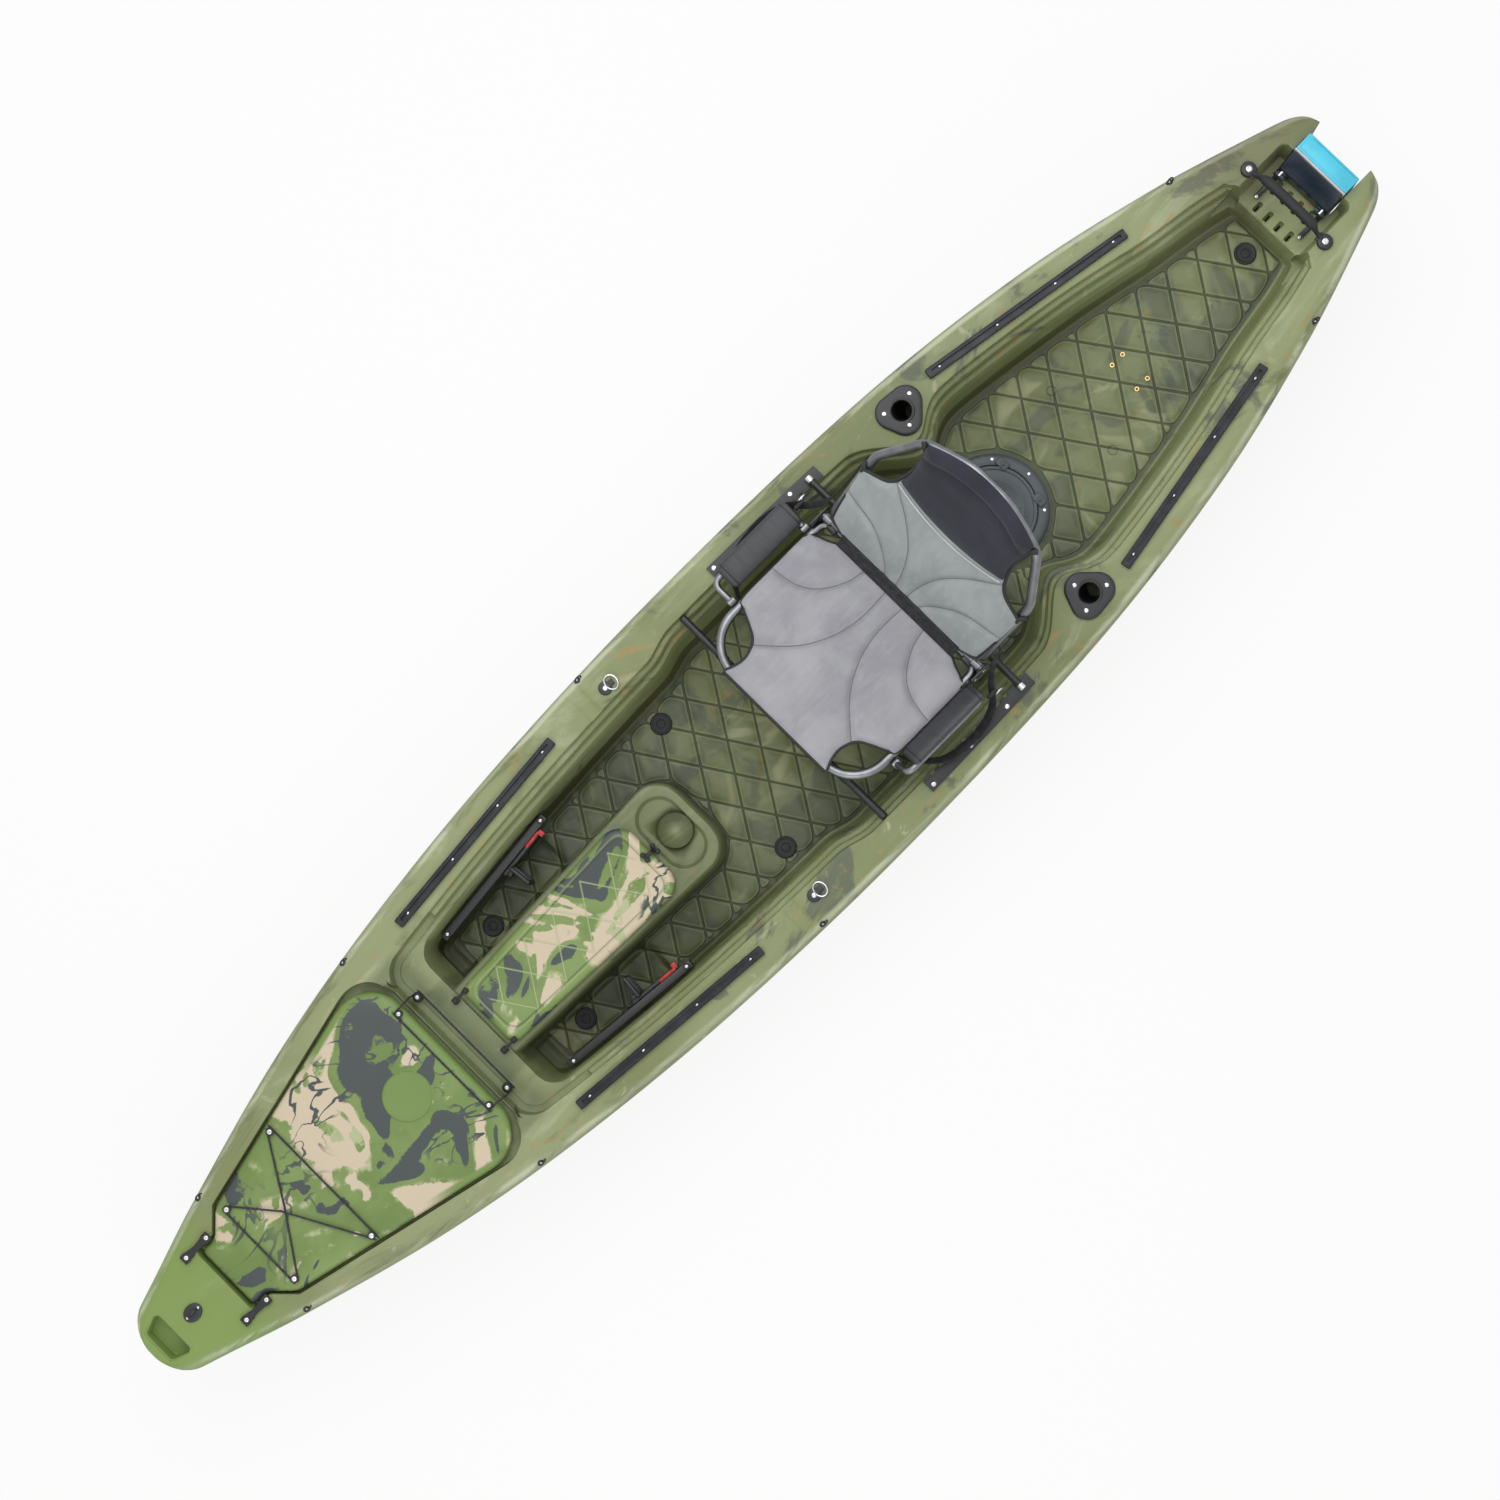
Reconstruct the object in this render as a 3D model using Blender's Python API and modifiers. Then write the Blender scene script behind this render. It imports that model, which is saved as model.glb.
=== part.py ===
"""Motorized kayak: a 13 ft sit-on-top hull with deck, cockpit tub, hatches, framed seat and an electric stern drive.

Metres, +X to the bow, +Y to port, +Z up. The origin is amidships on the keel plane.
"""

import math

import bmesh
import bpy
from mathutils import Matrix, Vector

# Hull
LENGTH = 3.96
BEAM = 0.845
DEPTH = 0.345
BOW_SHEER = 0.045
STERN_SHEER = 0.030
BOW_KEEL_RISE = 0.235
STERN_KEEL_RISE = 0.200
SHOULDER_HEIGHT = 0.046
SHOULDER_WIDTH = 0.036
WALL = 0.005
GAP = 0.0003

# Cockpit and tank well
WELL_AFT = -0.881
WELL_FRONT = 0.4697
RIM_WIDTH = 0.104
SEAT_BAY_EXTRA = 0.020
ROD_SHOULDER = 0.062
ROD_SHOULDER_LENGTH = 0.070
COCKPIT_FLOOR = 0.120
TANK_FLOOR = 0.170
TANK_FLOOR_AFT = 0.215
LIP = 0.022
STEP = 0.014
STEP_DROP = 0.040
WALL_LEAN = 0.034
AFT_LEAN = 0.25
FLOOR_FILLET = 0.020
SHELF_Z = 0.300
SHELF_FRONT = 0.4975
RIDGE_HEIGHT = 0.034
FOOT_WELL_DROP = 0.018
FOOT_WELL_LENGTH = 0.370

# Console
CONSOLE_AFT = 0.0985
CONSOLE_HALF_AFT = 0.125
CONSOLE_HALF_FRONT = 0.100
CONSOLE_TOP = 0.280
CONSOLE_CORNER = 0.070
CONSOLE_DRAFT = 0.012
TRAY_LENGTH = 0.108
TRAY_HALF_WIDTH = 0.096
TRAY_DEPTH = 0.012
CUP_RADIUS = 0.041
CUP_DEPTH = 0.065
BIN_HALF_WIDTH = 0.072
BIN_DEPTH = 0.115
LID_THICKNESS = 0.026
LID_WALL = 0.005
CONSOLE_LID_LENGTH = 0.552

# Bow hatch
HATCH_AFT = 0.5068
HATCH_FRONT = 0.8755
HATCH_GAP = 0.008
HATCH_SHELF_DEPTH = 0.036
HATCH_SHELF_WIDTH = 0.028
HATCH_HALF_AFT = 0.266
HATCH_HALF_MID = 0.138
HATCH_HALF_FRONT = 0.088
HATCH_CORNER = 0.095
GASKET_RADIUS = 0.004

# Stern
NOTCH_HALF_WIDTH = 0.082
NOTCH_FRONT = -0.9343
RECESS_HALF_WIDTH = 0.100
RECESS_FRONT = -0.866
RECESS_DEPTH = 0.062

# Fittings
ROD_HOLDER_STATION = -0.4131
ROD_HOLDER_INSET = 0.091
ROD_BORE_RADIUS = 0.0235
ROD_TUBE_WALL = 0.0035
ROD_TUBE_LENGTH = 0.205
ROD_TUBE_RAKE = 14.0
TRACK_WIDTH = 0.025
TRACK_HEIGHT = 0.010
TRACK_SLOT = 0.009
TRACK_LENGTH = 0.560
TRACK_INSET = 0.065
ROUND_HATCH_STATION = -0.4142
ROUND_HATCH_RADIUS = 0.140
ROUND_LID_RADIUS = 0.108
ROUND_HATCH_HEIGHT = 0.014
PLUG_RADIUS = 0.027
PLUG_BORE = 0.017
SCUPPER_WALL = 0.004

# Seat
SEAT_REAR = -0.505
SEAT_FRONT = -0.098
SEAT_HEIGHT = 0.430
SEAT_HALF_WIDTH = 0.246
SEAT_NOSE_HALF_WIDTH = 0.150
SEAT_CORNER = 0.100
BACK_LENGTH = 0.455
BACK_RECLINE = 36.0
ARMREST_REACH = 0.060
ARMREST_PAD_WIDTH = 0.066
ARMREST_PAD_THICKNESS = 0.018
ARMREST_TUBE_RADIUS = 0.008
PORT_ARMREST_LIFT = 52.0

# Drive
DRIVE_AXIS = -0.9561
HEAD_WIDTH = 0.158
HEAD_LENGTH = 0.097
HEAD_HEIGHT = 0.110
COVER_HEIGHT = 0.022
TRIM_HEIGHT = 0.004
POD_Z = 0.084
POD_RADIUS = 0.030
POD_LENGTH = 0.105
PROP_RADIUS = 0.060
NOZZLE_RADIUS = 0.070
NOZZLE_LENGTH = 0.050

HALF = LENGTH / 2
HIGH = 1.2

# Half beam as a share of the greatest half beam, at stations from stern (-1) to bow (1).
BEAM_LINE = [(-1.0, 0.315), (-0.95, 0.400), (-0.81, 0.609), (-0.62, 0.815), (-0.38, 0.953), (-0.05, 1.0),
             (0.235, 0.957), (0.471, 0.844), (0.66, 0.683), (0.85, 0.438), (0.945, 0.290), (1.0, 0.205)]
# Half sections as shares of half beam and of the height from keel to parting line.
MID_SECTION = [(0.0, 0.0), (0.10, 0.0), (0.17, 0.075), (0.38, 0.075), (0.46, 0.0), (0.58, 0.0), (0.73, 0.06),
               (0.87, 0.20), (0.945, 0.42), (0.985, 0.72), (1.0, 1.0)]
BOW_SECTION = [(0.0, 0.0), (0.06, 0.03), (0.12, 0.07), (0.23, 0.15), (0.34, 0.23), (0.45, 0.31), (0.57, 0.42),
               (0.71, 0.57), (0.83, 0.72), (0.93, 0.87), (1.0, 1.0)]
STERN_SECTION = [(0.0, 0.0), (0.10, 0.0), (0.20, 0.01), (0.40, 0.02), (0.50, 0.03), (0.63, 0.07), (0.76, 0.15),
                 (0.87, 0.29), (0.94, 0.48), (0.98, 0.74), (1.0, 1.0)]
HULL_STATIONS = 15
WELL_STATIONS = 17
BORE_SIDES = 16
ROUND_SIDES = 20
RING_SIDES = 26
TIP_RADIUS = 0.050


def mix(a, b, t):
    return a + (b - a) * t


def ramp(x, low, high):
    t = min(max((x - low) / (high - low), 0.0), 1.0)
    return t * t * (3 - 2 * t)


def through(points, x):
    """A smooth line through the points, read at x."""
    x = min(max(x, points[0][0]), points[-1][0])
    last = len(points) - 1
    i = next(k for k in range(last) if x <= points[k + 1][0] or k == last - 1)

    def slope(k):
        a, b = points[max(k - 1, 0)], points[min(k + 1, last)]
        return (b[1] - a[1]) / (b[0] - a[0])

    (x0, y0), (x1, y1) = points[i], points[i + 1]
    w = x1 - x0
    t = (x - x0) / w
    return ((2 * t**3 - 3 * t**2 + 1) * y0 + (t**3 - 2 * t**2 + t) * w * slope(i)
            + (3 * t**2 - 2 * t**3) * y1 + (t**3 - t**2) * w * slope(i + 1))


def along(station):
    return station * HALF


def half_beam(x):
    """Half width of the hull at its parting line, with both ends rounded in plan."""
    half = through(BEAM_LINE, x / HALF) * BEAM / 2
    past = (abs(x) - (HALF - TIP_RADIUS)) / TIP_RADIUS
    if past > 0:
        half -= TIP_RADIUS * (1 - math.sqrt(max(1 - min(past, 1.0) ** 2, 0.0))) * (1.0 if x > 0 else 0.5)
    return half


def deck_z(x):
    rise = BOW_SHEER if x > 0 else STERN_SHEER
    return DEPTH + rise * (x / HALF) ** 2


def part_z(x):
    return deck_z(x) - SHOULDER_HEIGHT


def keel_z(x):
    s = x / HALF
    if s > 0:
        return BOW_KEEL_RISE * (0.45 * ramp(s, 0.55, 1.05) + 0.55 * max((s - 0.82) / 0.18, 0.0) ** 2)
    return STERN_KEEL_RISE * ramp(-s, 0.56, 0.98)


def well_half(x):
    """Half width of the well at the deck."""
    half = half_beam(x) - RIM_WIDTH
    half += SEAT_BAY_EXTRA * ramp(x, -0.74, -0.64) * (1 - ramp(x, -0.07, 0.03))
    half -= ROD_SHOULDER * math.exp(-(((x - along(ROD_HOLDER_STATION) - 0.025) / ROD_SHOULDER_LENGTH) ** 2))
    return half + 0.022 * ramp(-x, 1.45, 1.74)


def floor_z(x):
    front = mix(TANK_FLOOR, COCKPIT_FLOOR, ramp(x, -0.72, -0.62))
    return mix(TANK_FLOOR_AFT, front, ramp(x, along(WELL_AFT) + 0.12, -1.1))


scene = bpy.context.scene
for old in list(bpy.data.objects):
    bpy.data.objects.remove(old, do_unlink=True)

kayak = bpy.data.collections.new("motorized_kayak")
cutters = bpy.data.collections.new("cutters")
scene.collection.children.link(kayak)
scene.collection.children.link(cutters)
cutters.hide_render = True


def material(name, colour, roughness=0.5, metallic=0.0):
    mat = bpy.data.materials.get(name)
    if mat is None:
        mat = bpy.data.materials.new(name)
        mat.use_nodes = True
        shader = mat.node_tree.nodes["Principled BSDF"]
        shader.inputs["Base Color"].default_value = (*colour, 1.0)
        shader.inputs["Roughness"].default_value = roughness
        shader.inputs["Metallic"].default_value = metallic
    return mat


def olive(name):
    return material(name, (0.22, 0.27, 0.10), 0.45)


def black_plastic(name):
    return material(name, (0.02, 0.02, 0.022), 0.5)


def black_rubber(name):
    return material(name, (0.03, 0.03, 0.032), 0.7)


def stainless(name):
    return material(name, (0.6, 0.6, 0.62), 0.3, 1.0)


def place(name, mesh, mat=None, smooth=None):
    obj = bpy.data.objects.new(name, mesh)
    if mat is None:
        cutters.objects.link(obj)
        obj.hide_render = True
        obj.display_type = "WIRE"
    else:
        kayak.objects.link(obj)
        mesh.materials.append(mat)
    if smooth:
        mesh.shade_smooth()
        mesh.set_sharp_from_angle(angle=math.radians(smooth))
    return obj


def from_bmesh(name, bm, mat=None, smooth=None):
    bmesh.ops.recalc_face_normals(bm, faces=bm.faces)
    mesh = bpy.data.meshes.new(name)
    bm.to_mesh(mesh)
    bm.free()
    return place(name, mesh, mat, smooth)


def loft(name, rings, mat=None, smooth=None, paired=False):
    """A closed solid through rings of points. Paired rings close across, point to mirrored point."""
    bm = bmesh.new()
    rows = [[bm.verts.new(p) for p in ring] for ring in rings]
    count = len(rings[0])
    for low, high in zip(rows, rows[1:]):
        for i in range(count):
            j = (i + 1) % count
            bm.faces.new((low[i], low[j], high[j], high[i]))
    for row in (rows[0], rows[-1]):
        if paired:
            for i in range(count // 2 - 1):
                bm.faces.new((row[i], row[i + 1], row[count - 2 - i], row[count - 1 - i]))
        else:
            bm.faces.new(row)
    return from_bmesh(name, bm, mat, smooth)


def prism(name, outline, low, high, mat=None, smooth=None):
    """A flat outline drawn up from low to high."""
    return loft(name, [[(x, y, low) for x, y in outline], [(x, y, high) for x, y in outline]], mat, smooth)


def box(name, low, high, mat=None, bevel=0.0, segments=2):
    bm = bmesh.new()
    bmesh.ops.create_cube(bm, size=1.0)
    size = Vector(high) - Vector(low)
    bmesh.ops.scale(bm, vec=size, verts=bm.verts)
    bmesh.ops.translate(bm, vec=(Vector(high) + Vector(low)) / 2, verts=bm.verts)
    obj = from_bmesh(name, bm, mat)
    if bevel:
        mod = obj.modifiers.new("edges", "BEVEL")
        mod.width = bevel
        mod.segments = segments
    return obj


def cylinder(name, start, end, radius, mat=None, sides=24, end_radius=None):
    start, end = Vector(start), Vector(end)
    bm = bmesh.new()
    bmesh.ops.create_cone(bm, cap_ends=True, segments=sides, radius1=radius,
                          radius2=radius if end_radius is None else end_radius, depth=(end - start).length)
    turn = (end - start).to_track_quat("Z", "Y").to_matrix().to_4x4()
    bmesh.ops.transform(bm, matrix=Matrix.Translation((start + end) / 2) @ turn, verts=bm.verts)
    return from_bmesh(name, bm, mat, 40)


def tube(name, points, radius, mat=None, closed=False, resolution=2, radii=None):
    """A round bar along a line of points."""
    curve = bpy.data.curves.new(name, "CURVE")
    curve.dimensions = "3D"
    curve.bevel_depth = radius
    curve.bevel_resolution = resolution
    curve.use_fill_caps = True
    spline = curve.splines.new("POLY")
    spline.points.add(len(points) - 1)
    for i, point in enumerate(points):
        spline.points[i].co = (*point, 1.0)
        spline.points[i].radius = radii[i] if radii else 1.0
    spline.use_cyclic_u = closed
    guide = bpy.data.objects.new(name + "_guide", curve)
    scene.collection.objects.link(guide)
    graph = bpy.context.evaluated_depsgraph_get()
    mesh = bpy.data.meshes.new_from_object(guide.evaluated_get(graph))
    bpy.data.objects.remove(guide, do_unlink=True)
    bm = bmesh.new()
    bm.from_mesh(mesh)
    bmesh.ops.remove_doubles(bm, verts=bm.verts, dist=0.00001)
    return from_bmesh(name, bm, mat, 40)


def shown(obj, name, mat):
    """A shape that was made as a cutter, kept as a part of the kayak."""
    obj.name = name
    cutters.objects.unlink(obj)
    kayak.objects.link(obj)
    obj.hide_render = False
    obj.display_type = "TEXTURED"
    obj.data.materials.append(mat)
    return obj


def boolean(obj, other, operation):
    mod = obj.modifiers.new(operation.lower(), "BOOLEAN")
    mod.operation = operation
    mod.object = other
    mod.solver = "EXACT"
    return obj


def cut(obj, *others):
    for other in others:
        boolean(obj, other, "DIFFERENCE")
    return obj


def join(obj, *others):
    for other in others:
        boolean(obj, other, "UNION")
    return obj


def turned(obj, matrix):
    """The object's mesh moved by a matrix."""
    obj.data.transform(matrix)
    return obj


def about(point, angle, axis):
    """A turn in degrees about an axis through a point."""
    move = Matrix.Translation(point)
    return move @ Matrix.Rotation(math.radians(angle), 4, axis) @ move.inverted()


def carried(name, point, *objects):
    """An empty on the joint's axis that carries the moving pieces."""
    pivot = bpy.data.objects.new(name, None)
    pivot.location = point
    pivot.empty_display_size = 0.05
    kayak.objects.link(pivot)
    for obj in objects:
        obj.parent = pivot
        obj.matrix_parent_inverse = Matrix.Translation(point).inverted()
    return pivot


def rounded(corners, radius, steps=5):
    """A closed outline whose corners are arcs. Each corner is (x, y) or (x, y, radius)."""
    outline = []
    count = len(corners)
    for i, corner in enumerate(corners):
        here = Vector(corner[:2])
        r = corner[2] if len(corner) > 2 else radius
        before = (Vector(corners[i - 1][:2]) - here).normalized()
        after = (Vector(corners[(i + 1) % count][:2]) - here).normalized()
        half = before.angle(after) / 2
        reach = r / math.tan(half)
        middle = here + (before + after).normalized() * (r / math.sin(half))
        first = here + before * reach - middle
        last = here + after * reach - middle
        sweep = first.angle_signed(last)
        for k in range(steps + 1):
            a = -sweep * k / steps
            turned_x = first.x * math.cos(a) - first.y * math.sin(a)
            turned_y = first.x * math.sin(a) + first.y * math.cos(a)
            outline.append((middle.x + turned_x, middle.y + turned_y))
    return outline


def around_points(points, radius, steps=6):
    """The outline of a flat plate that runs round a circle at each point, listed counterclockwise."""
    outline = []
    count = len(points)
    for i, (x, y) in enumerate(points):
        before = math.atan2(y - points[i - 1][1], x - points[i - 1][0]) - math.pi / 2
        after = math.atan2(points[(i + 1) % count][1] - y, points[(i + 1) % count][0] - x) - math.pi / 2
        sweep = (after - before) % (2 * math.pi)
        for k in range(steps + 1):
            a = before + sweep * k / steps
            outline.append((x + radius * math.cos(a), y + radius * math.sin(a)))
    return outline


def mirrored(half):
    """A whole outline from its port half, listed from aft to front."""
    return half + [(x, -y) for x, y in reversed(half) if abs(y) > 1e-6]


# Hull shell


def station_places(inset):
    """Stations from stern to bow, closer together towards the rounded tips."""
    body = HALF - TIP_RADIUS
    places = [mix(-body, body, i / (HULL_STATIONS - 1)) for i in range(HULL_STATIONS)]
    tips = [body + (TIP_RADIUS - inset) * math.sin(math.radians(a)) for a in (45, 90)]
    return [-x for x in reversed(tips)] + places + tips


def section_point(x, k):
    to_bow = ramp(x, 0.20 * HALF, 0.88 * HALF)
    to_stern = ramp(-x, 0.45 * HALF, 0.90 * HALF)
    y, z = MID_SECTION[k]
    y, z = mix(y, BOW_SECTION[k][0], to_bow), mix(z, BOW_SECTION[k][1], to_bow)
    return mix(y, STERN_SECTION[k][0], to_stern), mix(z, STERN_SECTION[k][1], to_stern)


def hull_side(x, inset):
    """Half section of the hull, from the keel out to the parting line."""
    half = max(half_beam(x) - inset, 0.004)
    low, high = keel_z(x) + inset, part_z(x)
    shares = [section_point(x, k) for k in range(len(MID_SECTION))]
    return [(half * y, low + (high - low) * z) for y, z in shares]


def hull_form(name, inset, above):
    """The hull below its parting line as a closed solid, inset all round and drawn up above that line."""
    rings = []
    for x in station_places(inset):
        side = hull_side(x, inset)
        if above:
            side.append((side[-1][0], part_z(x) + above))
        ring = [(x, y, z) for y, z in reversed(side)] + [(x, -y, z) for y, z in side[1:]]
        rings.append(ring)
    return loft(name, rings)


def deck_form(name, inset, below):
    """The deck above the parting line as a closed solid, inset all round and drawn down below that line."""
    rings = []
    for x in station_places(inset):
        half = max(half_beam(x) - inset, 0.004)
        low, high = part_z(x), deck_z(x) - inset
        flat = max(half - SHOULDER_WIDTH, 0.3 * half)
        shoulder = half - flat
        side = [(half, low - below)] if below else []
        side += [(half, low + (GAP if not below else 0)), (half - 0.10 * shoulder, mix(low, high, 0.40)),
                 (half - 0.42 * shoulder, mix(low, high, 0.80)), (flat, high)]
        ring = [(x, y, z) for y, z in side] + [(x, -y, z) for y, z in reversed(side)]
        rings.append(ring)
    return loft(name, rings)


def well_outline(step, grow, front, corner):
    """Port half of the well's outline, from its aft corner to its front corner."""
    inset = step - grow
    aft = along(WELL_AFT) + step * AFT_LEAN - grow
    end = front - inset
    points = []
    for a in (0, 45, 90):
        r = 0.030
        x = aft + r * (1 - math.cos(math.radians(a)))
        points.append((x, well_half(x) - inset - r * (1 - math.sin(math.radians(a)))))
    start, stop = aft + 0.030, end - corner
    places = [mix(start, stop, i / WELL_STATIONS) for i in range(1, WELL_STATIONS)]
    rod = along(ROD_HOLDER_STATION)
    places = sorted(p for p in places if abs(p - rod) > 0.13)
    places = sorted(places + [rod + d for d in (-0.11, -0.065, -0.02, 0.025, 0.07, 0.115)])
    points += [(x, well_half(x) - inset) for x in places]
    for a in (0, 30, 60, 90):
        x = stop + corner * math.sin(math.radians(a))
        points.append((x, well_half(stop) - inset - corner * (1 - math.cos(math.radians(a)))))
    return points


def well_form(name, grow, top=None):
    """The well as a closed solid: a stack of outlines from its floor to above the deck."""
    front = along(WELL_FRONT)
    levels = [(STEP * 2 + WALL_LEAN, lambda x: floor_z(x)),
              (STEP * 2 + WALL_LEAN * 0.55, lambda x: floor_z(x) + FLOOR_FILLET),
              (STEP * 2, lambda x: deck_z(x) - LIP - STEP_DROP - 0.004),
              (STEP + 0.004, lambda x: deck_z(x) - LIP - STEP_DROP),
              (STEP, lambda x: deck_z(x) - LIP - 0.003),
              (0.0, lambda x: deck_z(x) - LIP)]
    rings = []
    for inset, height in levels:
        half = well_outline(inset, grow, front, 0.075 - inset * 0.4 + grow)
        rings.append([(x, y, height(x) - grow) for x, y in mirrored(half)])
    half = well_outline(0.0, grow, front, 0.075 + grow)
    rings.append([(x, y, top(x) if top else HIGH) for x, y in mirrored(half)])
    return loft(name, rings, paired=True)


def wall_y(x, z):
    """Half width of the well's side wall at a height between its floor and its second step."""
    low, high = floor_z(x) + FLOOR_FILLET, deck_z(x) - LIP - STEP_DROP
    return well_half(x) - 2 * STEP - WALL_LEAN * 0.55 * (1 - (z - low) / (high - low))


# Shared cutters

well = well_form("well_space", 0.0)
well_grown = well_form("well_outer", WALL, lambda x: deck_z(x) - WALL - GAP)
deck_fill = deck_form("deck_fill", 0.002, 0.20)

SHELF_AFT = along(WELL_FRONT) - 0.10
shelf_front = along(SHELF_FRONT)
shelf_ridge = along(HATCH_AFT) + 0.004


def shelf_outline(grow, front):
    corner = well_half(front) + grow
    half = well_half(SHELF_AFT) + 0.003 + grow
    return rounded([(SHELF_AFT, -half, 0.005), (front + grow, -corner, 0.05), (front + grow, corner, 0.05),
                    (SHELF_AFT, half, 0.005)], 0.05, 3)


shelf_space = prism("shelf_space", shelf_outline(0, shelf_front), SHELF_Z, HIGH)
ridge_space = prism("ridge_space", shelf_outline(-0.012, shelf_ridge + 0.012), SHELF_Z + RIDGE_HEIGHT, HIGH)
shelf_grown = prism("shelf_outer", shelf_outline(WALL, shelf_ridge), SHELF_Z - WALL, HIGH)
shelf_clear = prism("shelf_clear", shelf_outline(WALL + GAP, shelf_ridge), SHELF_Z - WALL - GAP, HIGH)
boolean(shelf_grown, deck_fill, "INTERSECT")


def recess_outline(grow):
    aft, front = along(NOTCH_FRONT) - 0.042, along(RECESS_FRONT) - 0.018
    half = RECESS_HALF_WIDTH + grow
    inner = NOTCH_HALF_WIDTH + 0.002 + grow
    return rounded([(aft - grow, -inner, 0.008), (aft + 0.045, -half, 0.02), (front + grow, -half, 0.004),
                    (front + grow, half, 0.004), (aft + 0.045, half, 0.02), (aft - grow, inner, 0.008)], 0.01, 3)


recess_floor = deck_z(along(RECESS_FRONT)) - RECESS_DEPTH
recess_space = prism("recess_space", recess_outline(0), recess_floor, HIGH)
recess_grown = prism("recess_outer", recess_outline(WALL), recess_floor - WALL, HIGH)
recess_clear = prism("recess_clear", recess_outline(WALL + GAP), recess_floor - WALL - GAP, HIGH)
boolean(recess_grown, deck_fill, "INTERSECT")


def notch_box(name, grow, low=-0.1):
    return box(name, (-LENGTH, -NOTCH_HALF_WIDTH - grow, low), (along(NOTCH_FRONT) + grow, NOTCH_HALF_WIDTH + grow, HIGH))


notch_space = notch_box("notch_space", 0.0)
notch_clear = notch_box("notch_clear", WALL + GAP)
notch_grown = notch_box("notch_outer", WALL, keel_z(-HALF) + 0.003)
boolean(notch_grown, deck_form("deck_skin", 0.002, 0.30), "INTERSECT")


# Lower hull

SCUPPERS = [("cockpit_plug_port", 0.107, 0.213), ("cockpit_plug_starboard", 0.107, -0.213),
            ("foot_well_plug_port", 0.745, 0.160), ("foot_well_plug_starboard", 0.745, -0.160),
            ("stern_plug", along(WELL_AFT) + 0.066, 0.0)]


def hull_bottom(x, y):
    """Height of the hull's outer surface below a point."""
    places = [section_point(x, k) for k in range(len(MID_SECTION))]
    share = abs(y) / half_beam(x)
    low = keel_z(x)
    for (y0, z0), (y1, z1) in zip(places, places[1:]):
        if share <= y1:
            return low + (part_z(x) - low) * mix(z0, z1, (share - y0) / (y1 - y0))
    return part_z(x)


def lofted_bottom(x, y, inset):
    """Height of the hull's surface between its stations, where the loft runs straight."""
    places = station_places(inset)
    i = max(k for k in range(len(places) - 1) if places[k] <= x)
    t = (x - places[i]) / (places[i + 1] - places[i])
    side = [(mix(y0, y1, t), mix(z0, z1, t))
            for (y0, z0), (y1, z1) in zip(hull_side(places[i], inset), hull_side(places[i + 1], inset))]
    (y0, z0), (y1, z1) = next(pair for pair in zip(side, side[1:]) if abs(y) <= pair[1][0])
    return mix(z0, z1, (abs(y) - y0) / (y1 - y0))


def scupper_floor(x):
    return floor_z(x) - (FOOT_WELL_DROP if x > along(0.30) else 0.0)


def scupper(name, x, y, radius, top, drop):
    return cylinder(name, (x, y, hull_bottom(x, y) + drop), (x, y, scupper_floor(x) + top), radius, sides=BORE_SIDES)


lower_hull = shown(hull_form("hull_outer", 0.0, 0.0), "lower_hull", olive("hull_plastic"))
cut(lower_hull, hull_form("hull_inner", WALL, 0.02), notch_clear)
for plug, x, y in SCUPPERS:
    cut(lower_hull, scupper(plug + "_hull_hole", x, y, PLUG_BORE + SCUPPER_WALL + GAP, 0.0, -0.05))


# Deck

hatch_aft = along(HATCH_AFT)
hatch_front = along(HATCH_FRONT)


def hatch_plane(x):
    """The plane of the bow lid, which follows the sheer."""
    low, high = deck_z(hatch_aft), deck_z(hatch_front)
    return mix(low, high, (x - hatch_aft) / (hatch_front - hatch_aft))


def hatch_outline(grow):
    aft, front = hatch_aft - grow, hatch_front + grow
    neck = hatch_front - 0.093
    throat = hatch_front - 0.043
    half = [(aft, HATCH_HALF_AFT + 0.023 + grow, HATCH_CORNER), (neck, HATCH_HALF_MID + grow, 0.05),
            (throat, HATCH_HALF_FRONT + grow, 0.03), (front, HATCH_HALF_FRONT + grow, 0.012)]
    return rounded([(x, -y, r) for x, y, r in half] + list(reversed(half)), 0.05, 3)


def hatch_prism(name, grow, low, high, mat=None, smooth=None):
    outline = hatch_outline(grow)
    rings = [[(x, y, hatch_plane(x) + low) for x, y in outline]]
    rings.append([(x, y, hatch_plane(x) + high) for x, y in outline])
    return loft(name, rings, mat, smooth)


hatch_grown = hatch_prism("hatch_outer", HATCH_GAP + WALL, -HATCH_SHELF_DEPTH - WALL, 0.2)
boolean(hatch_grown, deck_fill, "INTERSECT")
hatch_space = hatch_prism("hatch_space", HATCH_GAP, -HATCH_SHELF_DEPTH, 0.2)
hatch_opening = hatch_prism("hatch_opening", -HATCH_SHELF_WIDTH, -0.2, 0.2)

deck = shown(deck_form("deck_outer", 0.0, 0.0), "deck", olive("deck_plastic"))
cut(deck, deck_form("deck_inner", WALL, 0.02))
join(deck, shelf_grown, recess_grown, notch_grown, hatch_grown)
cut(deck, well, shelf_space, ridge_space, recess_space, notch_space, hatch_space, hatch_opening)

RACK_PITCH = 0.034
RACK_SLOT = 0.012
for row, (aft, front) in enumerate([(-1.838, -1.800), (-1.770, -1.742)]):
    for k in range(4):
        y = (k - 1.5) * RACK_PITCH
        cut(deck, box(f"rack_slot_{row}_{k}", (aft, y - RACK_SLOT / 2, recess_floor - 0.02),
                      (front, y + RACK_SLOT / 2, recess_floor + 0.02)))

BOW_SLOT_LENGTH = 0.050
BOW_SLOT_HALF_WIDTH = 0.062
BOW_SLOT_DEPTH = 0.045
slot_aft = HALF - 0.072


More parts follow.
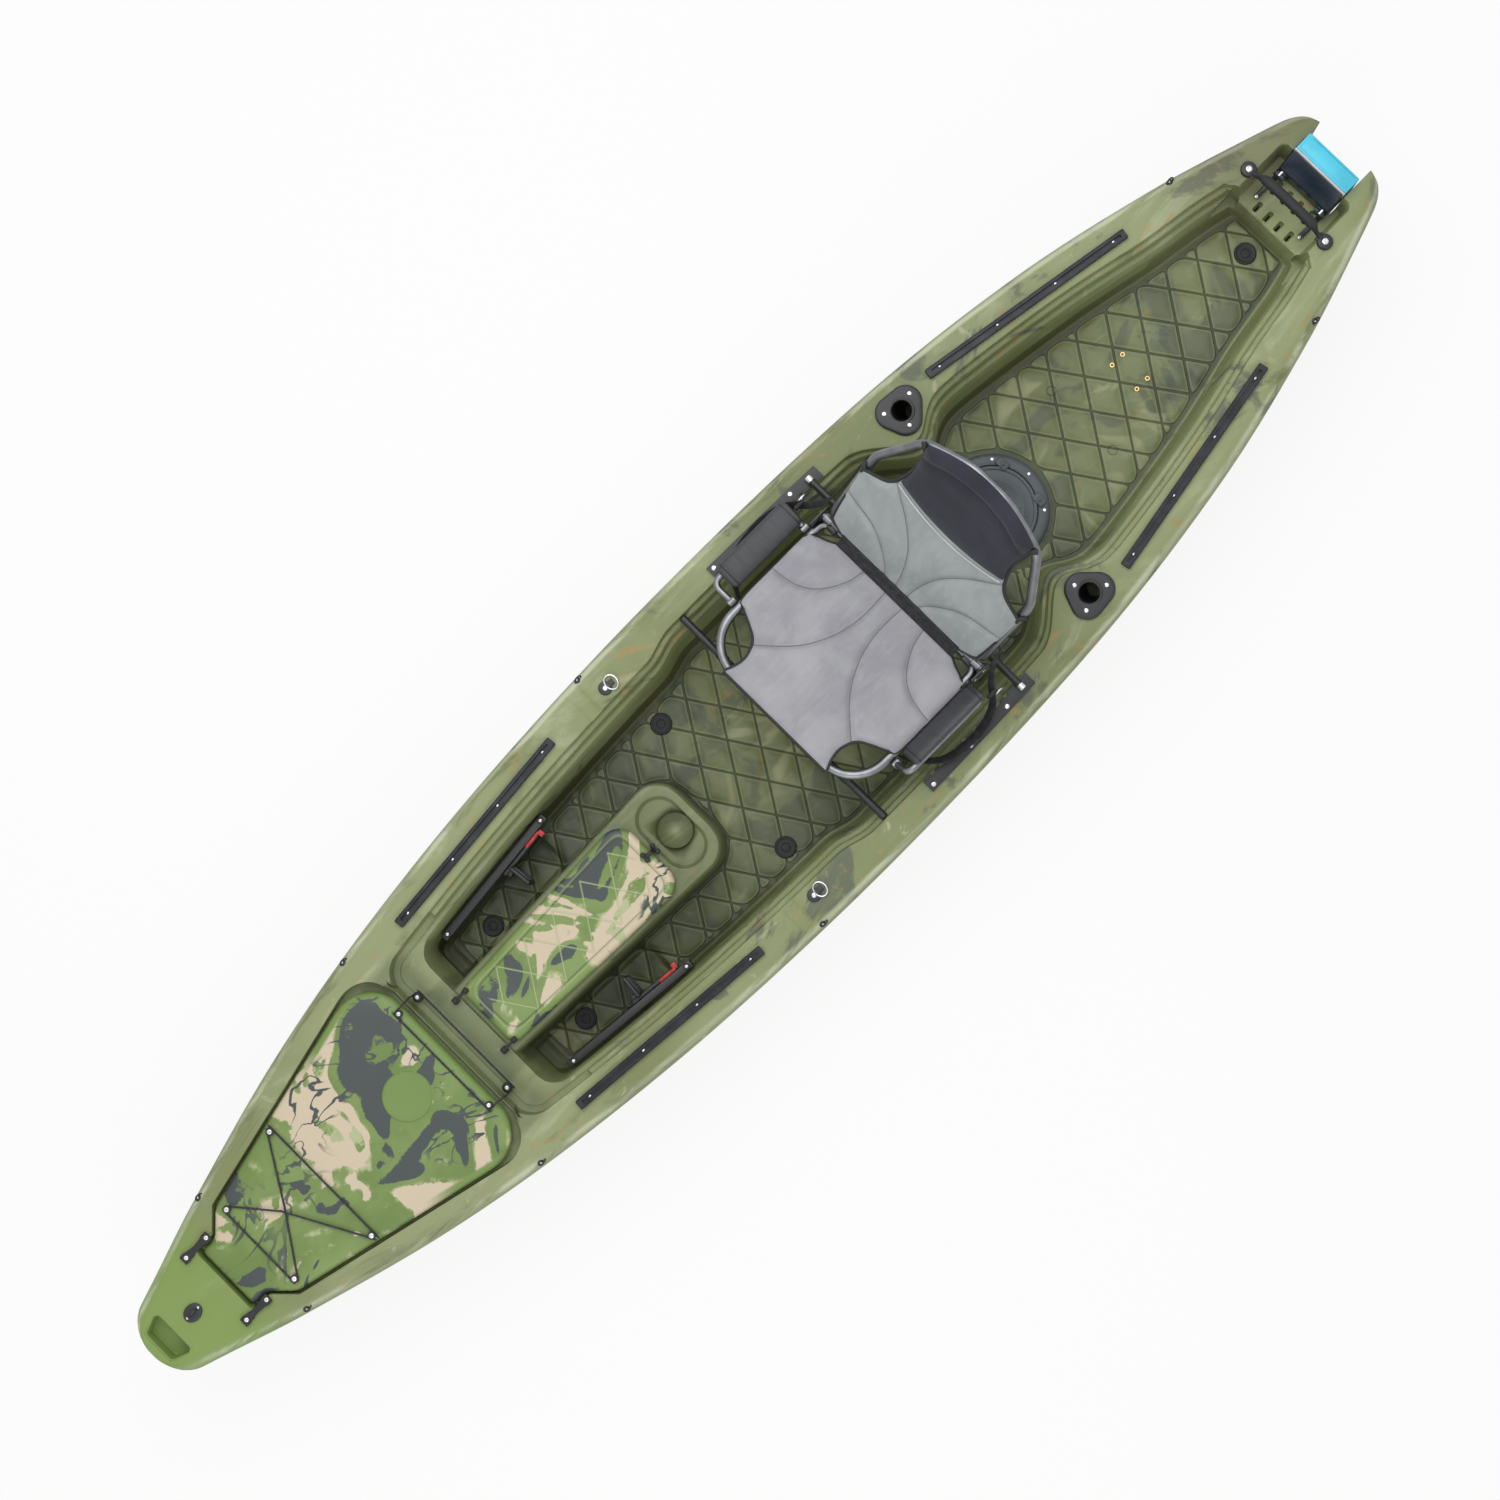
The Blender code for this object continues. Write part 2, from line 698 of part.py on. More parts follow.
def bow_slot(name, grow, low):
    outline = rounded([(slot_aft - grow, -BOW_SLOT_HALF_WIDTH - grow), (slot_aft + BOW_SLOT_LENGTH + grow, -0.042 - grow),
                       (slot_aft + BOW_SLOT_LENGTH + grow, 0.042 + grow), (slot_aft - grow, BOW_SLOT_HALF_WIDTH + grow)],
                      0.010 + grow, 3)
    return prism(name, outline, low, HIGH)


slot_floor = deck_z(slot_aft) - BOW_SLOT_DEPTH
join(deck, boolean(bow_slot("bow_slot_outer", WALL, slot_floor - WALL), deck_fill, "INTERSECT"))
cut(deck, bow_slot("bow_slot_space", 0.0, slot_floor))


# Cockpit tub


def console_half(x):
    aft = along(CONSOLE_AFT)
    return mix(CONSOLE_HALF_AFT, CONSOLE_HALF_FRONT, (x - aft) / (along(WELL_FRONT) - aft))


def console_form(name, inset, low, top):
    aft, front = along(CONSOLE_AFT), along(WELL_FRONT) + 0.04
    rings = []
    for grow, z in ((CONSOLE_DRAFT, low), (0.004, top - 0.012), (-0.006, top)):
        g = grow - inset
        half = [(aft - g, console_half(aft) + g, CONSOLE_CORNER), (front, console_half(front) + g, 0.01)]
        outline = rounded([(x, -y, r) for x, y, r in half] + [(x, y, r) for x, y, r in reversed(half)], 0.05, 5)
        rings.append([(x, y, z) for x, y in outline])
    return loft(name, rings)


console_block = console_form("console_block", 0.0, 0.0, CONSOLE_TOP)
console_hollow = console_form("console_hollow", WALL, -0.05, CONSOLE_TOP - WALL)
boolean(console_hollow, box("front_wall_keep", (along(WELL_FRONT) - 0.001, -1, -1), (HALF, 1, 1)), "DIFFERENCE")
tub_space = well_form("tub_space", 0.0)
for side in (1, -1):
    aft = along(WELL_FRONT) - 0.06 - FOOT_WELL_LENGTH
    front = along(WELL_FRONT) - 0.06
    floor_edge = 2 * STEP + WALL_LEAN + 0.004
    for grow, target in ((0.0, "foot_well"), (WALL, "foot_well_outer")):
        inner = [console_half(x) + CONSOLE_DRAFT + 0.004 - grow for x in (aft, front)]
        outer = [well_half(x) - floor_edge + grow for x in (aft, front)]
        outline = rounded([(aft - grow, side * inner[0]), (front + grow, side * inner[1]),
                           (front + grow, side * outer[1]), (aft - grow, side * outer[0])], 0.025 + grow, 3)
        prism(f"{target}_{side}", outline, COCKPIT_FLOOR - FOOT_WELL_DROP - grow, COCKPIT_FLOOR + 0.004 - grow)

tub = shown(well_grown, "cockpit_tub", olive("tub_plastic"))
join(tub, bpy.data.objects["foot_well_outer_1"], bpy.data.objects["foot_well_outer_-1"])
cut(tub_space, console_block)
join(tub_space, bpy.data.objects["foot_well_1"], bpy.data.objects["foot_well_-1"])
cut(tub, tub_space, console_hollow, shelf_clear, recess_clear)

tray_x = along(CONSOLE_AFT) + 0.075
tray_low = CONSOLE_TOP - TRAY_DEPTH


def tray_form(name, grow, low):
    x, half, r = tray_x, TRAY_HALF_WIDTH + grow, TRAY_LENGTH / 2 + grow
    outline = rounded([(x - r, -half), (x + r, -half), (x + r, half), (x - r, half)], r - 0.001, 4)
    return prism(name, outline, low, CONSOLE_TOP + (0.02 if grow == 0 else -0.001))


bin_aft = along(CONSOLE_AFT) + 0.175
bin_front = along(WELL_FRONT) - 0.07


def bin_form(name, grow, low, high):
    half = BIN_HALF_WIDTH + grow
    outline = rounded([(bin_aft - grow, -half), (bin_front + grow, -half), (bin_front + grow, half),
                       (bin_aft - grow, half)], 0.025 + grow, 3)
    return prism(name, outline, low, high)


cup_low = CONSOLE_TOP - CUP_DEPTH
join(tub, tray_form("tray_outer", WALL, tray_low - WALL),
     cylinder("cup_outer", (tray_x, 0, cup_low - WALL), (tray_x, 0, tray_low - 0.001), CUP_RADIUS + WALL, sides=ROUND_SIDES),
     bin_form("bin_outer", LID_WALL, CONSOLE_TOP - BIN_DEPTH - LID_WALL, CONSOLE_TOP - 0.002))
cut(tub, tray_form("tray_space", 0.0, tray_low),
    cylinder("cup_space", (tray_x, 0, cup_low), (tray_x, 0, CONSOLE_TOP), CUP_RADIUS, sides=ROUND_SIDES),
    bin_form("bin_space", 0.0, CONSOLE_TOP - BIN_DEPTH, CONSOLE_TOP + 0.02))
for plug, x, y in SCUPPERS:
    join(tub, scupper(plug + "_tube", x, y, PLUG_BORE + SCUPPER_WALL, -0.003, 0.002))
for plug, x, y in SCUPPERS:
    cut(tub, scupper(plug + "_bore", x, y, PLUG_BORE, 0.02, -0.02))
round_x = along(ROUND_HATCH_STATION)
cut(tub, cylinder("round_hatch_hole", (round_x, 0, TANK_FLOOR - 0.05), (round_x, 0, TANK_FLOOR + 0.05),
                  ROUND_LID_RADIUS - 0.004, sides=RING_SIDES))


# Deck fittings


def sided(name, side):
    return name + ("_port" if side > 0 else "_starboard")


def screw_head(name, x, y, z, radius=0.0045):
    return cylinder(name, (x, y, z - 0.003), (x, y, z + 0.002), radius, sides=8)


def track(name, side, start):
    """A slotted rail laid along the deck beside the well."""
    ends = [Vector((x, side * (half_beam(x) - TRACK_INSET), deck_z(x) + GAP)) for x in (start, start + TRACK_LENGTH)]
    run = ends[1] - ends[0]
    length = run.length
    half, wall, slot = TRACK_WIDTH / 2, 0.0025, TRACK_SLOT / 2
    outline = [(-half, 0), (half, 0), (half, TRACK_HEIGHT), (slot, TRACK_HEIGHT), (slot, TRACK_HEIGHT - wall),
               (half - wall, TRACK_HEIGHT - wall), (half - wall, wall), (-half + wall, wall),
               (-half + wall, TRACK_HEIGHT - wall), (-slot, TRACK_HEIGHT - wall), (-slot, TRACK_HEIGHT),
               (-half, TRACK_HEIGHT)]
    obj = loft(name, [[(0, y, z) for y, z in outline], [(length, y, z) for y, z in outline]],
               material("track_black", (0.025, 0.025, 0.027), 0.4))
    turn = run.to_track_quat("X", "Z").to_matrix().to_4x4()
    return turned(obj, Matrix.Translation(ends[0]) @ turn)


for side in (1, -1):
    track(sided("rear_track", side), side, -1.480)
    track(sided("front_track", side), side, 0.312)

rod_x = along(ROD_HOLDER_STATION)
rod_y = half_beam(rod_x) - ROD_HOLDER_INSET
PLATE_THICKNESS = 0.006
PLATE_EDGE = 0.021
ROD_SCREWS = [(-0.041, 0.016), (0.012, -0.037), (0.035, 0.024)]
for side in (1, -1):
    top = deck_z(rod_x - 0.065) + GAP
    rake = math.radians(ROD_TUBE_RAKE)
    foot = Vector((rod_x - ROD_TUBE_LENGTH * math.tan(rake), side * rod_y, top - ROD_TUBE_LENGTH))
    head = Vector((rod_x, side * rod_y, top + 0.003))
    line = (head - foot).normalized()
    screws = [(rod_x + dx, side * (rod_y + dy)) for dx, dy in ROD_SCREWS]
    outline = around_points(screws[::side], PLATE_EDGE, 4)
    holder = prism(sided("rod_holder", side), outline, top + GAP, top + PLATE_THICKNESS, black_plastic("rod_holder_black"), 40)
    outer = ROD_BORE_RADIUS + ROD_TUBE_WALL
    join(holder, cylinder(sided("rod_tube_outer", side), foot, head, outer, sides=ROUND_SIDES),
         *[screw_head(f"rod_screw_{side}_{k}", x, y, top + PLATE_THICKNESS) for k, (x, y) in enumerate(screws)])
    cut(holder, cylinder(sided("rod_bore", side), foot + line * ROD_TUBE_WALL, head + line * 0.05, ROD_BORE_RADIUS,
                         sides=ROUND_SIDES))
    cut(deck, cylinder(sided("rod_tube_hole", side), foot, head + line * 0.05, outer + 0.0015, sides=ROUND_SIDES))

round_top = TANK_FLOOR + ROUND_HATCH_HEIGHT
ring_bore = ROUND_LID_RADIUS - 0.010
ring = cylinder("round_hatch_ring", (round_x, 0, TANK_FLOOR + GAP), (round_x, 0, round_top), ROUND_HATCH_RADIUS,
                black_plastic("hatch_grey"), sides=RING_SIDES)
cut(ring, cylinder("ring_seat", (round_x, 0, TANK_FLOOR + 0.007), (round_x, 0, round_top + 0.02),
                   ROUND_LID_RADIUS + 0.002, sides=RING_SIDES),
    cylinder("ring_bore", (round_x, 0, TANK_FLOOR - 0.05), (round_x, 0, round_top + 0.02), ring_bore, sides=RING_SIDES))
round_lid = cylinder("round_hatch_lid", (round_x, 0, TANK_FLOOR + 0.007 + GAP), (round_x, 0, round_top + 0.004),
                     ROUND_LID_RADIUS, black_plastic("hatch_lid_grey"), sides=RING_SIDES)
lid_pull = box("lid_pull_space", (round_x + 0.02, -0.03, round_top), (round_x + 0.06, 0.03, round_top + 0.02), bevel=0.004)
cut(round_lid, lid_pull)
carried("round_hatch_pivot", (round_x - ROUND_LID_RADIUS, 0, round_top + 0.004), round_lid)

for plug, x, y in SCUPPERS:
    floor = scupper_floor(x)
    rubber = black_rubber("plug_rubber")
    head = cylinder(plug, (x, y, floor + GAP), (x, y, floor + 0.006), PLUG_RADIUS, rubber, sides=BORE_SIDES,
                    end_radius=PLUG_RADIUS - 0.003)
    join(head, cylinder(plug + "_stem", (x, y, floor - 0.020), (x, y, floor + 0.002), PLUG_BORE - GAP, sides=BORE_SIDES))
    carried(plug + "_pull", (x, y, floor), head)

for side in (1, -1):
    x = along(0.0687)
    y = side * (half_beam(x) - 0.074)
    z = deck_z(x) + GAP
    eye = cylinder(sided("padeye", side), (x, y, z), (x, y, z + 0.006), 0.016, stainless("padeye_steel"), sides=20)
    wire = [(x - 0.016 + 0.015 * math.cos(math.radians(a)), y + 0.017 * math.sin(math.radians(a)), z + 0.0035)
            for a in range(0, 360, 30)]
    join(eye, tube(sided("padeye_wire", side), wire, 0.0022, closed=True, resolution=1))

bow_eye_x = along(0.932)
BOW_EYE_RADIUS = 0.020
sheer = math.atan(2 * BOW_SHEER * bow_eye_x / HALF**2)
eye_seat = Matrix.Translation((bow_eye_x, 0, deck_z(bow_eye_x) + 2 * GAP)) @ Matrix.Rotation(-sheer, 4, "Y")
bow_eye = cylinder("bow_eye", (0, 0, 0), (0, 0, 0.005), BOW_EYE_RADIUS, black_plastic("bow_eye_black"))
turned(bow_eye, eye_seat @ Matrix.Diagonal((1.2, 1.0, 1.0, 1.0)))
bow_wire = [(0.013 * math.cos(math.radians(a)), 0, 0.004 + 0.012 * math.sin(math.radians(a)))
            for a in range(0, 181, 20)]
join(bow_eye, turned(tube("bow_eye_loop", bow_wire, 0.003, resolution=1), eye_seat))

KNOB_Y = 0.150
KNOB_STEM = 0.006
knob_x = along(0.4874)
for side in (1, -1):
    bm = bmesh.new()
    bmesh.ops.create_uvsphere(bm, u_segments=12, v_segments=8, radius=0.013)
    bmesh.ops.translate(bm, vec=(knob_x, side * KNOB_Y, SHELF_Z + 0.023), verts=bm.verts)
    join(deck, cylinder(sided("knob_stem", side), (knob_x, side * KNOB_Y, SHELF_Z - 0.003),
                        (knob_x, side * KNOB_Y, SHELF_Z + 0.016), KNOB_STEM, sides=12),
         from_bmesh(sided("knob_ball", side), bm))


# Bow lid, gasket, hinge links and bungees

GASKET_INSET = 0.012
gasket_line = [(x, y, hatch_plane(x) - HATCH_SHELF_DEPTH + GAP + GASKET_RADIUS) for x, y in hatch_outline(-GASKET_INSET)]
tube("hatch_gasket", gasket_line, GASKET_RADIUS, black_rubber("gasket_rubber"), closed=True, resolution=0)

lid_low = -HATCH_SHELF_DEPTH + 2 * GASKET_RADIUS + 2 * GAP
LID_CROWN = 0.004
lid_rings = [(-0.004, lid_low), (0.0, lid_low + 0.004), (0.0, LID_CROWN - 0.010), (-0.003, LID_CROWN - 0.003),
             (-0.010, LID_CROWN)]
bow_lid = loft("bow_lid", [[(x, y, hatch_plane(x) + z) for x, y in hatch_outline(g)] for g, z in lid_rings],
               olive("lid_plastic"), 30)
cut(bow_lid, hatch_prism("lid_hollow", -0.024, -0.2, LID_CROWN - WALL))
dish_x = along(0.5758)
cut(bow_lid, cylinder("lid_dish", (dish_x, 0, hatch_plane(dish_x) + LID_CROWN - 0.002), (dish_x, 0, HIGH), 0.059, sides=24))

HOOKS = [(along(0.7187), 0.170), (along(0.8182), 0.113)]
CORD_RADIUS = 0.0025
HOOK_HEIGHT = 0.012
HOOK_RADIUS = 0.0045


def lid_top(x):
    return hatch_plane(x) + LID_CROWN


for x, half in HOOKS:
    for side in (1, -1):
        z = lid_top(x)
        join(bow_lid, cylinder(f"hook_{x:.2f}_{side}", (x, side * half, z - 0.003), (x, side * half, z + HOOK_HEIGHT),
                               HOOK_RADIUS, sides=8),
             cylinder(f"hook_cap_{x:.2f}_{side}", (x, side * half, z + 0.007), (x, side * half, z + HOOK_HEIGHT + 0.002),
                      0.010, sides=10))
LID_KNOB_X = hatch_aft + 0.014
for side in (1, -1):
    z = lid_top(LID_KNOB_X) - 0.006
    join(bow_lid, cylinder(f"lid_knob_{side}", (LID_KNOB_X, side * KNOB_Y, z), (LID_KNOB_X, side * KNOB_Y, z + 0.018),
                           KNOB_STEM, sides=12))


def around(x, y, z, start, sweep, stem=HOOK_RADIUS):
    """Points where a cord bends round a stem."""
    r = stem + CORD_RADIUS + 2 * GAP
    angles = [math.radians(start + sweep * k / 3) for k in range(4)]
    return [(x + r * math.cos(a), y + r * math.sin(a), z) for a in angles]


(rear_x, rear_y), (fore_x, fore_y) = HOOKS
cord_low = lid_top(rear_x) + CORD_RADIUS + 0.0006
cord_mid = lid_top((rear_x + fore_x) / 2) + CORD_RADIUS + 0.0006
cord_fore = lid_top(fore_x) + CORD_RADIUS + 0.0006
lid_cord = (around(rear_x, rear_y, cord_low, 60, 120) + around(rear_x, -rear_y, cord_low, 180, 120)
            + [((rear_x + fore_x) / 2, -0.022, cord_mid)]
            + around(fore_x, fore_y, cord_fore, 120, -120) + around(fore_x, -fore_y, cord_fore, 0, -120)
            + [((rear_x + fore_x) / 2 + 0.01, -0.018, cord_mid + 2 * CORD_RADIUS + 0.001)])
tube("lid_bungee", lid_cord, CORD_RADIUS, black_rubber("bungee_black"), closed=True, resolution=1)

loop_z = SHELF_Z + 0.0055
lid_knob_z = lid_top(LID_KNOB_X) + 0.006
loop_side = KNOB_Y + KNOB_STEM + CORD_RADIUS + 2 * GAP
rise = [(knob_x + 0.006, loop_side + 0.008, loop_z), (shelf_front - 0.004, loop_side + 0.004, SHELF_Z + RIDGE_HEIGHT + 0.008),
        (hatch_aft - 0.004, loop_side, lid_knob_z)]
loop_line = (around(knob_x, KNOB_Y, loop_z, 90, 90, KNOB_STEM) + around(knob_x, -KNOB_Y, loop_z, 180, 90, KNOB_STEM)
             + [(x, -y, z) for x, y, z in rise]
             + around(LID_KNOB_X, -KNOB_Y, lid_knob_z, 270, 90, KNOB_STEM)
             + around(LID_KNOB_X, KNOB_Y, lid_knob_z, 0, 90, KNOB_STEM)
             + rise[::-1])
tube("hatch_loop", loop_line, CORD_RADIUS, black_rubber("bungee_black"), closed=True, resolution=1)

bow_hinge_x = hatch_front + 0.0015
bow_hinge_z = hatch_plane(hatch_front)
LINK_Y = 0.101
LINK_HALF = 0.043
for side in (1, -1):
    y = side * LINK_Y
    link = box(sided("bow_hinge_link", side), (bow_hinge_x - LINK_HALF, y - 0.012, lid_top(bow_hinge_x) + GAP),
               (bow_hinge_x + LINK_HALF, y + 0.012, lid_top(bow_hinge_x) + 0.006), black_rubber("link_rubber"), 0.002, 1)
    join(link, box(f"link_foot_{side}", (bow_hinge_x + 0.014, y - 0.010, deck_z(bow_hinge_x + LINK_HALF) + GAP),
                   (bow_hinge_x + LINK_HALF - 0.002, y + 0.010, lid_top(bow_hinge_x) + 0.004)))
carried("bow_hatch_pivot", (bow_hinge_x, 0, bow_hinge_z), bow_lid, bpy.data.objects["lid_bungee"])


# Console lid, latch and hinge links

lid_aft = tray_x + TRAY_LENGTH / 2 + 0.012
lid_front = lid_aft + CONSOLE_LID_LENGTH


def console_lid_ring(inset, z):
    half = [(lid_aft + inset, console_half(lid_aft) - 0.010 - inset, 0.050 - inset),
            (lid_front - inset, console_half(lid_front) - 0.010 - inset, 0.030 - inset)]
    outline = rounded([(x, -y, r) for x, y, r in half] + [(x, y, r) for x, y, r in reversed(half)], 0.05, 4)
    return [(x, y, z) for x, y in outline]


lid_base = CONSOLE_TOP + GAP
console_lid = loft("console_lid", [console_lid_ring(0.0, lid_base), console_lid_ring(0.0, lid_base + LID_THICKNESS - 0.008),
                                   console_lid_ring(0.008, lid_base + LID_THICKNESS)], olive("console_lid_plastic"), 30)
cut(console_lid, loft("console_lid_hollow", [console_lid_ring(0.012, lid_base - 0.01),
                                             console_lid_ring(0.012, lid_base + LID_THICKNESS - 0.006 - LID_WALL)]),
    loft("console_lid_dish", [console_lid_ring(0.016, lid_base + LID_THICKNESS - 0.004),
                              console_lid_ring(0.014, lid_base + LID_THICKNESS + 0.02)]))
console_hinge = (lid_front + 0.006, 0, CONSOLE_TOP + LID_THICKNESS / 2)
carried("console_lid_pivot", console_hinge, console_lid)
for side in (1, -1):
    y = side * 0.082
    box(sided("console_hinge_link", side), (lid_front - 0.018, y - 0.006, lid_base + LID_THICKNESS + 0.0005),
        (lid_front + 0.030, y + 0.006, lid_base + LID_THICKNESS + 0.0045), black_rubber("link_rubber"), 0.001, 1)
latch_x = lid_aft - 0.0065
latch_z = lid_base + LID_THICKNESS
latch_reach = lid_aft + 0.024
latch = box("console_latch", (latch_x - 0.005, -0.008, CONSOLE_TOP + GAP), (latch_x + 0.005, 0.008, latch_z + 0.006),
            black_rubber("latch_rubber"), 0.001, 1)
join(latch, box("latch_arm", (latch_x, -0.007, latch_z + GAP), (latch_reach, 0.007, latch_z + 0.0055)))
latch_pivot = carried("console_latch_pivot", (latch_reach, 0, latch_z + 0.003), latch)
latch_pivot.parent = bpy.data.objects["console_lid_pivot"]
latch_pivot.matrix_parent_inverse = Matrix.Translation(console_hinge).inverted()


# Foot braces

RAIL_AFT = 0.460
RAIL_LENGTH = 0.378
RAIL_Z = 0.205
RAIL_SIZE = (0.020, 0.034)
PEDAL_OFFSET = 0.148
CARRIAGE = (0.036, 0.170)
for side in (1, -1):
    ends = [Vector((x, side * (wall_y(x, RAIL_Z - RAIL_SIZE[1] / 2) - 0.001 - RAIL_SIZE[0] / 2), RAIL_Z))
            for x in (RAIL_AFT, RAIL_AFT + RAIL_LENGTH)]
    run = ends[1] - ends[0]
    seat = Matrix.Translation(ends[0]) @ run.to_track_quat("X", "Z").to_matrix().to_4x4()
    half_w, half_h = RAIL_SIZE[0] / 2, RAIL_SIZE[1] / 2
    rail = box(sided("foot_rail", side), (0, -half_w, -half_h), (run.length, half_w, half_h), black_plastic("rail_black"),
               0.002, 1)
    cut(rail, box(sided("rail_groove", side), (0.012, -side * half_w - 0.008, -0.006),
                  (run.length - 0.012, -side * half_w + 0.008, 0.006)))
    inner = -side * (half_w + GAP)
    reach = -side * (half_w + GAP + 0.010)
    low_y, high_y = sorted((inner, reach))
    pedal = box(sided("foot_pedal", side), (CARRIAGE[0], low_y, -0.012), (CARRIAGE[1], high_y, 0.012),
                black_plastic("pedal_black"))
    tip = -side * (half_w + 0.068)
    low_y, high_y = sorted((reach + side * 0.004, tip))
    join(pedal, box(sided("pedal_plate", side), (PEDAL_OFFSET - 0.008, low_y, -0.078), (PEDAL_OFFSET + 0.006, high_y, 0.030),
                    bevel=0.004, segments=1))
    low_y, high_y = sorted((inner, -side * (half_w + GAP + 0.008)))
    lever = box(sided("pedal_lever", side), (CARRIAGE[0] + 0.002, low_y, 0.0125), (CARRIAGE[0] + 0.050, high_y, 0.019),
                material("lever_red", (0.55, 0.03, 0.02), 0.5), 0.001, 1)
    for piece in (rail, pedal, lever, bpy.data.objects[sided("rail_groove", side)], bpy.data.objects[sided("pedal_plate", side)]):
        turned(piece, seat)
    carried(sided("pedal_slide", side), seat @ Vector((CARRIAGE[0], inner, 0)), pedal)
    carried(sided("pedal_lever_pivot", side), seat @ Vector((CARRIAGE[0] + 0.050, inner, 0.0125)), lever)


# Battery and controller inside the hull

BATTERY = (0.240, 0.168, 0.110)
CONTROLLER = (0.150, 0.120, 0.045)
CASE_CLEARANCE = 0.0009
CASE_EDGE = 0.005


def in_the_bilge(name, aft, size, mat):
    """A case that stands on the inside of the hull, on its long lower edges."""
    length, width, height = size
    edge = width / 2 - CASE_EDGE
    floor = max(lofted_bottom(x, edge, WALL) for x in (aft + CASE_EDGE, aft + length)) + CASE_CLEARANCE
    return box(name, (aft, -width / 2, floor), (aft + length, width / 2, floor + height), mat, CASE_EDGE, 1)


in_the_bilge("battery", round_x - 0.125, BATTERY, black_plastic("battery_case"))
in_the_bilge("motor_controller", round_x - 0.320, CONTROLLER, material("controller_case", (0.35, 0.36, 0.38), 0.4, 0.9))


# Seat

SEAT_TUBE = 0.011
TUBE_FLAT = math.cos(math.radians(30))
CROSS_TUBE = 0.009
SEAT_LEG_Y = 0.200
SEAT_RAIL = (-0.580, -0.231)
SEAT_RAIL_WIDTH = 0.034
SEAT_RAIL_THICKNESS = 0.008
FRONT_TUBE_X = -0.110
REAR_TUBE_X = -0.550
SEAT_TRAVEL = (-0.020, 0.030)
HINGE_RISE = 0.040
HINGE_RADIUS = 0.006
EAR = (0.255, 0.262)
BACK_HALF_WIDTH = 0.238
BACK_START = 0.014
frame_metal = material("seat_tube_silver", (0.55, 0.56, 0.58), 0.35, 1.0)

for side in (1, -1):
    edges = [(x, side * (well_half(x) + inset)) for inset in (0.002, 0.002 + SEAT_RAIL_WIDTH) for x in SEAT_RAIL]
    outline = [edges[0], edges[1], edges[3], edges[2]]
    rail = loft(sided("seat_rail", side), [[(x, y, deck_z(x) + GAP + lift) for x, y in outline]
                                           for lift in (0.0, SEAT_RAIL_THICKNESS)], black_plastic("seat_rail_black"))
    for x in (SEAT_RAIL[0] + 0.10, SEAT_RAIL[1] - 0.06):
        y = side * (well_half(x) + 0.002)
        notch = box(f"rail_notch_{side}_{x:.2f}", (x - 0.016, y - 0.006, 0), (x + 0.016, y + 0.006, HIGH))
        cut(rail, notch)


def loop(rear, front, half, rear_radius, front_radius, z):
    corners = [(rear, -half, rear_radius), (front, -half, front_radius), (front, half, front_radius),
               (rear, half, rear_radius)]
    return [(x, y, z) for x, y in rounded(corners, front_radius, 6)]


def seat_bar(name, start, end, radius):
    return cylinder(name, start, end, radius, sides=10)


front_tube_z = deck_z(FRONT_TUBE_X) - LIP + CROSS_TUBE + 2 * GAP
rear_tube_z = deck_z(REAR_TUBE_X) + SEAT_RAIL_THICKNESS + 2.5 * GAP + CROSS_TUBE
front_tube_half = well_half(FRONT_TUBE_X + SEAT_TRAVEL[0]) - 0.003
rear_tube_half = well_half(REAR_TUBE_X) + 0.024
hinge = Vector((SEAT_REAR, 0, SEAT_HEIGHT + HINGE_RISE))
seat_frame = tube("seat_frame", loop(SEAT_REAR, SEAT_FRONT, SEAT_HALF_WIDTH, 0.03, SEAT_CORNER, SEAT_HEIGHT), SEAT_TUBE,
                  frame_metal, closed=True, resolution=1)
join(seat_frame,
     seat_bar("front_cross_tube", (FRONT_TUBE_X, -front_tube_half, front_tube_z), (FRONT_TUBE_X, front_tube_half, front_tube_z),
              CROSS_TUBE),
     seat_bar("rear_cross_tube", (REAR_TUBE_X, -rear_tube_half, rear_tube_z), (REAR_TUBE_X, rear_tube_half, rear_tube_z),
              CROSS_TUBE))
for side in (1, -1):
    y = side * SEAT_LEG_Y
    join(seat_frame, seat_bar(f"front_leg_{side}", (FRONT_TUBE_X, y, front_tube_z), (FRONT_TUBE_X - 0.004, y, SEAT_HEIGHT), 0.008),
         seat_bar(f"rear_leg_{side}", (REAR_TUBE_X, y, rear_tube_z), (SEAT_REAR, y, SEAT_HEIGHT), 0.008))
    low_y, high_y = sorted((side * EAR[0], side * EAR[1]))
    ear = box(f"ear_{side}", (SEAT_REAR - 0.018, low_y, SEAT_HEIGHT - 0.008), (SEAT_REAR + 0.038, high_y, hinge.z + 0.014),
              bevel=0.006, segments=1)
    join(seat_frame, ear)

recline = math.radians(BACK_RECLINE)
up_the_back = Vector((-math.sin(recline), 0, math.cos(recline)))
out_of_back = Vector((math.cos(recline), 0, math.sin(recline)))
back_seat = Matrix.Translation(hinge) @ Matrix((up_the_back, (0, -1, 0), out_of_back)).transposed().to_4x4()

back_frame = tube("seat_back_frame", loop(BACK_START, BACK_LENGTH, BACK_HALF_WIDTH, 0.03, 0.10, 0.0), SEAT_TUBE, frame_metal,
                  closed=True, resolution=1)
rod_half = EAR[0] - GAP
turned(back_frame, back_seat)
join(back_frame, turned(seat_bar("hinge_rod", (0, -rod_half, 0), (0, rod_half, 0), HINGE_RADIUS), back_seat))


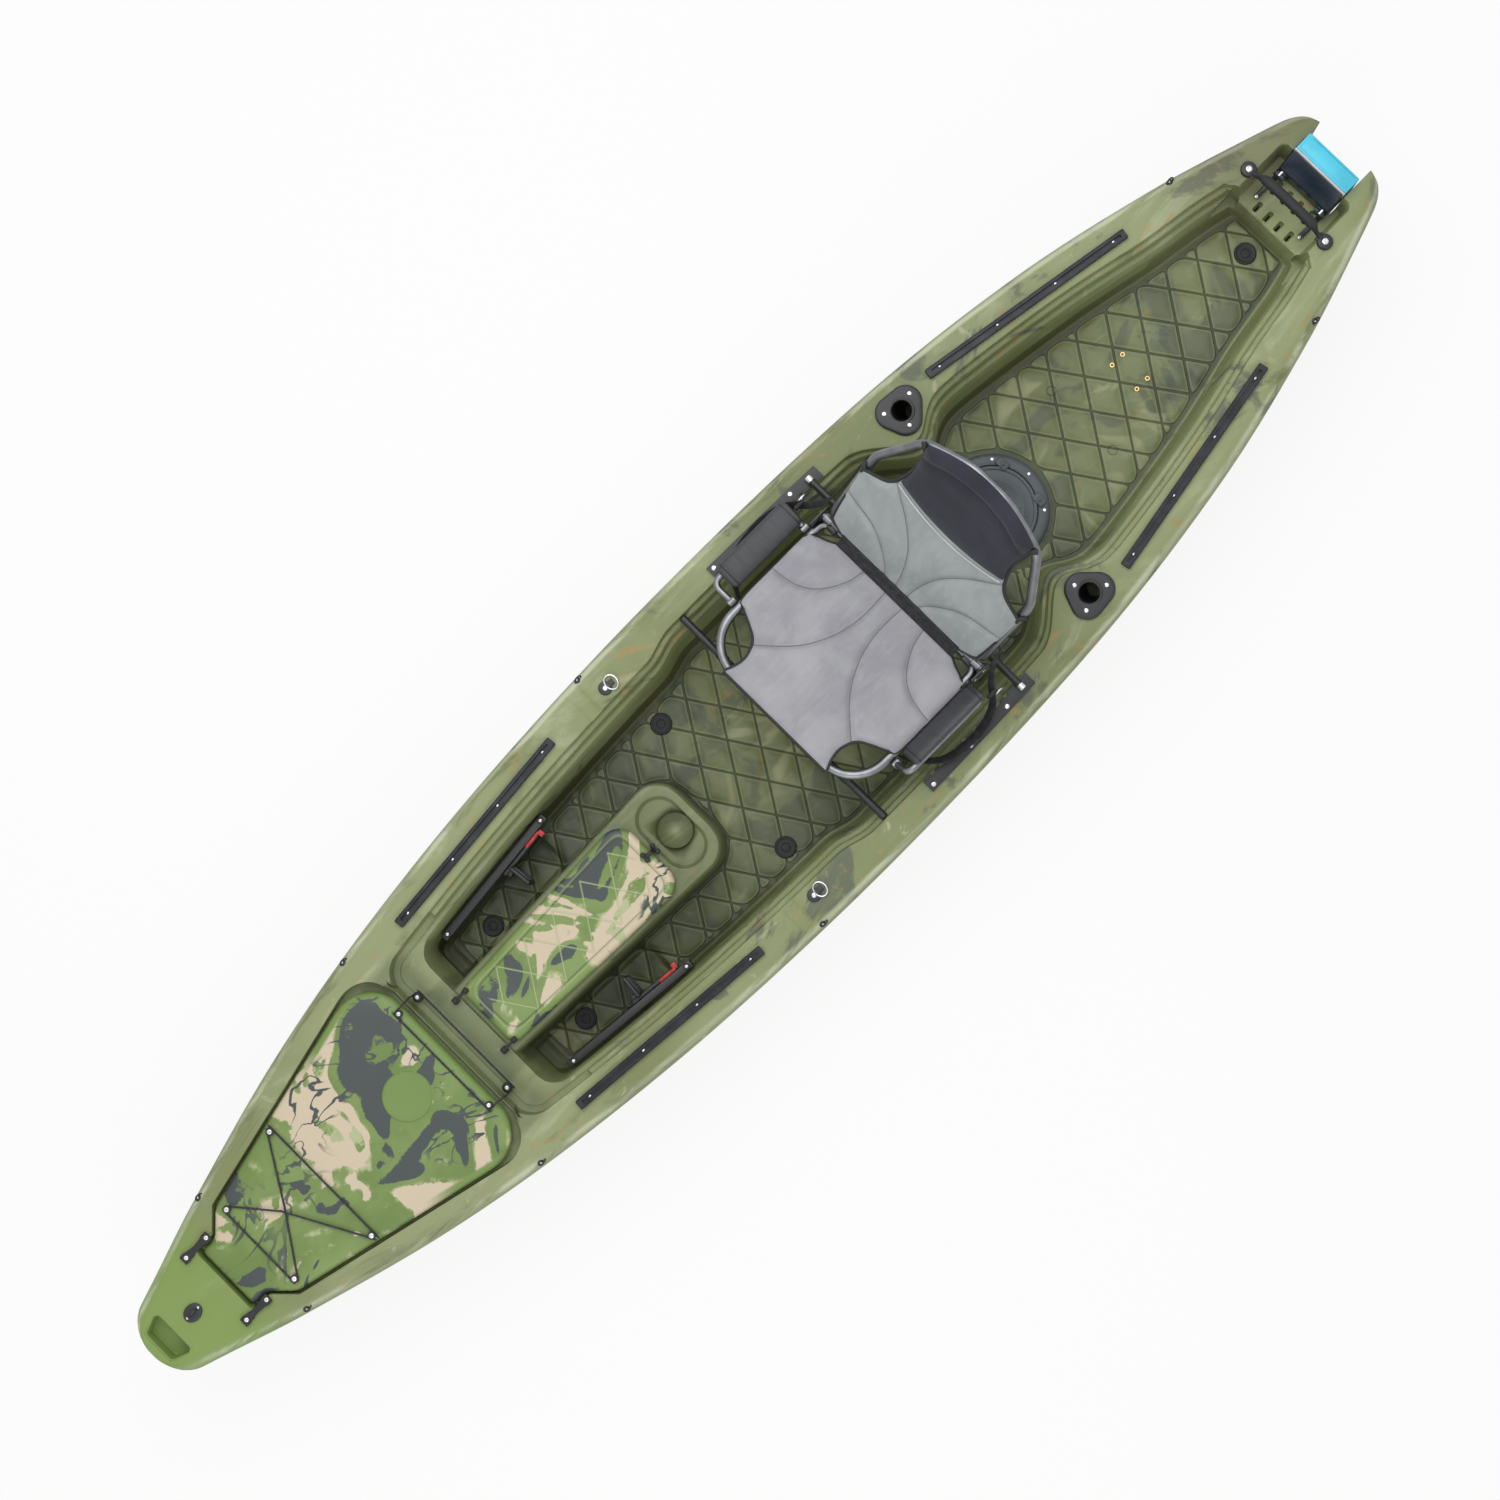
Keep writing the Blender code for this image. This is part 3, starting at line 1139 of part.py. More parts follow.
def panel(name, mat, places, half_at, low, high_at):
    """A padded fabric panel: flat below, crowned above, with a sewn channel each side of the middle."""
    half_shares = [0.2, 0.43, 0.5, 0.57, 0.75, 0.92, 1.0]
    shares = [-t for t in reversed(half_shares)] + [0.0] + half_shares
    rings = []
    for x in places:
        half = half_at(x)
        top = [(x, half * t, high_at(x, t)) for t in shares]
        rings.append(top + [(x, half * t, low) for t in reversed(shares)])
    return loft(name, rings, mat, 50, paired=True)


def crown(t, run, height, edge, channel):
    """Height of a panel's top: full in the middle, drawn in at its edges and along its channels."""
    across = (1 - min(abs(t), 1.0) ** 4) * (1 - (2 * run - 1) ** 6)
    groove = channel if abs(abs(t) - 0.5) < 0.01 else 0.0
    return edge + (height - edge) * across - groove


PAN_REAR = SEAT_REAR + 0.030
PAN_FRONT = SEAT_FRONT + 0.010
PAN_HALF_WIDTH = 0.238
PAN_CROWN = 0.020
pan_low = SEAT_HEIGHT + SEAT_TUBE * TUBE_FLAT + GAP


def pan_half(x):
    nose = mix(PAN_HALF_WIDTH, SEAT_NOSE_HALF_WIDTH, ramp(x, -0.215, -0.125))
    return nose - 0.006 * ((x - PAN_REAR) / (PAN_FRONT - PAN_REAR) * 2 - 1) ** 8


pan_places = [mix(PAN_REAR, PAN_FRONT, i / 12) for i in range(13)]
seat_pan = panel("seat_pan", material("seat_fabric", (0.35, 0.35, 0.39), 0.9), pan_places, pan_half, pan_low,
                 lambda x, t: pan_low + crown(t, (x - PAN_REAR) / (PAN_FRONT - PAN_REAR), PAN_CROWN, 0.008, 0.004))

BACK_PANEL = (0.034, 0.278)
POCKET = (0.284, 0.462)
POCKET_HALF_WIDTH = 0.145
back_low = SEAT_TUBE * TUBE_FLAT + GAP


def back_half(x):
    run = (x - BACK_PANEL[0]) / (BACK_PANEL[1] - BACK_PANEL[0])
    return 0.236 - 0.014 * math.sin(math.pi * run)


back_places = [mix(*BACK_PANEL, i / 9) for i in range(10)]
seat_back = panel("seat_back", material("seat_back_fabric", (0.33, 0.36, 0.36), 0.9), back_places, back_half, back_low,
                  lambda x, t: back_low + crown(t, (x - BACK_PANEL[0]) / (BACK_PANEL[1] - BACK_PANEL[0]), 0.020, 0.008, 0.004))
turned(seat_back, back_seat)


def pocket_half(x):
    run = (x - POCKET[0]) / (POCKET[1] - POCKET[0])
    return POCKET_HALF_WIDTH - 0.012 * math.sin(math.pi * run) - 0.016 * run**4


pocket_places = [mix(*POCKET, i / 7) for i in range(8)]
back_pocket = panel("back_pocket", material("pocket_navy", (0.04, 0.04, 0.07), 0.9), pocket_places, pocket_half, back_low,
                    lambda x, t: back_low + crown(t, (x - POCKET[0]) / (POCKET[1] - POCKET[0]), 0.028, 0.010, 0.0))
turned(back_pocket, back_seat)
back_pivot = carried("seat_back_pivot", hinge, back_frame, seat_back, back_pocket)

ARM_EYE_RADIUS = 0.010
ARM_AXIS_Y = SEAT_HALF_WIDTH + SEAT_TUBE + ARM_EYE_RADIUS + GAP
ARM_REAR = -0.455
ARM_FRONT = -0.215
ARM_PAD = (-0.462, -0.245)
pad_low = ARMREST_TUBE_RADIUS * TUBE_FLAT + GAP
arm_pivots = []
for side in (1, -1):
    outer = ARM_AXIS_Y + ARMREST_REACH
    r = 0.020
    path = rounded([(ARM_REAR, 0, 0.001), (ARM_REAR, side * ARMREST_REACH, r), (ARM_FRONT, side * ARMREST_REACH, r),
                    (ARM_FRONT, 0, 0.001)], r, 3)
    path = [(x, y) for x, y in path if abs(y) > 0.002]
    line = [(ARM_REAR, 0.0, 0.0)] + [(x, y, 0.0) for x, y in sorted(path, key=lambda q: q[0])] + [(ARM_FRONT, 0.0, 0.0)]
    lift = PORT_ARMREST_LIFT if side > 0 else 0.0
    arm_seat = Matrix.Translation((0, side * ARM_AXIS_Y, SEAT_HEIGHT)) @ Matrix.Rotation(math.radians(lift), 4, "X")
    bail = tube(sided("armrest_tube", side), line, ARMREST_TUBE_RADIUS, frame_metal, resolution=1)
    join(bail, *[turned(seat_bar(f"arm_eye_{side}_{x:.2f}", (x - 0.010, 0, 0), (x + 0.010, 0, 0), ARM_EYE_RADIUS), arm_seat)
                 for x in (ARM_REAR, ARM_FRONT)])
    turned(bail, arm_seat)
    low_y, high_y = sorted((side * 0.0100, side * (0.0100 + ARMREST_PAD_WIDTH)))
    pad = box(sided("armrest_pad", side), (ARM_PAD[0], low_y, pad_low), (ARM_PAD[1], high_y, pad_low + ARMREST_PAD_THICKNESS),
              black_rubber("pad_foam"), 0.007, 2)
    turned(pad, arm_seat)
    arm_pivots.append(carried(sided("armrest_pivot", side), (ARM_REAR, side * ARM_AXIS_Y, SEAT_HEIGHT), bail, pad))
carried("seat_slide", (REAR_TUBE_X, 0, rear_tube_z), seat_frame, seat_pan, back_pivot, *arm_pivots)


# Stern drive

drive_x = along(DRIVE_AXIS)
notch_x = along(NOTCH_FRONT)
head_aft = drive_x - HEAD_LENGTH / 2
head_low = recess_floor - 0.0205
head_top = head_low + HEAD_HEIGHT
shell_top = head_top - COVER_HEIGHT - 0.016
head_half = HEAD_WIDTH / 2
head_front = notch_x + 0.0045
tilt = Vector((notch_x + 0.012, 0, recess_floor + 0.0245))
TILT_PIN_RADIUS = 0.0035
STEERING_STEM = 0.008
STEERING_BORE = STEERING_STEM / TUBE_FLAT + GAP
LUG = (0.050, 0.0637)
BAR = (0.064, 0.076)
drive_black = material("drive_navy", (0.010, 0.022, 0.040), 0.35)

bracket = box("drive_bracket", (tilt.x + 0.062, -BAR[1], recess_floor + GAP), (tilt.x + 0.078, BAR[1], recess_floor + 0.012),
              black_plastic("bracket_black"))
for side in (1, -1):
    low_y, high_y = sorted((side * BAR[0], side * BAR[1]))
    join(bracket, box(f"bracket_bar_{side}", (tilt.x - 0.0050, low_y, recess_floor + GAP), (tilt.x + 0.070, high_y, recess_floor + 0.012)),
         box(f"bracket_ear_{side}", (tilt.x - 0.0050, low_y, recess_floor + 0.001), (tilt.x + 0.010, high_y, tilt.z + 0.0050)),
         seat_bar(f"tilt_pin_{side}", (tilt.x, side * (LUG[0] + 0.001), tilt.z), (tilt.x, side * (BAR[0] + 0.004), tilt.z),
                  TILT_PIN_RADIUS))

housing = box("drive_housing", (head_aft, -head_half, head_low), (notch_x - 0.0025, head_half, shell_top), drive_black)
wedge = [(drive_x + 0.0046, shell_top - 0.004), (head_front, recess_floor + 0.002), (head_front, shell_top - 0.006),
         (drive_x + 0.0046, head_top - 0.005)]
join(housing, loft("drive_wedge", [[(x, y, z) for x, z in wedge] for y in (-head_half, head_half)]))
for side in (1, -1):
    low_y, high_y = sorted((side * LUG[0], side * LUG[1]))
    lug = box(f"tilt_lug_{side}", (head_front - 0.003, low_y, tilt.z - 0.009), (tilt.x + 0.009, high_y, tilt.z + 0.009),
              bevel=0.003, segments=1)
    join(housing, lug)
    cut(housing, seat_bar(f"tilt_hole_{side}", (tilt.x, side * (LUG[0] - 0.002), tilt.z), (tilt.x, side * (LUG[1] + 0.002), tilt.z),
                          TILT_PIN_RADIUS / TUBE_FLAT + GAP))
cut(housing, box("housing_hollow", (head_aft + 0.005, -head_half + 0.005, head_low + 0.005),
                 (notch_x - 0.0075, head_half - 0.005, shell_top - 0.008)),
    box("housing_mouth", (head_aft + 0.005, -head_half + 0.005, head_low + 0.02), (drive_x + 0.0, head_half - 0.005, shell_top + 0.02)),
    seat_bar("leg_hole", (drive_x, 0, head_low - 0.01), (drive_x, 0, head_low + 0.02), STEERING_BORE))
cover = box("drive_cover", (head_aft, -head_half, shell_top + GAP), (drive_x, head_half, head_top),
            material("drive_cover_blue", (0.07, 0.58, 0.78), 0.4), 0.004)
cut(cover, box("cover_hollow", (head_aft + 0.004, -head_half + 0.004, shell_top - 0.01), (drive_x - 0.004, head_half - 0.004, head_top - 0.004)))
trim = box("drive_trim", (drive_x + GAP, -head_half, shell_top + GAP), (drive_x + GAP + TRIM_HEIGHT, head_half, head_top - 0.002),
           material("trim_white", (0.8, 0.8, 0.8), 0.4))
servo = box("steering_servo", (drive_x - 0.030, -0.028, head_low + 0.005 + GAP), (drive_x + 0.026, 0.028, head_low + 0.045),
            black_plastic("servo_case"), 0.002, 1)

LEG_RADIUS = 0.016
pod_aft = drive_x - 0.022
pod_front = pod_aft + POD_LENGTH
axis = (0, POD_Z)
leg = cylinder("drive_leg", (drive_x, 0, POD_Z), (drive_x, 0, head_low - GAP), LEG_RADIUS,
               material("leg_grey", (0.25, 0.26, 0.28), 0.4, 0.8), sides=24)
join(leg, seat_bar("steering_stem", (drive_x, 0, head_low - 0.004), (drive_x, 0, head_low + 0.005), STEERING_STEM))
pod_core = cylinder("pod_clear", (pod_aft - 0.01, *axis), (pod_front + 0.02, *axis), POD_RADIUS + GAP, sides=ROUND_SIDES)
cut(leg, pod_core)
NOSE_LENGTH = 0.020
pod = cylinder("motor_pod", (pod_aft, *axis), (pod_front - NOSE_LENGTH, *axis), POD_RADIUS, drive_black, sides=ROUND_SIDES)
bore_front = pod_front - NOSE_LENGTH - 0.003
join(pod, cylinder("pod_nose", (pod_front - NOSE_LENGTH, *axis), (pod_front, *axis), POD_RADIUS, sides=ROUND_SIDES, end_radius=0.012))
nozzle_front = pod_aft + 0.003
nozzle = cylinder("nozzle_outer", (nozzle_front - NOZZLE_LENGTH, *axis), (nozzle_front, *axis), NOZZLE_RADIUS, sides=RING_SIDES)
cut(nozzle, cylinder("nozzle_bore", (nozzle_front - 0.1, *axis), (nozzle_front + 0.1, *axis), PROP_RADIUS + 0.004, sides=RING_SIDES))
join(pod, nozzle)
for angle in (0, 90, 180, 270):
    fin = box(f"nozzle_fin_{angle}", (pod_aft, -0.0015, POD_RADIUS - 0.002), (pod_aft + 0.012, 0.0015, PROP_RADIUS + 0.006))
    turned(fin, Matrix.Translation((0, *axis)) @ Matrix.Rotation(math.radians(angle + 45), 4, "X"))
    join(pod, fin)
MOTOR_RADIUS = 0.0262
cut(pod, cylinder("pod_bore", (pod_aft - 0.01, *axis), (bore_front, *axis), MOTOR_RADIUS + GAP, sides=ROUND_SIDES))
motor = cylinder("drive_motor", (pod_aft + 0.0005, *axis), (bore_front - GAP, *axis), MOTOR_RADIUS,
                 material("motor_steel", (0.45, 0.45, 0.47), 0.35, 1.0), sides=ROUND_SIDES)
SHAFT_RADIUS = 0.004
join(motor, cylinder("motor_shaft", (pod_aft - 0.022, *axis), (pod_aft + 0.01, *axis), SHAFT_RADIUS, sides=14))

prop_x = pod_aft - 0.012
prop = cylinder("propeller", (prop_x - 0.012, *axis), (prop_x + 0.009, *axis), 0.008, black_plastic("prop_black"), sides=BORE_SIDES,
                end_radius=0.013)
BLADES = 3
for k in range(BLADES):
    rings = []
    for share in (0.0, 0.35, 0.7, 1.0):
        reach = mix(0.006, PROP_RADIUS - 0.001, share)
        chord = 0.020 + 0.016 * math.sin(math.pi * min(share + 0.1, 1.0)) - 0.008 * share
        pitch = math.radians(mix(52, 20, share))
        ring = []
        for along_chord, thick in ((-0.5, 0.0), (-0.2, 0.0014), (0.2, 0.0014), (0.5, 0.0), (0.2, -0.0014), (-0.2, -0.0014)):
            c = along_chord * chord
            ring.append((prop_x + c * math.sin(pitch) + thick * math.cos(pitch),
                         c * math.cos(pitch) - thick * math.sin(pitch), reach))
        rings.append(ring)
    blade = loft(f"blade_{k}", rings)
    turned(blade, Matrix.Translation((0, *axis)) @ Matrix.Rotation(math.radians(360 * k / BLADES), 4, "X"))
    join(prop, blade)
cut(prop, cylinder("prop_bore", (pod_aft - 0.0225, *axis), (pod_aft + 0.01, *axis), SHAFT_RADIUS + GAP, sides=14))
prop_pivot = carried("propeller_axis", (prop_x, *axis), prop)
steer_pivot = carried("steering_axis", (drive_x, 0, head_low), leg, pod, motor, prop_pivot)
carried("tilt_axis", tilt, housing, cover, trim, servo, steer_pivot)


# Stern handle

HANDLE_X = -1.785
HANDLE_BRACKET = (0.103, 0.143)
GRIP_RADIUS = 0.013
GRIP_HEIGHT = 0.040
handle_z = deck_z(HANDLE_X)
for side in (1, -1):
    low_y, high_y = sorted((side * HANDLE_BRACKET[0], side * HANDLE_BRACKET[1]))
    plate = box(sided("handle_bracket", side), (HANDLE_X - 0.018, low_y, deck_z(HANDLE_X - 0.018) + GAP),
                (HANDLE_X + 0.018, high_y, handle_z + 0.011), black_plastic("bracket_black"), 0.003, 1)
    join(plate, screw_head(f"handle_screw_{side}", HANDLE_X, side * 0.123, handle_z + 0.011, 0.007))
half_line = [(0.1024, 0.0064, 0.4), (0.0980, 0.0064, 0.4), (0.084, 0.026, 0.45), (0.074, GRIP_HEIGHT - 0.003, 0.7),
             (0.064, GRIP_HEIGHT, 1.0), (0.030, GRIP_HEIGHT + 0.001, 1.0)]
handle_line = half_line + [(-y, z, r) for y, z, r in reversed(half_line)]
tube("stern_handle", [(HANDLE_X, y, handle_z + z) for y, z, r in handle_line], GRIP_RADIUS, black_rubber("grip_rubber"),
     radii=[r for y, z, r in handle_line])
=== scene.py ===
import math

import bpy
import numpy as np
from mathutils import Matrix, Vector


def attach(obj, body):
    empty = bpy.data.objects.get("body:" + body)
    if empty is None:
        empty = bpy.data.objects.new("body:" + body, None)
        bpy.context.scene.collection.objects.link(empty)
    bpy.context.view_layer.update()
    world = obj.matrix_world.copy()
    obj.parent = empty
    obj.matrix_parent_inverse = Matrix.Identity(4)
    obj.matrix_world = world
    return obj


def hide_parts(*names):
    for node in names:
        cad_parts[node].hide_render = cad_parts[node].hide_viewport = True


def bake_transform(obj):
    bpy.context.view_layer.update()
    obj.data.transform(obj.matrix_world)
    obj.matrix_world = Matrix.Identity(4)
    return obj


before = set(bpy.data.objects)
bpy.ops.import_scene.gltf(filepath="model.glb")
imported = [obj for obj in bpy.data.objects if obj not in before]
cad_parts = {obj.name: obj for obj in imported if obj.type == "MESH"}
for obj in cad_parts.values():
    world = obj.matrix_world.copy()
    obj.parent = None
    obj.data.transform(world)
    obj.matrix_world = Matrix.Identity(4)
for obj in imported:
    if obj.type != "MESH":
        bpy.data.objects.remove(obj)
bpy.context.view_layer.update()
bpy.ops.object.select_all(action="DESELECT")


# Camera. The kayak is seen from straight above, a little to its port side, with its length along the
# diagonal of a square picture. No depth of field and no shift are used.

DECK_LEVEL = 0.35
CAMERA_PLACE = Vector((0.0, 0.39, 6.5))
PICTURE_WIDTH_AT_DECK = 3.516
aim = Vector((0.0, 0.0, DECK_LEVEL))
sight = CAMERA_PLACE - aim


def placed(name, data):
    """An object that carries this data, in the scene."""
    made = bpy.data.objects.new(name, data)
    bpy.context.scene.collection.objects.link(made)
    return made


eye = bpy.data.cameras.new("studio_camera")
eye.sensor_width = 36
eye.lens = eye.sensor_width * sight.length / PICTURE_WIDTH_AT_DECK
camera = placed("studio_camera", eye)
away = sight.normalized()
right = Vector((-0.7108, -0.7034, 0.0)).cross(away).normalized()
turn = Matrix((right, away.cross(right), away)).transposed().to_4x4()
camera.matrix_world = Matrix.Translation(CAMERA_PLACE) @ turn
bpy.context.scene.camera = camera
bpy.context.scene.view_settings.view_transform = "Standard"


# Studio. A pale floor under the hull, one broad soft lamp overhead and an even white sky. The camera sees
# the floor as nearly white, and the floor still takes the kayak's shadow.


class Wire:
    """One output of a shader node. Sums on wires and numbers add the Math nodes that they need."""

    tree = None

    def __init__(self, socket):
        self.socket = socket

    @staticmethod
    def node(kind, settings=None, values=None, output=0):
        """Adds a node of this kind, with its settings first and then the values or wires of its sockets."""
        made = Wire.tree.nodes.new(kind)
        for key, value in (settings or {}).items():
            setattr(made, key, value)
        for key, value in (values or {}).items():
            if isinstance(value, Wire):
                Wire.tree.links.new(value.socket, made.inputs[key])
            else:
                made.inputs[key].default_value = value
        return Wire(made.outputs[output])

    def math(self, operation, other=None):
        values = {0: self} if other is None else {0: self, 1: other}
        return Wire.node("ShaderNodeMath", {"operation": operation}, values)

    def __add__(self, other):
        return self.math("ADD", other)

    def __sub__(self, other):
        return self.math("SUBTRACT", other)

    def __rsub__(self, other):
        return Wire.node("ShaderNodeMath", {"operation": "SUBTRACT"}, {0: other, 1: self})

    def __mul__(self, other):
        return self.math("MULTIPLY", other)

    def __truediv__(self, other):
        return self.math("DIVIDE", other)

    def __abs__(self):
        return self.math("ABSOLUTE")

    __radd__ = __add__
    __rmul__ = __mul__

    def below(self, other):
        return self.math("MINIMUM", other)

    def above(self, other):
        return self.math("MAXIMUM", other)

    def rise(self, low, high):
        """Goes smoothly from 0 at low to 1 at high."""
        names = {"Value": self, "From Min": low, "From Max": high}
        return Wire.node("ShaderNodeMapRange", {"interpolation_type": "SMOOTHSTEP"}, names)

    def from_whole(self):
        """Distance from the nearest whole number."""
        return abs((self + 0.5).math("FRACT") - 0.5)


def new_finish(name):
    finish = bpy.data.materials.new(name)
    finish.use_nodes = True
    Wire.tree = finish.node_tree
    return finish


def principled():
    """The shader of the finish that is being made."""
    return next(n for n in Wire.tree.nodes if n.type == "BSDF_PRINCIPLED")


FLOOR_SIZE = 60.0
SKY_ON_OBJECT = 0.62
FLOOR_GLOW = 0.86
world = bpy.context.scene.world or bpy.data.worlds.new("studio_sky")
bpy.context.scene.world = world
world.use_nodes = True
Wire.tree = world.node_tree
sky = next(n for n in world.node_tree.nodes if n.type == "BACKGROUND")
sky.inputs["Color"].default_value = (1.0, 1.0, 1.0, 1.0)
seen = Wire.node("ShaderNodeLightPath")
rays = seen.socket.node.outputs
seen = seen.above(Wire(rays["Is Glossy Ray"])).above(Wire(rays["Is Transmission Ray"]))
Wire.tree.links.new((SKY_ON_OBJECT + seen * (1 - SKY_ON_OBJECT)).socket, sky.inputs["Strength"])

bpy.ops.mesh.primitive_grid_add(x_subdivisions=4, y_subdivisions=4, size=FLOOR_SIZE, location=(0, 0, -0.0005))
floor = bpy.context.object
floor.name = "studio_floor"
pale = new_finish("pale_floor")
shader = principled()
shader.inputs["Base Color"].default_value = (0.86, 0.86, 0.86, 1.0)
shader.inputs["Roughness"].default_value = 0.9
shader.inputs["Specular IOR Level"].default_value = 0.0
glow = Wire.node("ShaderNodeEmission", None, {"Color": (1, 1, 1, 1), "Strength": 1.0})
share = Wire.node("ShaderNodeLightPath") * FLOOR_GLOW
both = Wire.node("ShaderNodeMixShader", None, {0: share, 1: Wire(shader.outputs[0]), 2: glow})
Wire.tree.links.new(both.socket, next(n for n in Wire.tree.nodes if n.type == "OUTPUT_MATERIAL").inputs[0])
floor.data.materials.append(pale)
for name, place, size, power in (
    ("soft_overhead", (-0.9, -1.6, 4.6), 4.5, 105.0),
    ("soft_fill", (2.6, 2.4, 3.4), 3.0, 34.0),
):
    lamp = bpy.data.lights.new(name, "AREA")
    lamp.shape = "DISK"
    lamp.size = size
    lamp.energy = power
    holder = placed(name, lamp)
    holder.location = place
    holder.rotation_euler = (Vector(place) - aim).to_track_quat("Z", "Y").to_euler()


# Hull. One rotomoulded shell of polyethylene: the deck with its rounded gunwales, the stepped cockpit and
# tank well with a quilted floor, the console, the hatch recess and the keel below. It is moulded in one
# piece and the colours are run into each other in the mould. Rows run across the boat and lanes along it.

HALF = 1.98
BEAM_HALF = 0.4225
DEPTH = 0.345
RIM = 0.104
WELL_AFT, WELL_FRONT = -0.881 * HALF, 0.4697 * HALF
SHELF_FRONT = 0.4975 * HALF
HATCH_AFT, HATCH_FRONT = 0.5068 * HALF, 0.8755 * HALF
CONSOLE_AFT = 0.0985 * HALF
CONSOLE_TOP = 0.28
SHELF_Z = 0.3
ROD_X, ROD_Y = -0.4131 * HALF, 0.30658
ROUND_HATCH_X = -0.4142 * HALF
WALL_TOP_DROP = 0.0665
LIP_DROP = 0.046
SHOULDER_WIDTH = 0.036
AFT_STRETCH = 0.35
SHELF_CORNER, WELL_CORNER, AFT_CORNER, RECESS_CORNER, CONSOLE_CORNER = 0.055, 0.075, 0.07, 0.103, 0.07
RECESS_GAP = 0.008
HATCH_HALVES = 0.289, 0.138, 0.088
HATCH_BENDS = HATCH_FRONT - 0.093, HATCH_FRONT - 0.043
ROUND_HATCH_Z = 0.17
ROD_LEAN = math.tan(math.radians(14))
RACK_HALF = 0.112
LATTICE_LONG_AFT, LATTICE_LONG_FRONT, LATTICE_ACROSS, CELL_STEP = 0.0955, 0.0915, 0.1425, 0.0785
PLUG_PLACES = [(0.107, 0.213), (0.745, 0.16), (-1.67838, 0.0)]
RECESS_FLOOR = 0.345 + 0.03 * 0.866**2 - 0.062
BEAM_LINE = [(-1.0, 0.315), (-0.95, 0.4), (-0.81, 0.609), (-0.62, 0.815), (-0.38, 0.953), (-0.05, 1.0),
             (0.235, 0.957), (0.471, 0.844), (0.66, 0.683), (0.85, 0.438), (0.945, 0.29), (1.0, 0.205)]
MID_SECTION = [(0.0, 0.0), (0.1, 0.0), (0.17, 0.075), (0.38, 0.075), (0.46, 0.0), (0.58, 0.0), (0.73, 0.06),
               (0.87, 0.2), (0.945, 0.42), (0.985, 0.72), (1.0, 1.0)]
BOW_SECTION = [(0.0, 0.0), (0.06, 0.03), (0.12, 0.07), (0.23, 0.15), (0.34, 0.23), (0.45, 0.31), (0.57, 0.42),
               (0.71, 0.57), (0.83, 0.72), (0.93, 0.87), (1.0, 1.0)]
STERN_SECTION = [(0.0, 0.0), (0.1, 0.0), (0.2, 0.01), (0.4, 0.02), (0.5, 0.03), (0.63, 0.07), (0.76, 0.15),
                 (0.87, 0.29), (0.94, 0.48), (0.98, 0.74), (1.0, 1.0)]
WELL_STEPS = [(-0.006, 0.0), (-0.0015, -0.0006), (0.0004, -0.0032), (0.0012, -0.0175), (0.003, -0.0212),
              (0.011, -0.0224), (0.0138, -0.0255), (0.0152, -0.056), (0.0175, -0.0612), (0.026, -0.0625),
              (0.029, -0.0665)]
WALL_FALL = [(0.029, 0.0), (0.0345, 0.33), (0.04, 0.66), (0.0455, 0.86), (0.051, 0.955), (0.064, 1.0)]
WALL_LANES = [d for d, z in WELL_STEPS] + [d for d, z in WALL_FALL[1:]]
HATCH_LANES = [-0.013, -0.01, -0.0085, -0.008, -0.0072, -0.006, 0.0, 0.006, 0.012, 0.018, 0.023,
               0.026, 0.028, 0.0285, 0.03, 0.034]
RECESS_LANES = [-0.01, -0.006, -0.003, 0.0, 0.002, 0.004, 0.007, 0.01, 0.012, 0.014, 0.016,
                0.018, 0.02, 0.023, 0.027, 0.031]
SHOULDER = [(0.0, 0.0), (0.0012, 0.22), (0.004, 0.43), (0.0085, 0.62), (0.0105, 0.66), (0.0118, 0.73),
            (0.0165, 0.84), (0.019, 0.865), (0.0203, 0.915), (0.027, 0.975), (0.036, 1.0)]
ROW_PLAN = [(-1.98, -1.93, 13), (-1.93, -1.895, 5), (-1.895, -1.7, 50), (-1.7, 0.17, 212),
            (0.17, 0.3, 26), (0.3, 0.8, 56), (0.8, 0.85, 8), (0.85, 1.02, 57), (1.02, 1.12, 17),
            (1.12, 1.6, 40), (1.6, 1.76, 40), (1.76, 1.96, 22), (1.96, 1.98, 10)]
CONSOLE_LANES, FLOOR_LANES, FLAT_LANES = 11, 11, 6


def ramp(x, low, high):
    t = np.clip((x - low) / (high - low), 0.0, 1.0)
    return t * t * (3 - 2 * t)


def mix(a, b, t):
    return a + (b - a) * t


def through(points, x):
    """A smooth line through points, read at x."""
    px, py = np.array(points, float).T
    slope = np.empty_like(py)
    slope[1:-1] = (py[2:] - py[:-2]) / (px[2:] - px[:-2])
    slope[0] = (py[1] - py[0]) / (px[1] - px[0])
    slope[-1] = (py[-1] - py[-2]) / (px[-1] - px[-2])
    x = np.clip(x, px[0], px[-1])
    i = np.clip(np.searchsorted(px, x, "right") - 1, 0, len(px) - 2)
    run = px[i + 1] - px[i]
    t = (x - px[i]) / run
    a, b = py[i], py[i + 1]
    return (a * (1 + 2 * t) * (1 - t) ** 2 + run * slope[i] * t * (1 - t) ** 2
            + b * t * t * (3 - 2 * t) + run * slope[i + 1] * t * t * (t - 1))


def half_beam(x):
    half = through(BEAM_LINE, x / HALF) * BEAM_HALF
    past = np.clip((np.abs(x) - (HALF - 0.05)) / 0.05, 0.0, 1.0)
    return half - 0.05 * (1 - np.sqrt(1 - past**2)) * np.where(x > 0, 1.0, 0.5)


def deck_z(x):
    return DEPTH + np.where(x > 0, 0.045, 0.03) * (x / HALF) ** 2


def part_z(x):
    return deck_z(x) - LIP_DROP


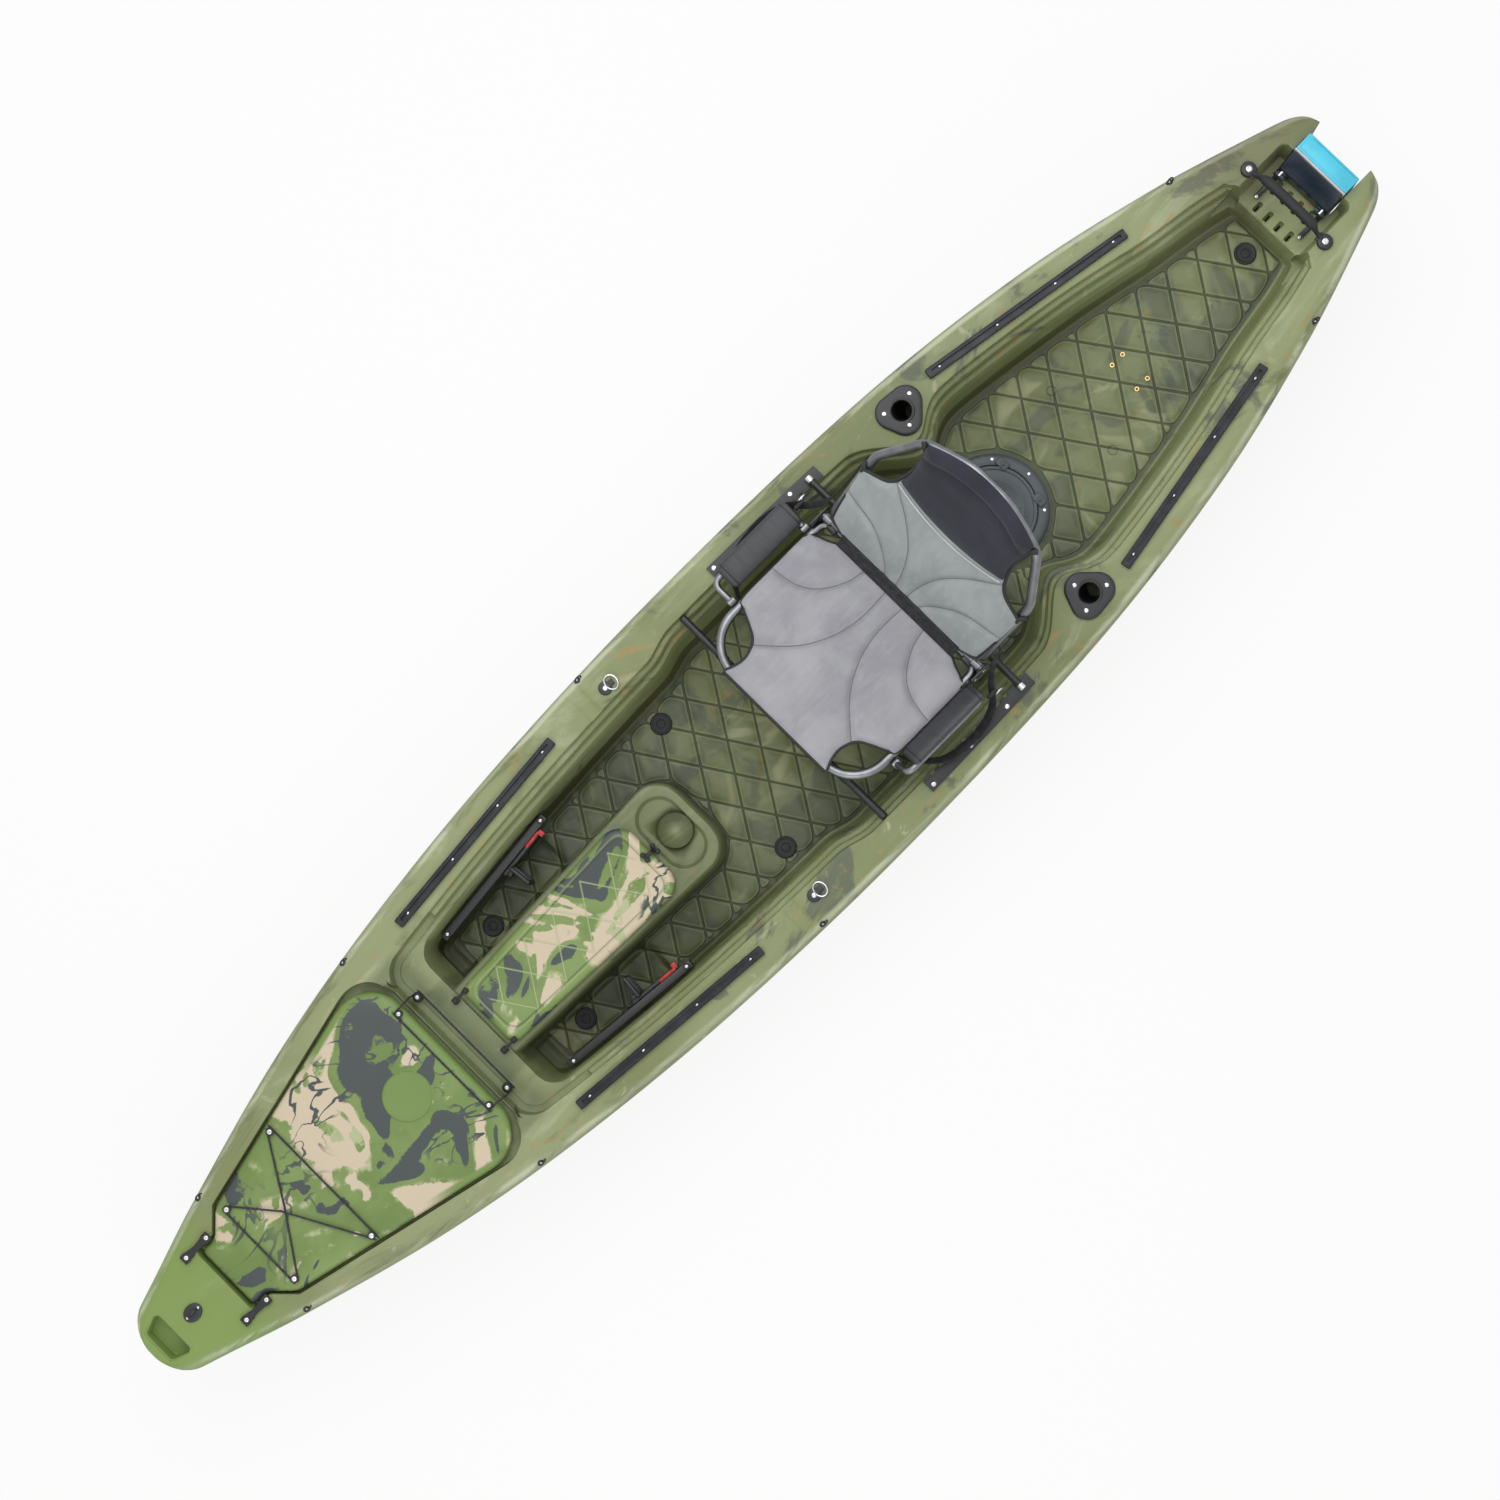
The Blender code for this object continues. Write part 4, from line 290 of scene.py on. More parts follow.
def keel_z(x):
    s = x / HALF
    bow = 0.235 * (0.45 * ramp(s, 0.55, 1.05) + 0.55 * np.clip((s - 0.82) / 0.18, 0, None) ** 2)
    return np.where(s > 0, bow, 0.2 * ramp(-s, 0.56, 0.98))


def well_half(x):
    half = half_beam(x) - RIM + 0.02 * ramp(x, -0.74, -0.64) * (1 - ramp(x, -0.07, 0.03))
    half = half - 0.062 * np.exp(-(((x - ROD_X - 0.025) / 0.07) ** 2))
    return half + 0.022 * ramp(-x, 1.45, 1.74)


def floor_z(x):
    front = mix(0.17, 0.12, ramp(x, -0.72, -0.62))
    return mix(0.215, front, ramp(x, WELL_AFT + 0.12, -1.1))


def console_half(x):
    return mix(0.125, 0.1, np.clip((x - CONSOLE_AFT) / (WELL_FRONT - CONSOLE_AFT), 0, 1.1))


def hatch_half(x):
    return np.interp(x, [HATCH_AFT, *HATCH_BENDS, HATCH_FRONT], [*HATCH_HALVES, HATCH_HALVES[2]])


def hatch_plane(x):
    low, high = deck_z(np.array(HATCH_AFT)), deck_z(np.array(HATCH_FRONT))
    return mix(low, high, (x - HATCH_AFT) / (HATCH_FRONT - HATCH_AFT))


def inside(u, v, r):
    """How far a point lies inside two edges that meet in a rounded corner."""
    corner = r - np.hypot(np.clip(r - u, 0, None), np.clip(r - v, 0, None))
    return np.where((u < r) & (v < r), corner, np.minimum(u, v))


def lane_at(u, d, r):
    """Distance from the side edge of the line that keeps d inside such a corner."""
    bend = np.clip((r - d) ** 2 - np.clip(r - u, 0, r - min(d, r - 1e-4)) ** 2, 0, None)
    return np.where(u < r, r - np.sqrt(bend), d)


def height_at(x, y):
    """Height of the upper skin."""
    y = np.abs(y)
    deck = deck_z(x)
    flat = np.clip(half_beam(x) - SHOULDER_WIDTH, 0.3 * half_beam(x), None)
    edge = np.clip((half_beam(x) - y) / np.clip(half_beam(x) - flat, 1e-4, None) * SHOULDER_WIDTH, 0,
                   SHOULDER_WIDTH)
    rise_of = np.interp(edge, [s for s, h in SHOULDER], [h for s, h in SHOULDER])
    z = part_z(x) + LIP_DROP * rise_of
    z = z - 0.004 * ramp(x, 0.176, 0.184) * (1 - ramp(x, 0.21, 0.218)) * ramp(half_beam(x) - y, 0.0, 0.03)
    side = well_half(x) - y
    front, aft = WELL_FRONT - x, (x - WELL_AFT) / AFT_STRETCH
    high = inside(np.where(x > 0.5, SHELF_FRONT - x, aft), side, np.where(x > 0.5, SHELF_CORNER, AFT_CORNER))
    low = inside(np.where(x > 0.0, front, aft), side, np.where(x > 0.0, WELL_CORNER, AFT_CORNER))
    steps = deck + np.interp(high, [d for d, h in WELL_STEPS], [h for d, h in WELL_STEPS])
    shelf = SHELF_Z + 0.003 * (1 - ramp(high, 0.0, 0.006))
    steps = np.where(x > 0.8, np.minimum(steps, np.where(high > 0, shelf, steps)), steps)
    floor_here = floor_z(x) - 0.018 * ramp(x, 0.5, 0.52) * ramp(y, console_half(x) + 0.014,
            console_half(x) + 0.03)
    top = np.minimum(deck - WALL_TOP_DROP, np.where(x > 0.8, SHELF_Z, 9.0))
    share = np.interp(low, [d for d, h in WALL_FALL], [h for d, h in WALL_FALL])
    wall = mix(top, floor_here, share)
    cell = quilt(x, y, np.minimum(low - 0.066, np.hypot(x - ROUND_HATCH_X, y) - 0.15))
    wall = wall + 0.004 * cell * (1 - ramp(x, 0.84, 0.86))
    z = np.where(high > -0.0061, np.minimum(z, steps), z)
    z = np.where(low > 0.029, np.minimum(z, wall), z)
    block = inside(x - CONSOLE_AFT, console_half(x) - y, CONSOLE_CORNER)
    console = np.interp(block, [-0.014, -0.012, -0.005, -0.002, 0.001, 0.006],
                        [-1.0, 0.0, 0.93, 0.975, 0.995, 1.0])
    console = np.where(console < 0, -1.0, mix(floor_here, CONSOLE_TOP, np.clip(console, 0, 1)))
    z = np.where((x < WELL_FRONT + 0.01) & (low > 0.0), np.maximum(z, console), z)
    ridge = ramp(x, SHELF_FRONT, SHELF_FRONT + 0.006) * 0.034 + SHELF_Z
    z = np.where((x > SHELF_FRONT - 0.001) & (y < 0.212) & (x < HATCH_AFT), np.minimum(z, ridge), z)
    lid = inside(np.minimum(x - HATCH_AFT + RECESS_GAP, (HATCH_FRONT + RECESS_GAP - x) * 5),
                 hatch_half(x) + RECESS_GAP - y, np.where(x < 1.4, RECESS_CORNER, 0.02))
    well = hatch_plane(x) - np.interp(lid, [-0.0005, 0.0012, 0.0024], [0.0, 0.03, 0.036])
    z = np.where(lid > -0.0006, np.minimum(z, well), z)
    stern = inside(np.minimum(x + 1.892, 9.0), RACK_HALF - y, 0.02)
    rack = deck - np.interp(stern, [0.0, 0.003, 0.012, 0.016], [0.0, 0.004, 0.058, 9.0])
    rack = np.maximum(rack, RECESS_FLOOR)
    z = np.where((x < -1.715) & (stern > -0.001), np.minimum(z, rack), z)
    return z


def quilt(x, y, border):
    """Raised cells of the floor: 0 on the lines of the diamond lattice and at its border, 1 inside a cell."""
    along_floor = np.where(x < -0.76, (x + 1.16) / LATTICE_LONG_AFT, (x - 0.067) / LATTICE_LONG_FRONT)
    u, v = along_floor + y / LATTICE_ACROSS, along_floor - y / LATTICE_ACROSS
    near = np.minimum(np.abs(u - np.round(u)), np.abs(v - np.round(v))) * CELL_STEP
    near = np.minimum(near, np.clip(border, 0, None) * 1.3)
    for plug_x, plug_y in PLUG_PLACES:
        near = np.minimum(near, np.clip(np.hypot(x - plug_x, np.abs(y) - plug_y) - 0.031, 0, None))
    return ramp(near, -0.004, 0.03)


rows = np.concatenate([np.linspace(a, b, n, endpoint=False) for a, b, n in ROW_PLAN] + [[HALF]])
levels = [WELL_FRONT - d for d in WALL_LANES[10:]] + [WELL_AFT + AFT_STRETCH * d for d in WALL_LANES]
levels += [CONSOLE_AFT + d for d in (-0.012, -0.005, -0.002, 0.001, 0.006)]
levels += [SHELF_FRONT, SHELF_FRONT + 0.006, HATCH_AFT - 0.0085, HATCH_AFT - 0.0068, HATCH_AFT - 0.0056]
levels += [HATCH_FRONT + 0.0081, HATCH_FRONT + 0.0076]
for level in levels:
    rows[np.argmin(np.abs(rows - level))] = level
rows = np.sort(rows)


def lanes_of(x):
    """Half widths of the lanes along the boat, from the middle out, at each row."""
    beam = half_beam(x)
    flat = np.maximum(beam - SHOULDER_WIDTH, 0.3 * beam)
    lanes = []
    near_console = ramp(x, 0.02, CONSOLE_AFT - 0.014)
    c_half = console_half(x)
    u = x - CONSOLE_AFT
    sides = [c_half - np.where(u < -0.013, CONSOLE_CORNER, lane_at(u, d, CONSOLE_CORNER))
             for d in (0.012, 0.006, 0.001, -0.002, -0.005, -0.012)]
    wall = []
    for k, d in enumerate(WALL_LANES):
        end, r = (SHELF_FRONT, SHELF_CORNER) if d < 0.0265 else (WELL_FRONT, WELL_CORNER)
        w = well_half(np.minimum(x, end))
        v = np.where(x > 0, lane_at(np.clip(end - x, d, None), d, r),
                     lane_at(np.clip((x - WELL_AFT) / AFT_STRETCH, max(d, 0.0), None), d, AFT_CORNER))
        hatch = hatch_half(x) + RECESS_GAP - lane_at(np.clip(x - HATCH_AFT + RECESS_GAP,
                HATCH_LANES[k] + RECESS_GAP, None), HATCH_LANES[k] + RECESS_GAP, RECESS_CORNER)
        stern = RACK_HALF - RECESS_LANES[k] + 0.0 * x
        y = mix(w - v, hatch, ramp(x, SHELF_FRONT - 0.004, HATCH_AFT - 0.006))
        y = mix(y, stern, ramp(-x, 1.715, 1.748))
        limit = np.maximum(half_beam(np.array(HATCH_FRONT + RECESS_GAP)) - SHOULDER_WIDTH, 0.01)
        share = (hatch_half(np.array(HATCH_FRONT)) + RECESS_GAP - HATCH_LANES[k] - 0.008) / limit
        y = np.where(x > HATCH_FRONT + RECESS_GAP, share * flat, y)
        wall.append(np.minimum(y, flat - 0.0012 * (k + 1) * np.clip(flat / 0.1, 0.1, 1)))
    inner_edge = wall[-1]
    spread = [inner_edge * f for f in np.linspace(0.42, 0.6, len(sides))]
    sides = [np.minimum(mix(s, c, near_console * (1 - ramp(x, 0.93, 0.99))), inner_edge * 0.97)
             for s, c in zip(spread, sides)]
    first = sides[0]
    lanes += [first * k / CONSOLE_LANES for k in range(CONSOLE_LANES)]
    lanes += sides
    lanes += [mix(sides[-1], inner_edge, k / FLOOR_LANES) for k in range(1, FLOOR_LANES)]
    lanes += wall[::-1]
    lanes += [mix(wall[0], flat, k / FLAT_LANES) for k in range(1, FLAT_LANES)]
    lanes += [beam - (beam - flat) * s / SHOULDER_WIDTH for s, h in reversed(SHOULDER)]
    return np.maximum.accumulate(np.array(lanes), axis=0)


def skin(name, xs, ys, zs, downwards=False):
    """A grid of rows and lanes as a mesh."""
    count = xs.shape[1]
    bpy.ops.mesh.primitive_grid_add(x_subdivisions=count - 1, y_subdivisions=xs.shape[0] - 1)
    made = bpy.context.object
    made.name = name
    made.data.vertices.foreach_set("co", np.stack([xs, ys, zs], -1).ravel())
    if downwards:
        made.data.flip_normals()
    made.select_set(False)
    return made


def merged(name, pieces):
    """Several pieces as one, under a name."""
    bpy.ops.object.select_all(action="DESELECT")
    for piece in pieces:
        piece.select_set(True)
    bpy.context.view_layer.objects.active = pieces[0]
    if len(pieces) > 1:
        bpy.ops.object.join()
    whole = bpy.context.view_layer.objects.active
    whole.name = name
    whole.select_set(False)
    return whole


half_lanes = lanes_of(rows)
across = np.concatenate([-half_lanes[:0:-1], half_lanes])
along_boat = np.broadcast_to(rows, across.shape)
top_z = height_at(along_boat, across)
top_skin = skin("moulded_hull", along_boat, across, top_z, True)

shares = np.array([0.0, 0.05, 0.1, 0.135, 0.17, 0.28, 0.38, 0.42, 0.46, 0.58, 0.66, 0.73, 0.8, 0.87, 0.91,
                   0.945, 0.965, 0.985, 0.994, 1.0])
to_bow = ramp(rows, 0.2 * HALF, 0.88 * HALF)
to_stern = ramp(-rows, 0.45 * HALF, 0.9 * HALF)
section = [np.interp(shares, *np.array(s).T)[:, None] for s in (MID_SECTION, BOW_SECTION, STERN_SECTION)]
fall = mix(mix(section[0], section[1], to_bow), section[2], to_stern)
low_y = shares[:, None] * half_beam(rows)
low_z = keel_z(rows) + (part_z(rows) - keel_z(rows)) * fall
under = skin("hull_bottom", np.broadcast_to(rows, (2 * len(shares) - 1, len(rows))),
             np.concatenate([-low_y[:0:-1], low_y]), np.concatenate([low_z[:0:-1], low_z]))
hull = merged("moulded_hull", [top_skin, under])
hull.select_set(True)
bpy.ops.object.mode_set(mode="EDIT")
bpy.ops.mesh.select_all(action="SELECT")
bpy.ops.mesh.remove_doubles(threshold=0.00005)
bpy.ops.mesh.select_all(action="DESELECT")
bpy.ops.mesh.select_non_manifold()
bpy.ops.mesh.edge_face_add()
bpy.ops.mesh.select_all(action="SELECT")
bpy.ops.mesh.normals_make_consistent(inside=False)
bpy.ops.object.mode_set(mode="OBJECT")
hull.select_set(False)


def finish_edges(piece, angle=30):
    """Shades one piece smooth, except over sharp edges."""
    bpy.ops.object.select_all(action="DESELECT")
    piece.select_set(True)
    bpy.context.view_layer.objects.active = piece
    bpy.ops.object.shade_smooth_by_angle(angle=math.radians(angle))
    piece.select_set(False)


def clean_up(piece, merge=0.00001):
    """Closes doubled points, where a distance is given, and turns every face outwards."""
    bpy.ops.object.select_all(action="DESELECT")
    piece.select_set(True)
    bpy.context.view_layer.objects.active = piece
    bpy.ops.object.mode_set(mode="EDIT")
    bpy.ops.mesh.select_all(action="SELECT")
    if merge:
        bpy.ops.mesh.remove_doubles(threshold=merge)
    bpy.ops.mesh.normals_make_consistent(inside=False)
    bpy.ops.object.mode_set(mode="OBJECT")
    piece.select_set(False)


def applied(piece, kind, **settings):
    """Adds a modifier with its settings to a piece and applies it."""
    tool = piece.modifiers.new(kind, kind)
    for key, value in settings.items():
        setattr(tool, key, value)
    bpy.context.view_layer.objects.active = piece
    bpy.ops.object.modifier_apply(modifier=tool.name)
    return piece


def spot(line, x):
    """One of the hull's lines, read at one place along the boat."""
    return line(np.array(x)).item()


def lathe(name, profile, start, axis=(0, 0, 1), sides=48, ring=False):
    """A turned body, spun from its section of (distance along the axis, radius), closed for a ring."""
    section = list(profile) if ring else [(profile[0][0], 0.0), *profile, (profile[-1][0], 0.0)]
    count = len(section)
    mesh = bpy.data.meshes.new(name)
    mesh.from_pydata([(r, 0.0, d) for d, r in section],
                     [(i, (i + 1) % count) for i in range(count if ring else count - 1)], [])
    made = applied(placed(name, mesh), "SCREW", steps=sides, render_steps=sides, use_merge_vertices=True,
                   merge_threshold=0.00001)
    made.data.transform(Matrix.Translation(start) @ Vector(axis).to_track_quat("Z", "Y").to_matrix().to_4x4())
    clean_up(made)
    return made


def stacked(name, outlines):
    """A body lofted through outlines of equal count, one above the other, with flat ends."""
    made = placed(name, bpy.data.meshes.new(name))
    count = len(outlines[0])
    faces = [tuple(reversed(range(count)))]
    for i in range(len(outlines) - 1):
        for k in range(count):
            j = (k + 1) % count
            faces.append((i * count + k, i * count + j, (i + 1) * count + j, (i + 1) * count + k))
    faces.append(tuple(range((len(outlines) - 1) * count, len(outlines) * count)))
    made.data.from_pydata([p for ring in outlines for p in ring], [], faces)
    clean_up(made, None)
    return made


def round_corners(corners, steps=6):
    """A closed outline from (x, y, corner radius), listed anticlockwise."""
    points = []
    for i, (x, y, r) in enumerate(corners):
        here = Vector((x, y))
        before = (Vector(corners[i - 1][:2]) - here).normalized()
        after = (Vector(corners[(i + 1) % len(corners)][:2]) - here).normalized()
        half = before.angle(after) / 2
        centre = here + (before + after).normalized() * (r / math.sin(half))
        start = here + before * (r / math.tan(half)) - centre
        sweep = math.pi - 2 * half
        if before.cross(after) > 0:
            sweep = -sweep
        for k in range(steps + 1):
            a = sweep * k / steps
            points.append((centre.x + start.x * math.cos(a) - start.y * math.sin(a),
                           centre.y + start.x * math.sin(a) + start.y * math.cos(a)))
    return points


def mirrored(half):
    """Corners of a whole outline, from those of the half on the port side, listed forwards."""
    return [(x, -y, r) for x, y, r in half] + [(x, y, r) for x, y, r in reversed(half)]


def rectangle(x0, x1, half0, half1, r, steps=6):
    """A rounded outline from x0, where it is half0 wide each way, to x1."""
    return round_corners([(x0, -half0, r), (x1, -half1, r), (x1, half1, r), (x0, half0, r)], steps)


def funnel(name, outline_of, depths):
    """A cutter lofted through grown outlines: (growth, height)."""
    return stacked(name, [[(x, y, z) for x, y in outline_of(grow)] for grow, z in depths])


def lip(z, radius=0.004, depth=0.05, taper=0.002):
    """Heights and growths of a pocket that opens with a rounded lip at z."""
    top = [(radius * (1 - math.sin(a)), z - radius * (1 - math.cos(a))) for a in (1.57, 1.0, 0.5, 0.0)]
    return [(-taper - 0.004, z - depth), (-taper, z - depth + 0.004)] + top + [(radius, z + 0.03)]


CONSOLE_TRAY_X, TRAY_HALF = 0.27003, 0.096
TRAY_AFT, TRAY_FRONT = CONSOLE_TRAY_X - 0.054, CONSOLE_TRAY_X + 0.054
cutters = [
    funnel("notch", lambda g: rectangle(-2.1, -1.84991 + g, 0.082 + g, 0.082 + g, 0.016),
           [(0.0, -0.2), (0.0, 0.24), (0.0, 0.5)]),
    funnel("tray", lambda g: rectangle(TRAY_AFT - g, TRAY_FRONT + g, TRAY_HALF + g, TRAY_HALF + g, 0.0535 + g,
                                       10), lip(CONSOLE_TOP, 0.005, 0.012)),
    lathe("cup", [(-0.065, 0.03), (-0.0635, 0.034), (-0.058, 0.0375), (-0.014, 0.0408), (-0.0105, 0.0425),
                  (0.03, 0.0425)], (CONSOLE_TRAY_X - 0.01, 0.003, CONSOLE_TOP)),
    funnel("bin", lambda g: rectangle(0.37003 - g, 0.86001 + g, 0.072 + g, 0.072 + g, 0.025 + g),
           lip(CONSOLE_TOP, 0.004, 0.115)),
    lathe("round_hatch_hole", [(-0.12, 0.09), (-0.11, 0.104), (0.05, 0.104)],
          (ROUND_HATCH_X, 0, ROUND_HATCH_Z), sides=64),
    funnel("bow_slot", lambda g: round_corners([(1.908 - g, -0.062 - g, 0.01), (1.958 + g, -0.042 - g, 0.01),
                                                (1.958 + g, 0.042 + g, 0.01), (1.908 - g, 0.062 + g, 0.01)]),
           lip(0.3865, 0.004, 0.045)),
]
hold = [(HATCH_AFT + 0.04, 0.235, 0.055), (1.64, 0.1, 0.03)]
hold_outline = round_corners(mirrored(hold), 8)
cutters.append(stacked("bow_hold", [[(mix(1.3, x, f), y * f, z) for x, y in hold_outline]
                                    for f, z in ((0.8, 0.13), (0.87, 0.136), (0.93, 0.15), (1.0, 0.26),
                                                 (1.0, 0.45))]))
direction = Vector((ROD_LEAN, 0, 1))
for side in (1, -1):
    foot = Vector((ROD_X, side * ROD_Y, spot(deck_z, ROD_X))) - direction.normalized() * 0.2
    cutters.append(lathe("rod_bore", [(0.0, 0.0271), (0.24, 0.0271)], foot, direction, 32))
for x, y in [(x, y) for x, half in PLUG_PLACES for y in ((half, -half) if half else (0.0,))]:
    cutters.append(lathe("drain", [(-0.3, 0.0168), (0.0, 0.0168), (0.05, 0.0168)], (x, y, spot(floor_z, x)),
                         sides=24))
for aft, front in ((-1.838, -1.8), (-1.77, -1.742)):
    for k in range(4):
        y = (k - 1.5) * 0.034
        cutters.append(funnel("rack_slot",
                              lambda g: [(px, py + y)
                                         for px, py in rectangle(aft - g, front + g, 0.006 + g, 0.006 + g,
                                             0.004)], lip(RECESS_FLOOR, 0.002, 0.02, 0.0)))
for side in (1, -1):
    corner = [(x, side * y) for x, y in round_corners([(-1.742, 0.092, 0.012), (-1.668, 0.092, 0.012),
                  (-1.668, 0.122, 0.012), (-1.742, 0.122, 0.012)])][::side]
    cutters.append(stacked("corner_pocket", [[(x, y, z) for x, y in corner] for z in (0.262, 0.45)]))
tools = merged("tools", cutters)
applied(hull, "BOOLEAN", operation="DIFFERENCE", solver="EXACT", use_self=True, object=tools)
bpy.data.objects.remove(tools)
finish_edges(hull, 32)


def keep(piece, name, values):
    """Stores a number with each point of a piece, for its finish to read."""
    piece.data.attributes.new(name, "FLOAT", "POINT").data.foreach_set("value", values.astype(np.float32))


def read(name):
    return Wire(Wire.node("ShaderNodeAttribute", {"attribute_name": name}).socket.node.outputs["Fac"])


def set_border(piece):
    """Keeps with each point how far it lies inside the edges of the quilted floor and of the gunwale."""
    place = np.empty(len(piece.data.vertices) * 3)
    piece.data.vertices.foreach_get("co", place)
    x, y, z = place.reshape(-1, 3).T
    y = np.abs(y)
    side = well_half(x) - y
    front, aft = WELL_FRONT - 0.03 - x, (x - WELL_AFT) / AFT_STRETCH
    far = inside(np.where(x > 0.0, front, aft), side, np.where(x > 0.0, WELL_CORNER, AFT_CORNER)) - 0.066
    block = -inside(x - CONSOLE_AFT, console_half(x) - y, CONSOLE_CORNER) - 0.016
    far = np.where(x < WELL_FRONT + 0.05, np.minimum(far, np.where(x > 0.0, block, 9.0)), far)
    far = np.minimum(far, np.hypot(x - ROUND_HATCH_X, y) - 0.15)
    far = np.where((z > floor_z(x) + 0.03) | (x < WELL_AFT) | (x > WELL_FRONT), -0.05, far)
    keep(piece, "floor_edge", np.clip(far, -0.05, 0.2))
    keep(piece, "edge_gap", half_beam(x) - y)


set_border(hull)
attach(hull, "hull")
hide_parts("lower_hull", "deck", "cockpit_tub")


def rgb(red, green, blue):
    """A colour given as 0 to 255, as a shader wants it."""
    parts = [c / 255 for c in (red, green, blue)]
    return (*[c / 12.92 if c <= 0.04045 else ((c + 0.055) / 1.055) ** 2.4 for c in parts], 1.0)


def mixed(share, first, second):
    """A colour between two, by a share from 0 to 1."""
    return Wire.node("ShaderNodeMix", {"data_type": "RGBA"}, {0: share, 6: first, 7: second}, 2)


def place_wire(scale=(1, 1, 1), moved=(0, 0, 0)):
    """Object coordinates in metres, moved and scaled."""
    at = Wire.node("ShaderNodeTexCoord", output=3)
    if scale == (1, 1, 1) and moved == (0, 0, 0):
        return at
    values = {"Vector": at, "Location": moved, "Scale": scale}
    return Wire.node("ShaderNodeMapping", {"vector_type": "POINT"}, values)


def noise(scale, detail=3.0, rough=0.55, warp=0.0, at=None):
    values = {"Scale": scale, "Detail": detail, "Roughness": rough, "Distortion": warp}
    values["Vector"] = at or place_wire()
    return Wire.node("ShaderNodeTexNoise", None, values)


def coordinate(index):
    return Wire.node("ShaderNodeSeparateXYZ", None, {0: place_wire()}, index)


def shade(finish, base, roughness, height=None, depth=0.001, **constants):
    """Wires a colour, a roughness and a height in the finish's tree to its one shader."""
    shader = principled()
    for key, value in (("Base Color", base), ("Roughness", roughness)):
        if isinstance(value, Wire):
            finish.node_tree.links.new(value.socket, shader.inputs[key])
        else:
            shader.inputs[key].default_value = value
    for key, value in constants.items():
        shader.inputs[key.replace("_", " ")].default_value = value
    if height is not None:
        bump = Wire.node("ShaderNodeBump", None, {"Height": height, "Distance": depth, "Strength": 1.0})
        finish.node_tree.links.new(bump.socket, shader.inputs["Normal"])
    return finish


plastic = new_finish("moulded_olive")
x, y, z = coordinate(0), coordinate(1), coordinate(2)
edge_gap = read("edge_gap")
aft_part = x.math("LESS_THAN", -0.76)
lattice = aft_part * ((x + 1.16) / LATTICE_LONG_AFT) + (1 - aft_part) * ((x - 0.067) / LATTICE_LONG_FRONT)
across_wire = y / LATTICE_ACROSS
line_u = (lattice + across_wire).from_whole() * CELL_STEP
line_v = (lattice - across_wire).from_whole() * CELL_STEP
border = read("floor_edge")
near = line_u.below(line_v)
near = Wire.node("ShaderNodeMath", {"operation": "SMOOTH_MIN"}, {0: near, 1: border * 1.3, 2: 0.022})
on_floor = border.rise(-0.012, -0.004)
groove = (1 - near.rise(0.0008, 0.0034)) * on_floor
pillow = near.rise(-0.002, 0.018) * on_floor
shaded_groove = (1 - near.rise(0.001, 0.01)) * on_floor
long_grain = place_wire(scale=(0.9, 3.2, 3.2))
strands = noise(3.1, 6.0, 0.62, 1.3, at=long_grain)
drift = noise(1.6, 3.0, 0.5, 0.8)
blots = noise(3.4, 5.0, 0.6, 1.8, at=place_wire(moved=(3.1, 0.4, 0.0)))
streaks = noise(4.6, 6.0, 0.66, 2.2, at=place_wire(scale=(1.0, 1.9, 1.4), moved=(0.0, 5.0, 0.0)))
base = mixed(drift.rise(0.36, 0.62), rgb(119, 127, 82), rgb(140, 149, 106))
base = mixed(strands.rise(0.52, 0.7) * 0.65, base, rgb(168, 174, 140))
base = mixed((1 - strands.rise(0.3, 0.44)) * 0.6, base, rgb(96, 100, 64))
front_part = x.rise(1.62, 1.8)
base = mixed(front_part * 0.8, base, rgb(122, 150, 72))
smear = blots.rise(0.565, 0.64) * (1 - x.rise(0.55, 0.95)) * (1 - front_part)
base = mixed(smear * 0.72, base, rgb(78, 86, 76))
rust = streaks.rise(0.585, 0.68) * (1 - front_part)
base = mixed(rust * 0.55, base, rgb(166, 132, 74))
pale_run = (1 - streaks.rise(0.3, 0.385)) * (1 - front_part)
base = mixed(pale_run * 0.6, base, rgb(186, 184, 152))
wall_depth = 1 - z.rise(0.16, 0.315)
in_well = border.rise(-0.0495, -0.047)
# A pale band along the rounded shoulder of the gunwale, broken up by the streaks: partly the plastic's own
# pale streaks, partly a painted sheen where the shoulder catches the light.
gunwale_sheen_streaks = (1 - abs(edge_gap - 0.014).rise(0.002, 0.011)) * z.rise(0.3, 0.33)
base = mixed(gunwale_sheen_streaks * strands.rise(0.34, 0.6) * 0.65, base, rgb(212, 218, 190))
# Painted shade: the well's walls and floor grow darker the deeper they lie, darker still towards the bow and
# on the starboard walls.
painted_well_shade = wall_depth * in_well
base = mixed(painted_well_shade * 0.5, base, rgb(84, 91, 54))
base = mixed(painted_well_shade * x.rise(-0.05, 0.45) * 0.55, base, rgb(58, 66, 42))
base = mixed(painted_well_shade * (1 - on_floor) * (1 - y.rise(-0.05, 0.1)) * 0.78, base, rgb(60, 58, 30))
console_zone = (1 - abs(y).rise(0.135, 0.15)) * (1 - abs(x - 0.57).rise(0.38, 0.4)) * (1 - on_floor)
base = mixed(console_zone * 0.42, base, rgb(74, 84, 62))
shelf_zone = x.rise(0.9, 0.95) * (1 - x.rise(1.045, 1.055)) * (1 - abs(y).rise(0.245, 0.275))
base = mixed(shelf_zone * 0.45, base, rgb(66, 78, 48))
base = mixed((1 - x.rise(-1.8, -1.5)) * (1 - y.rise(-0.08, 0.02)) * 0.45, base, rgb(82, 74, 48))
tints = noise(5.2, 3.0, 0.6, 0.8)
base = mixed(on_floor * tints.rise(0.52, 0.6) * 0.58, base, rgb(66, 74, 64))
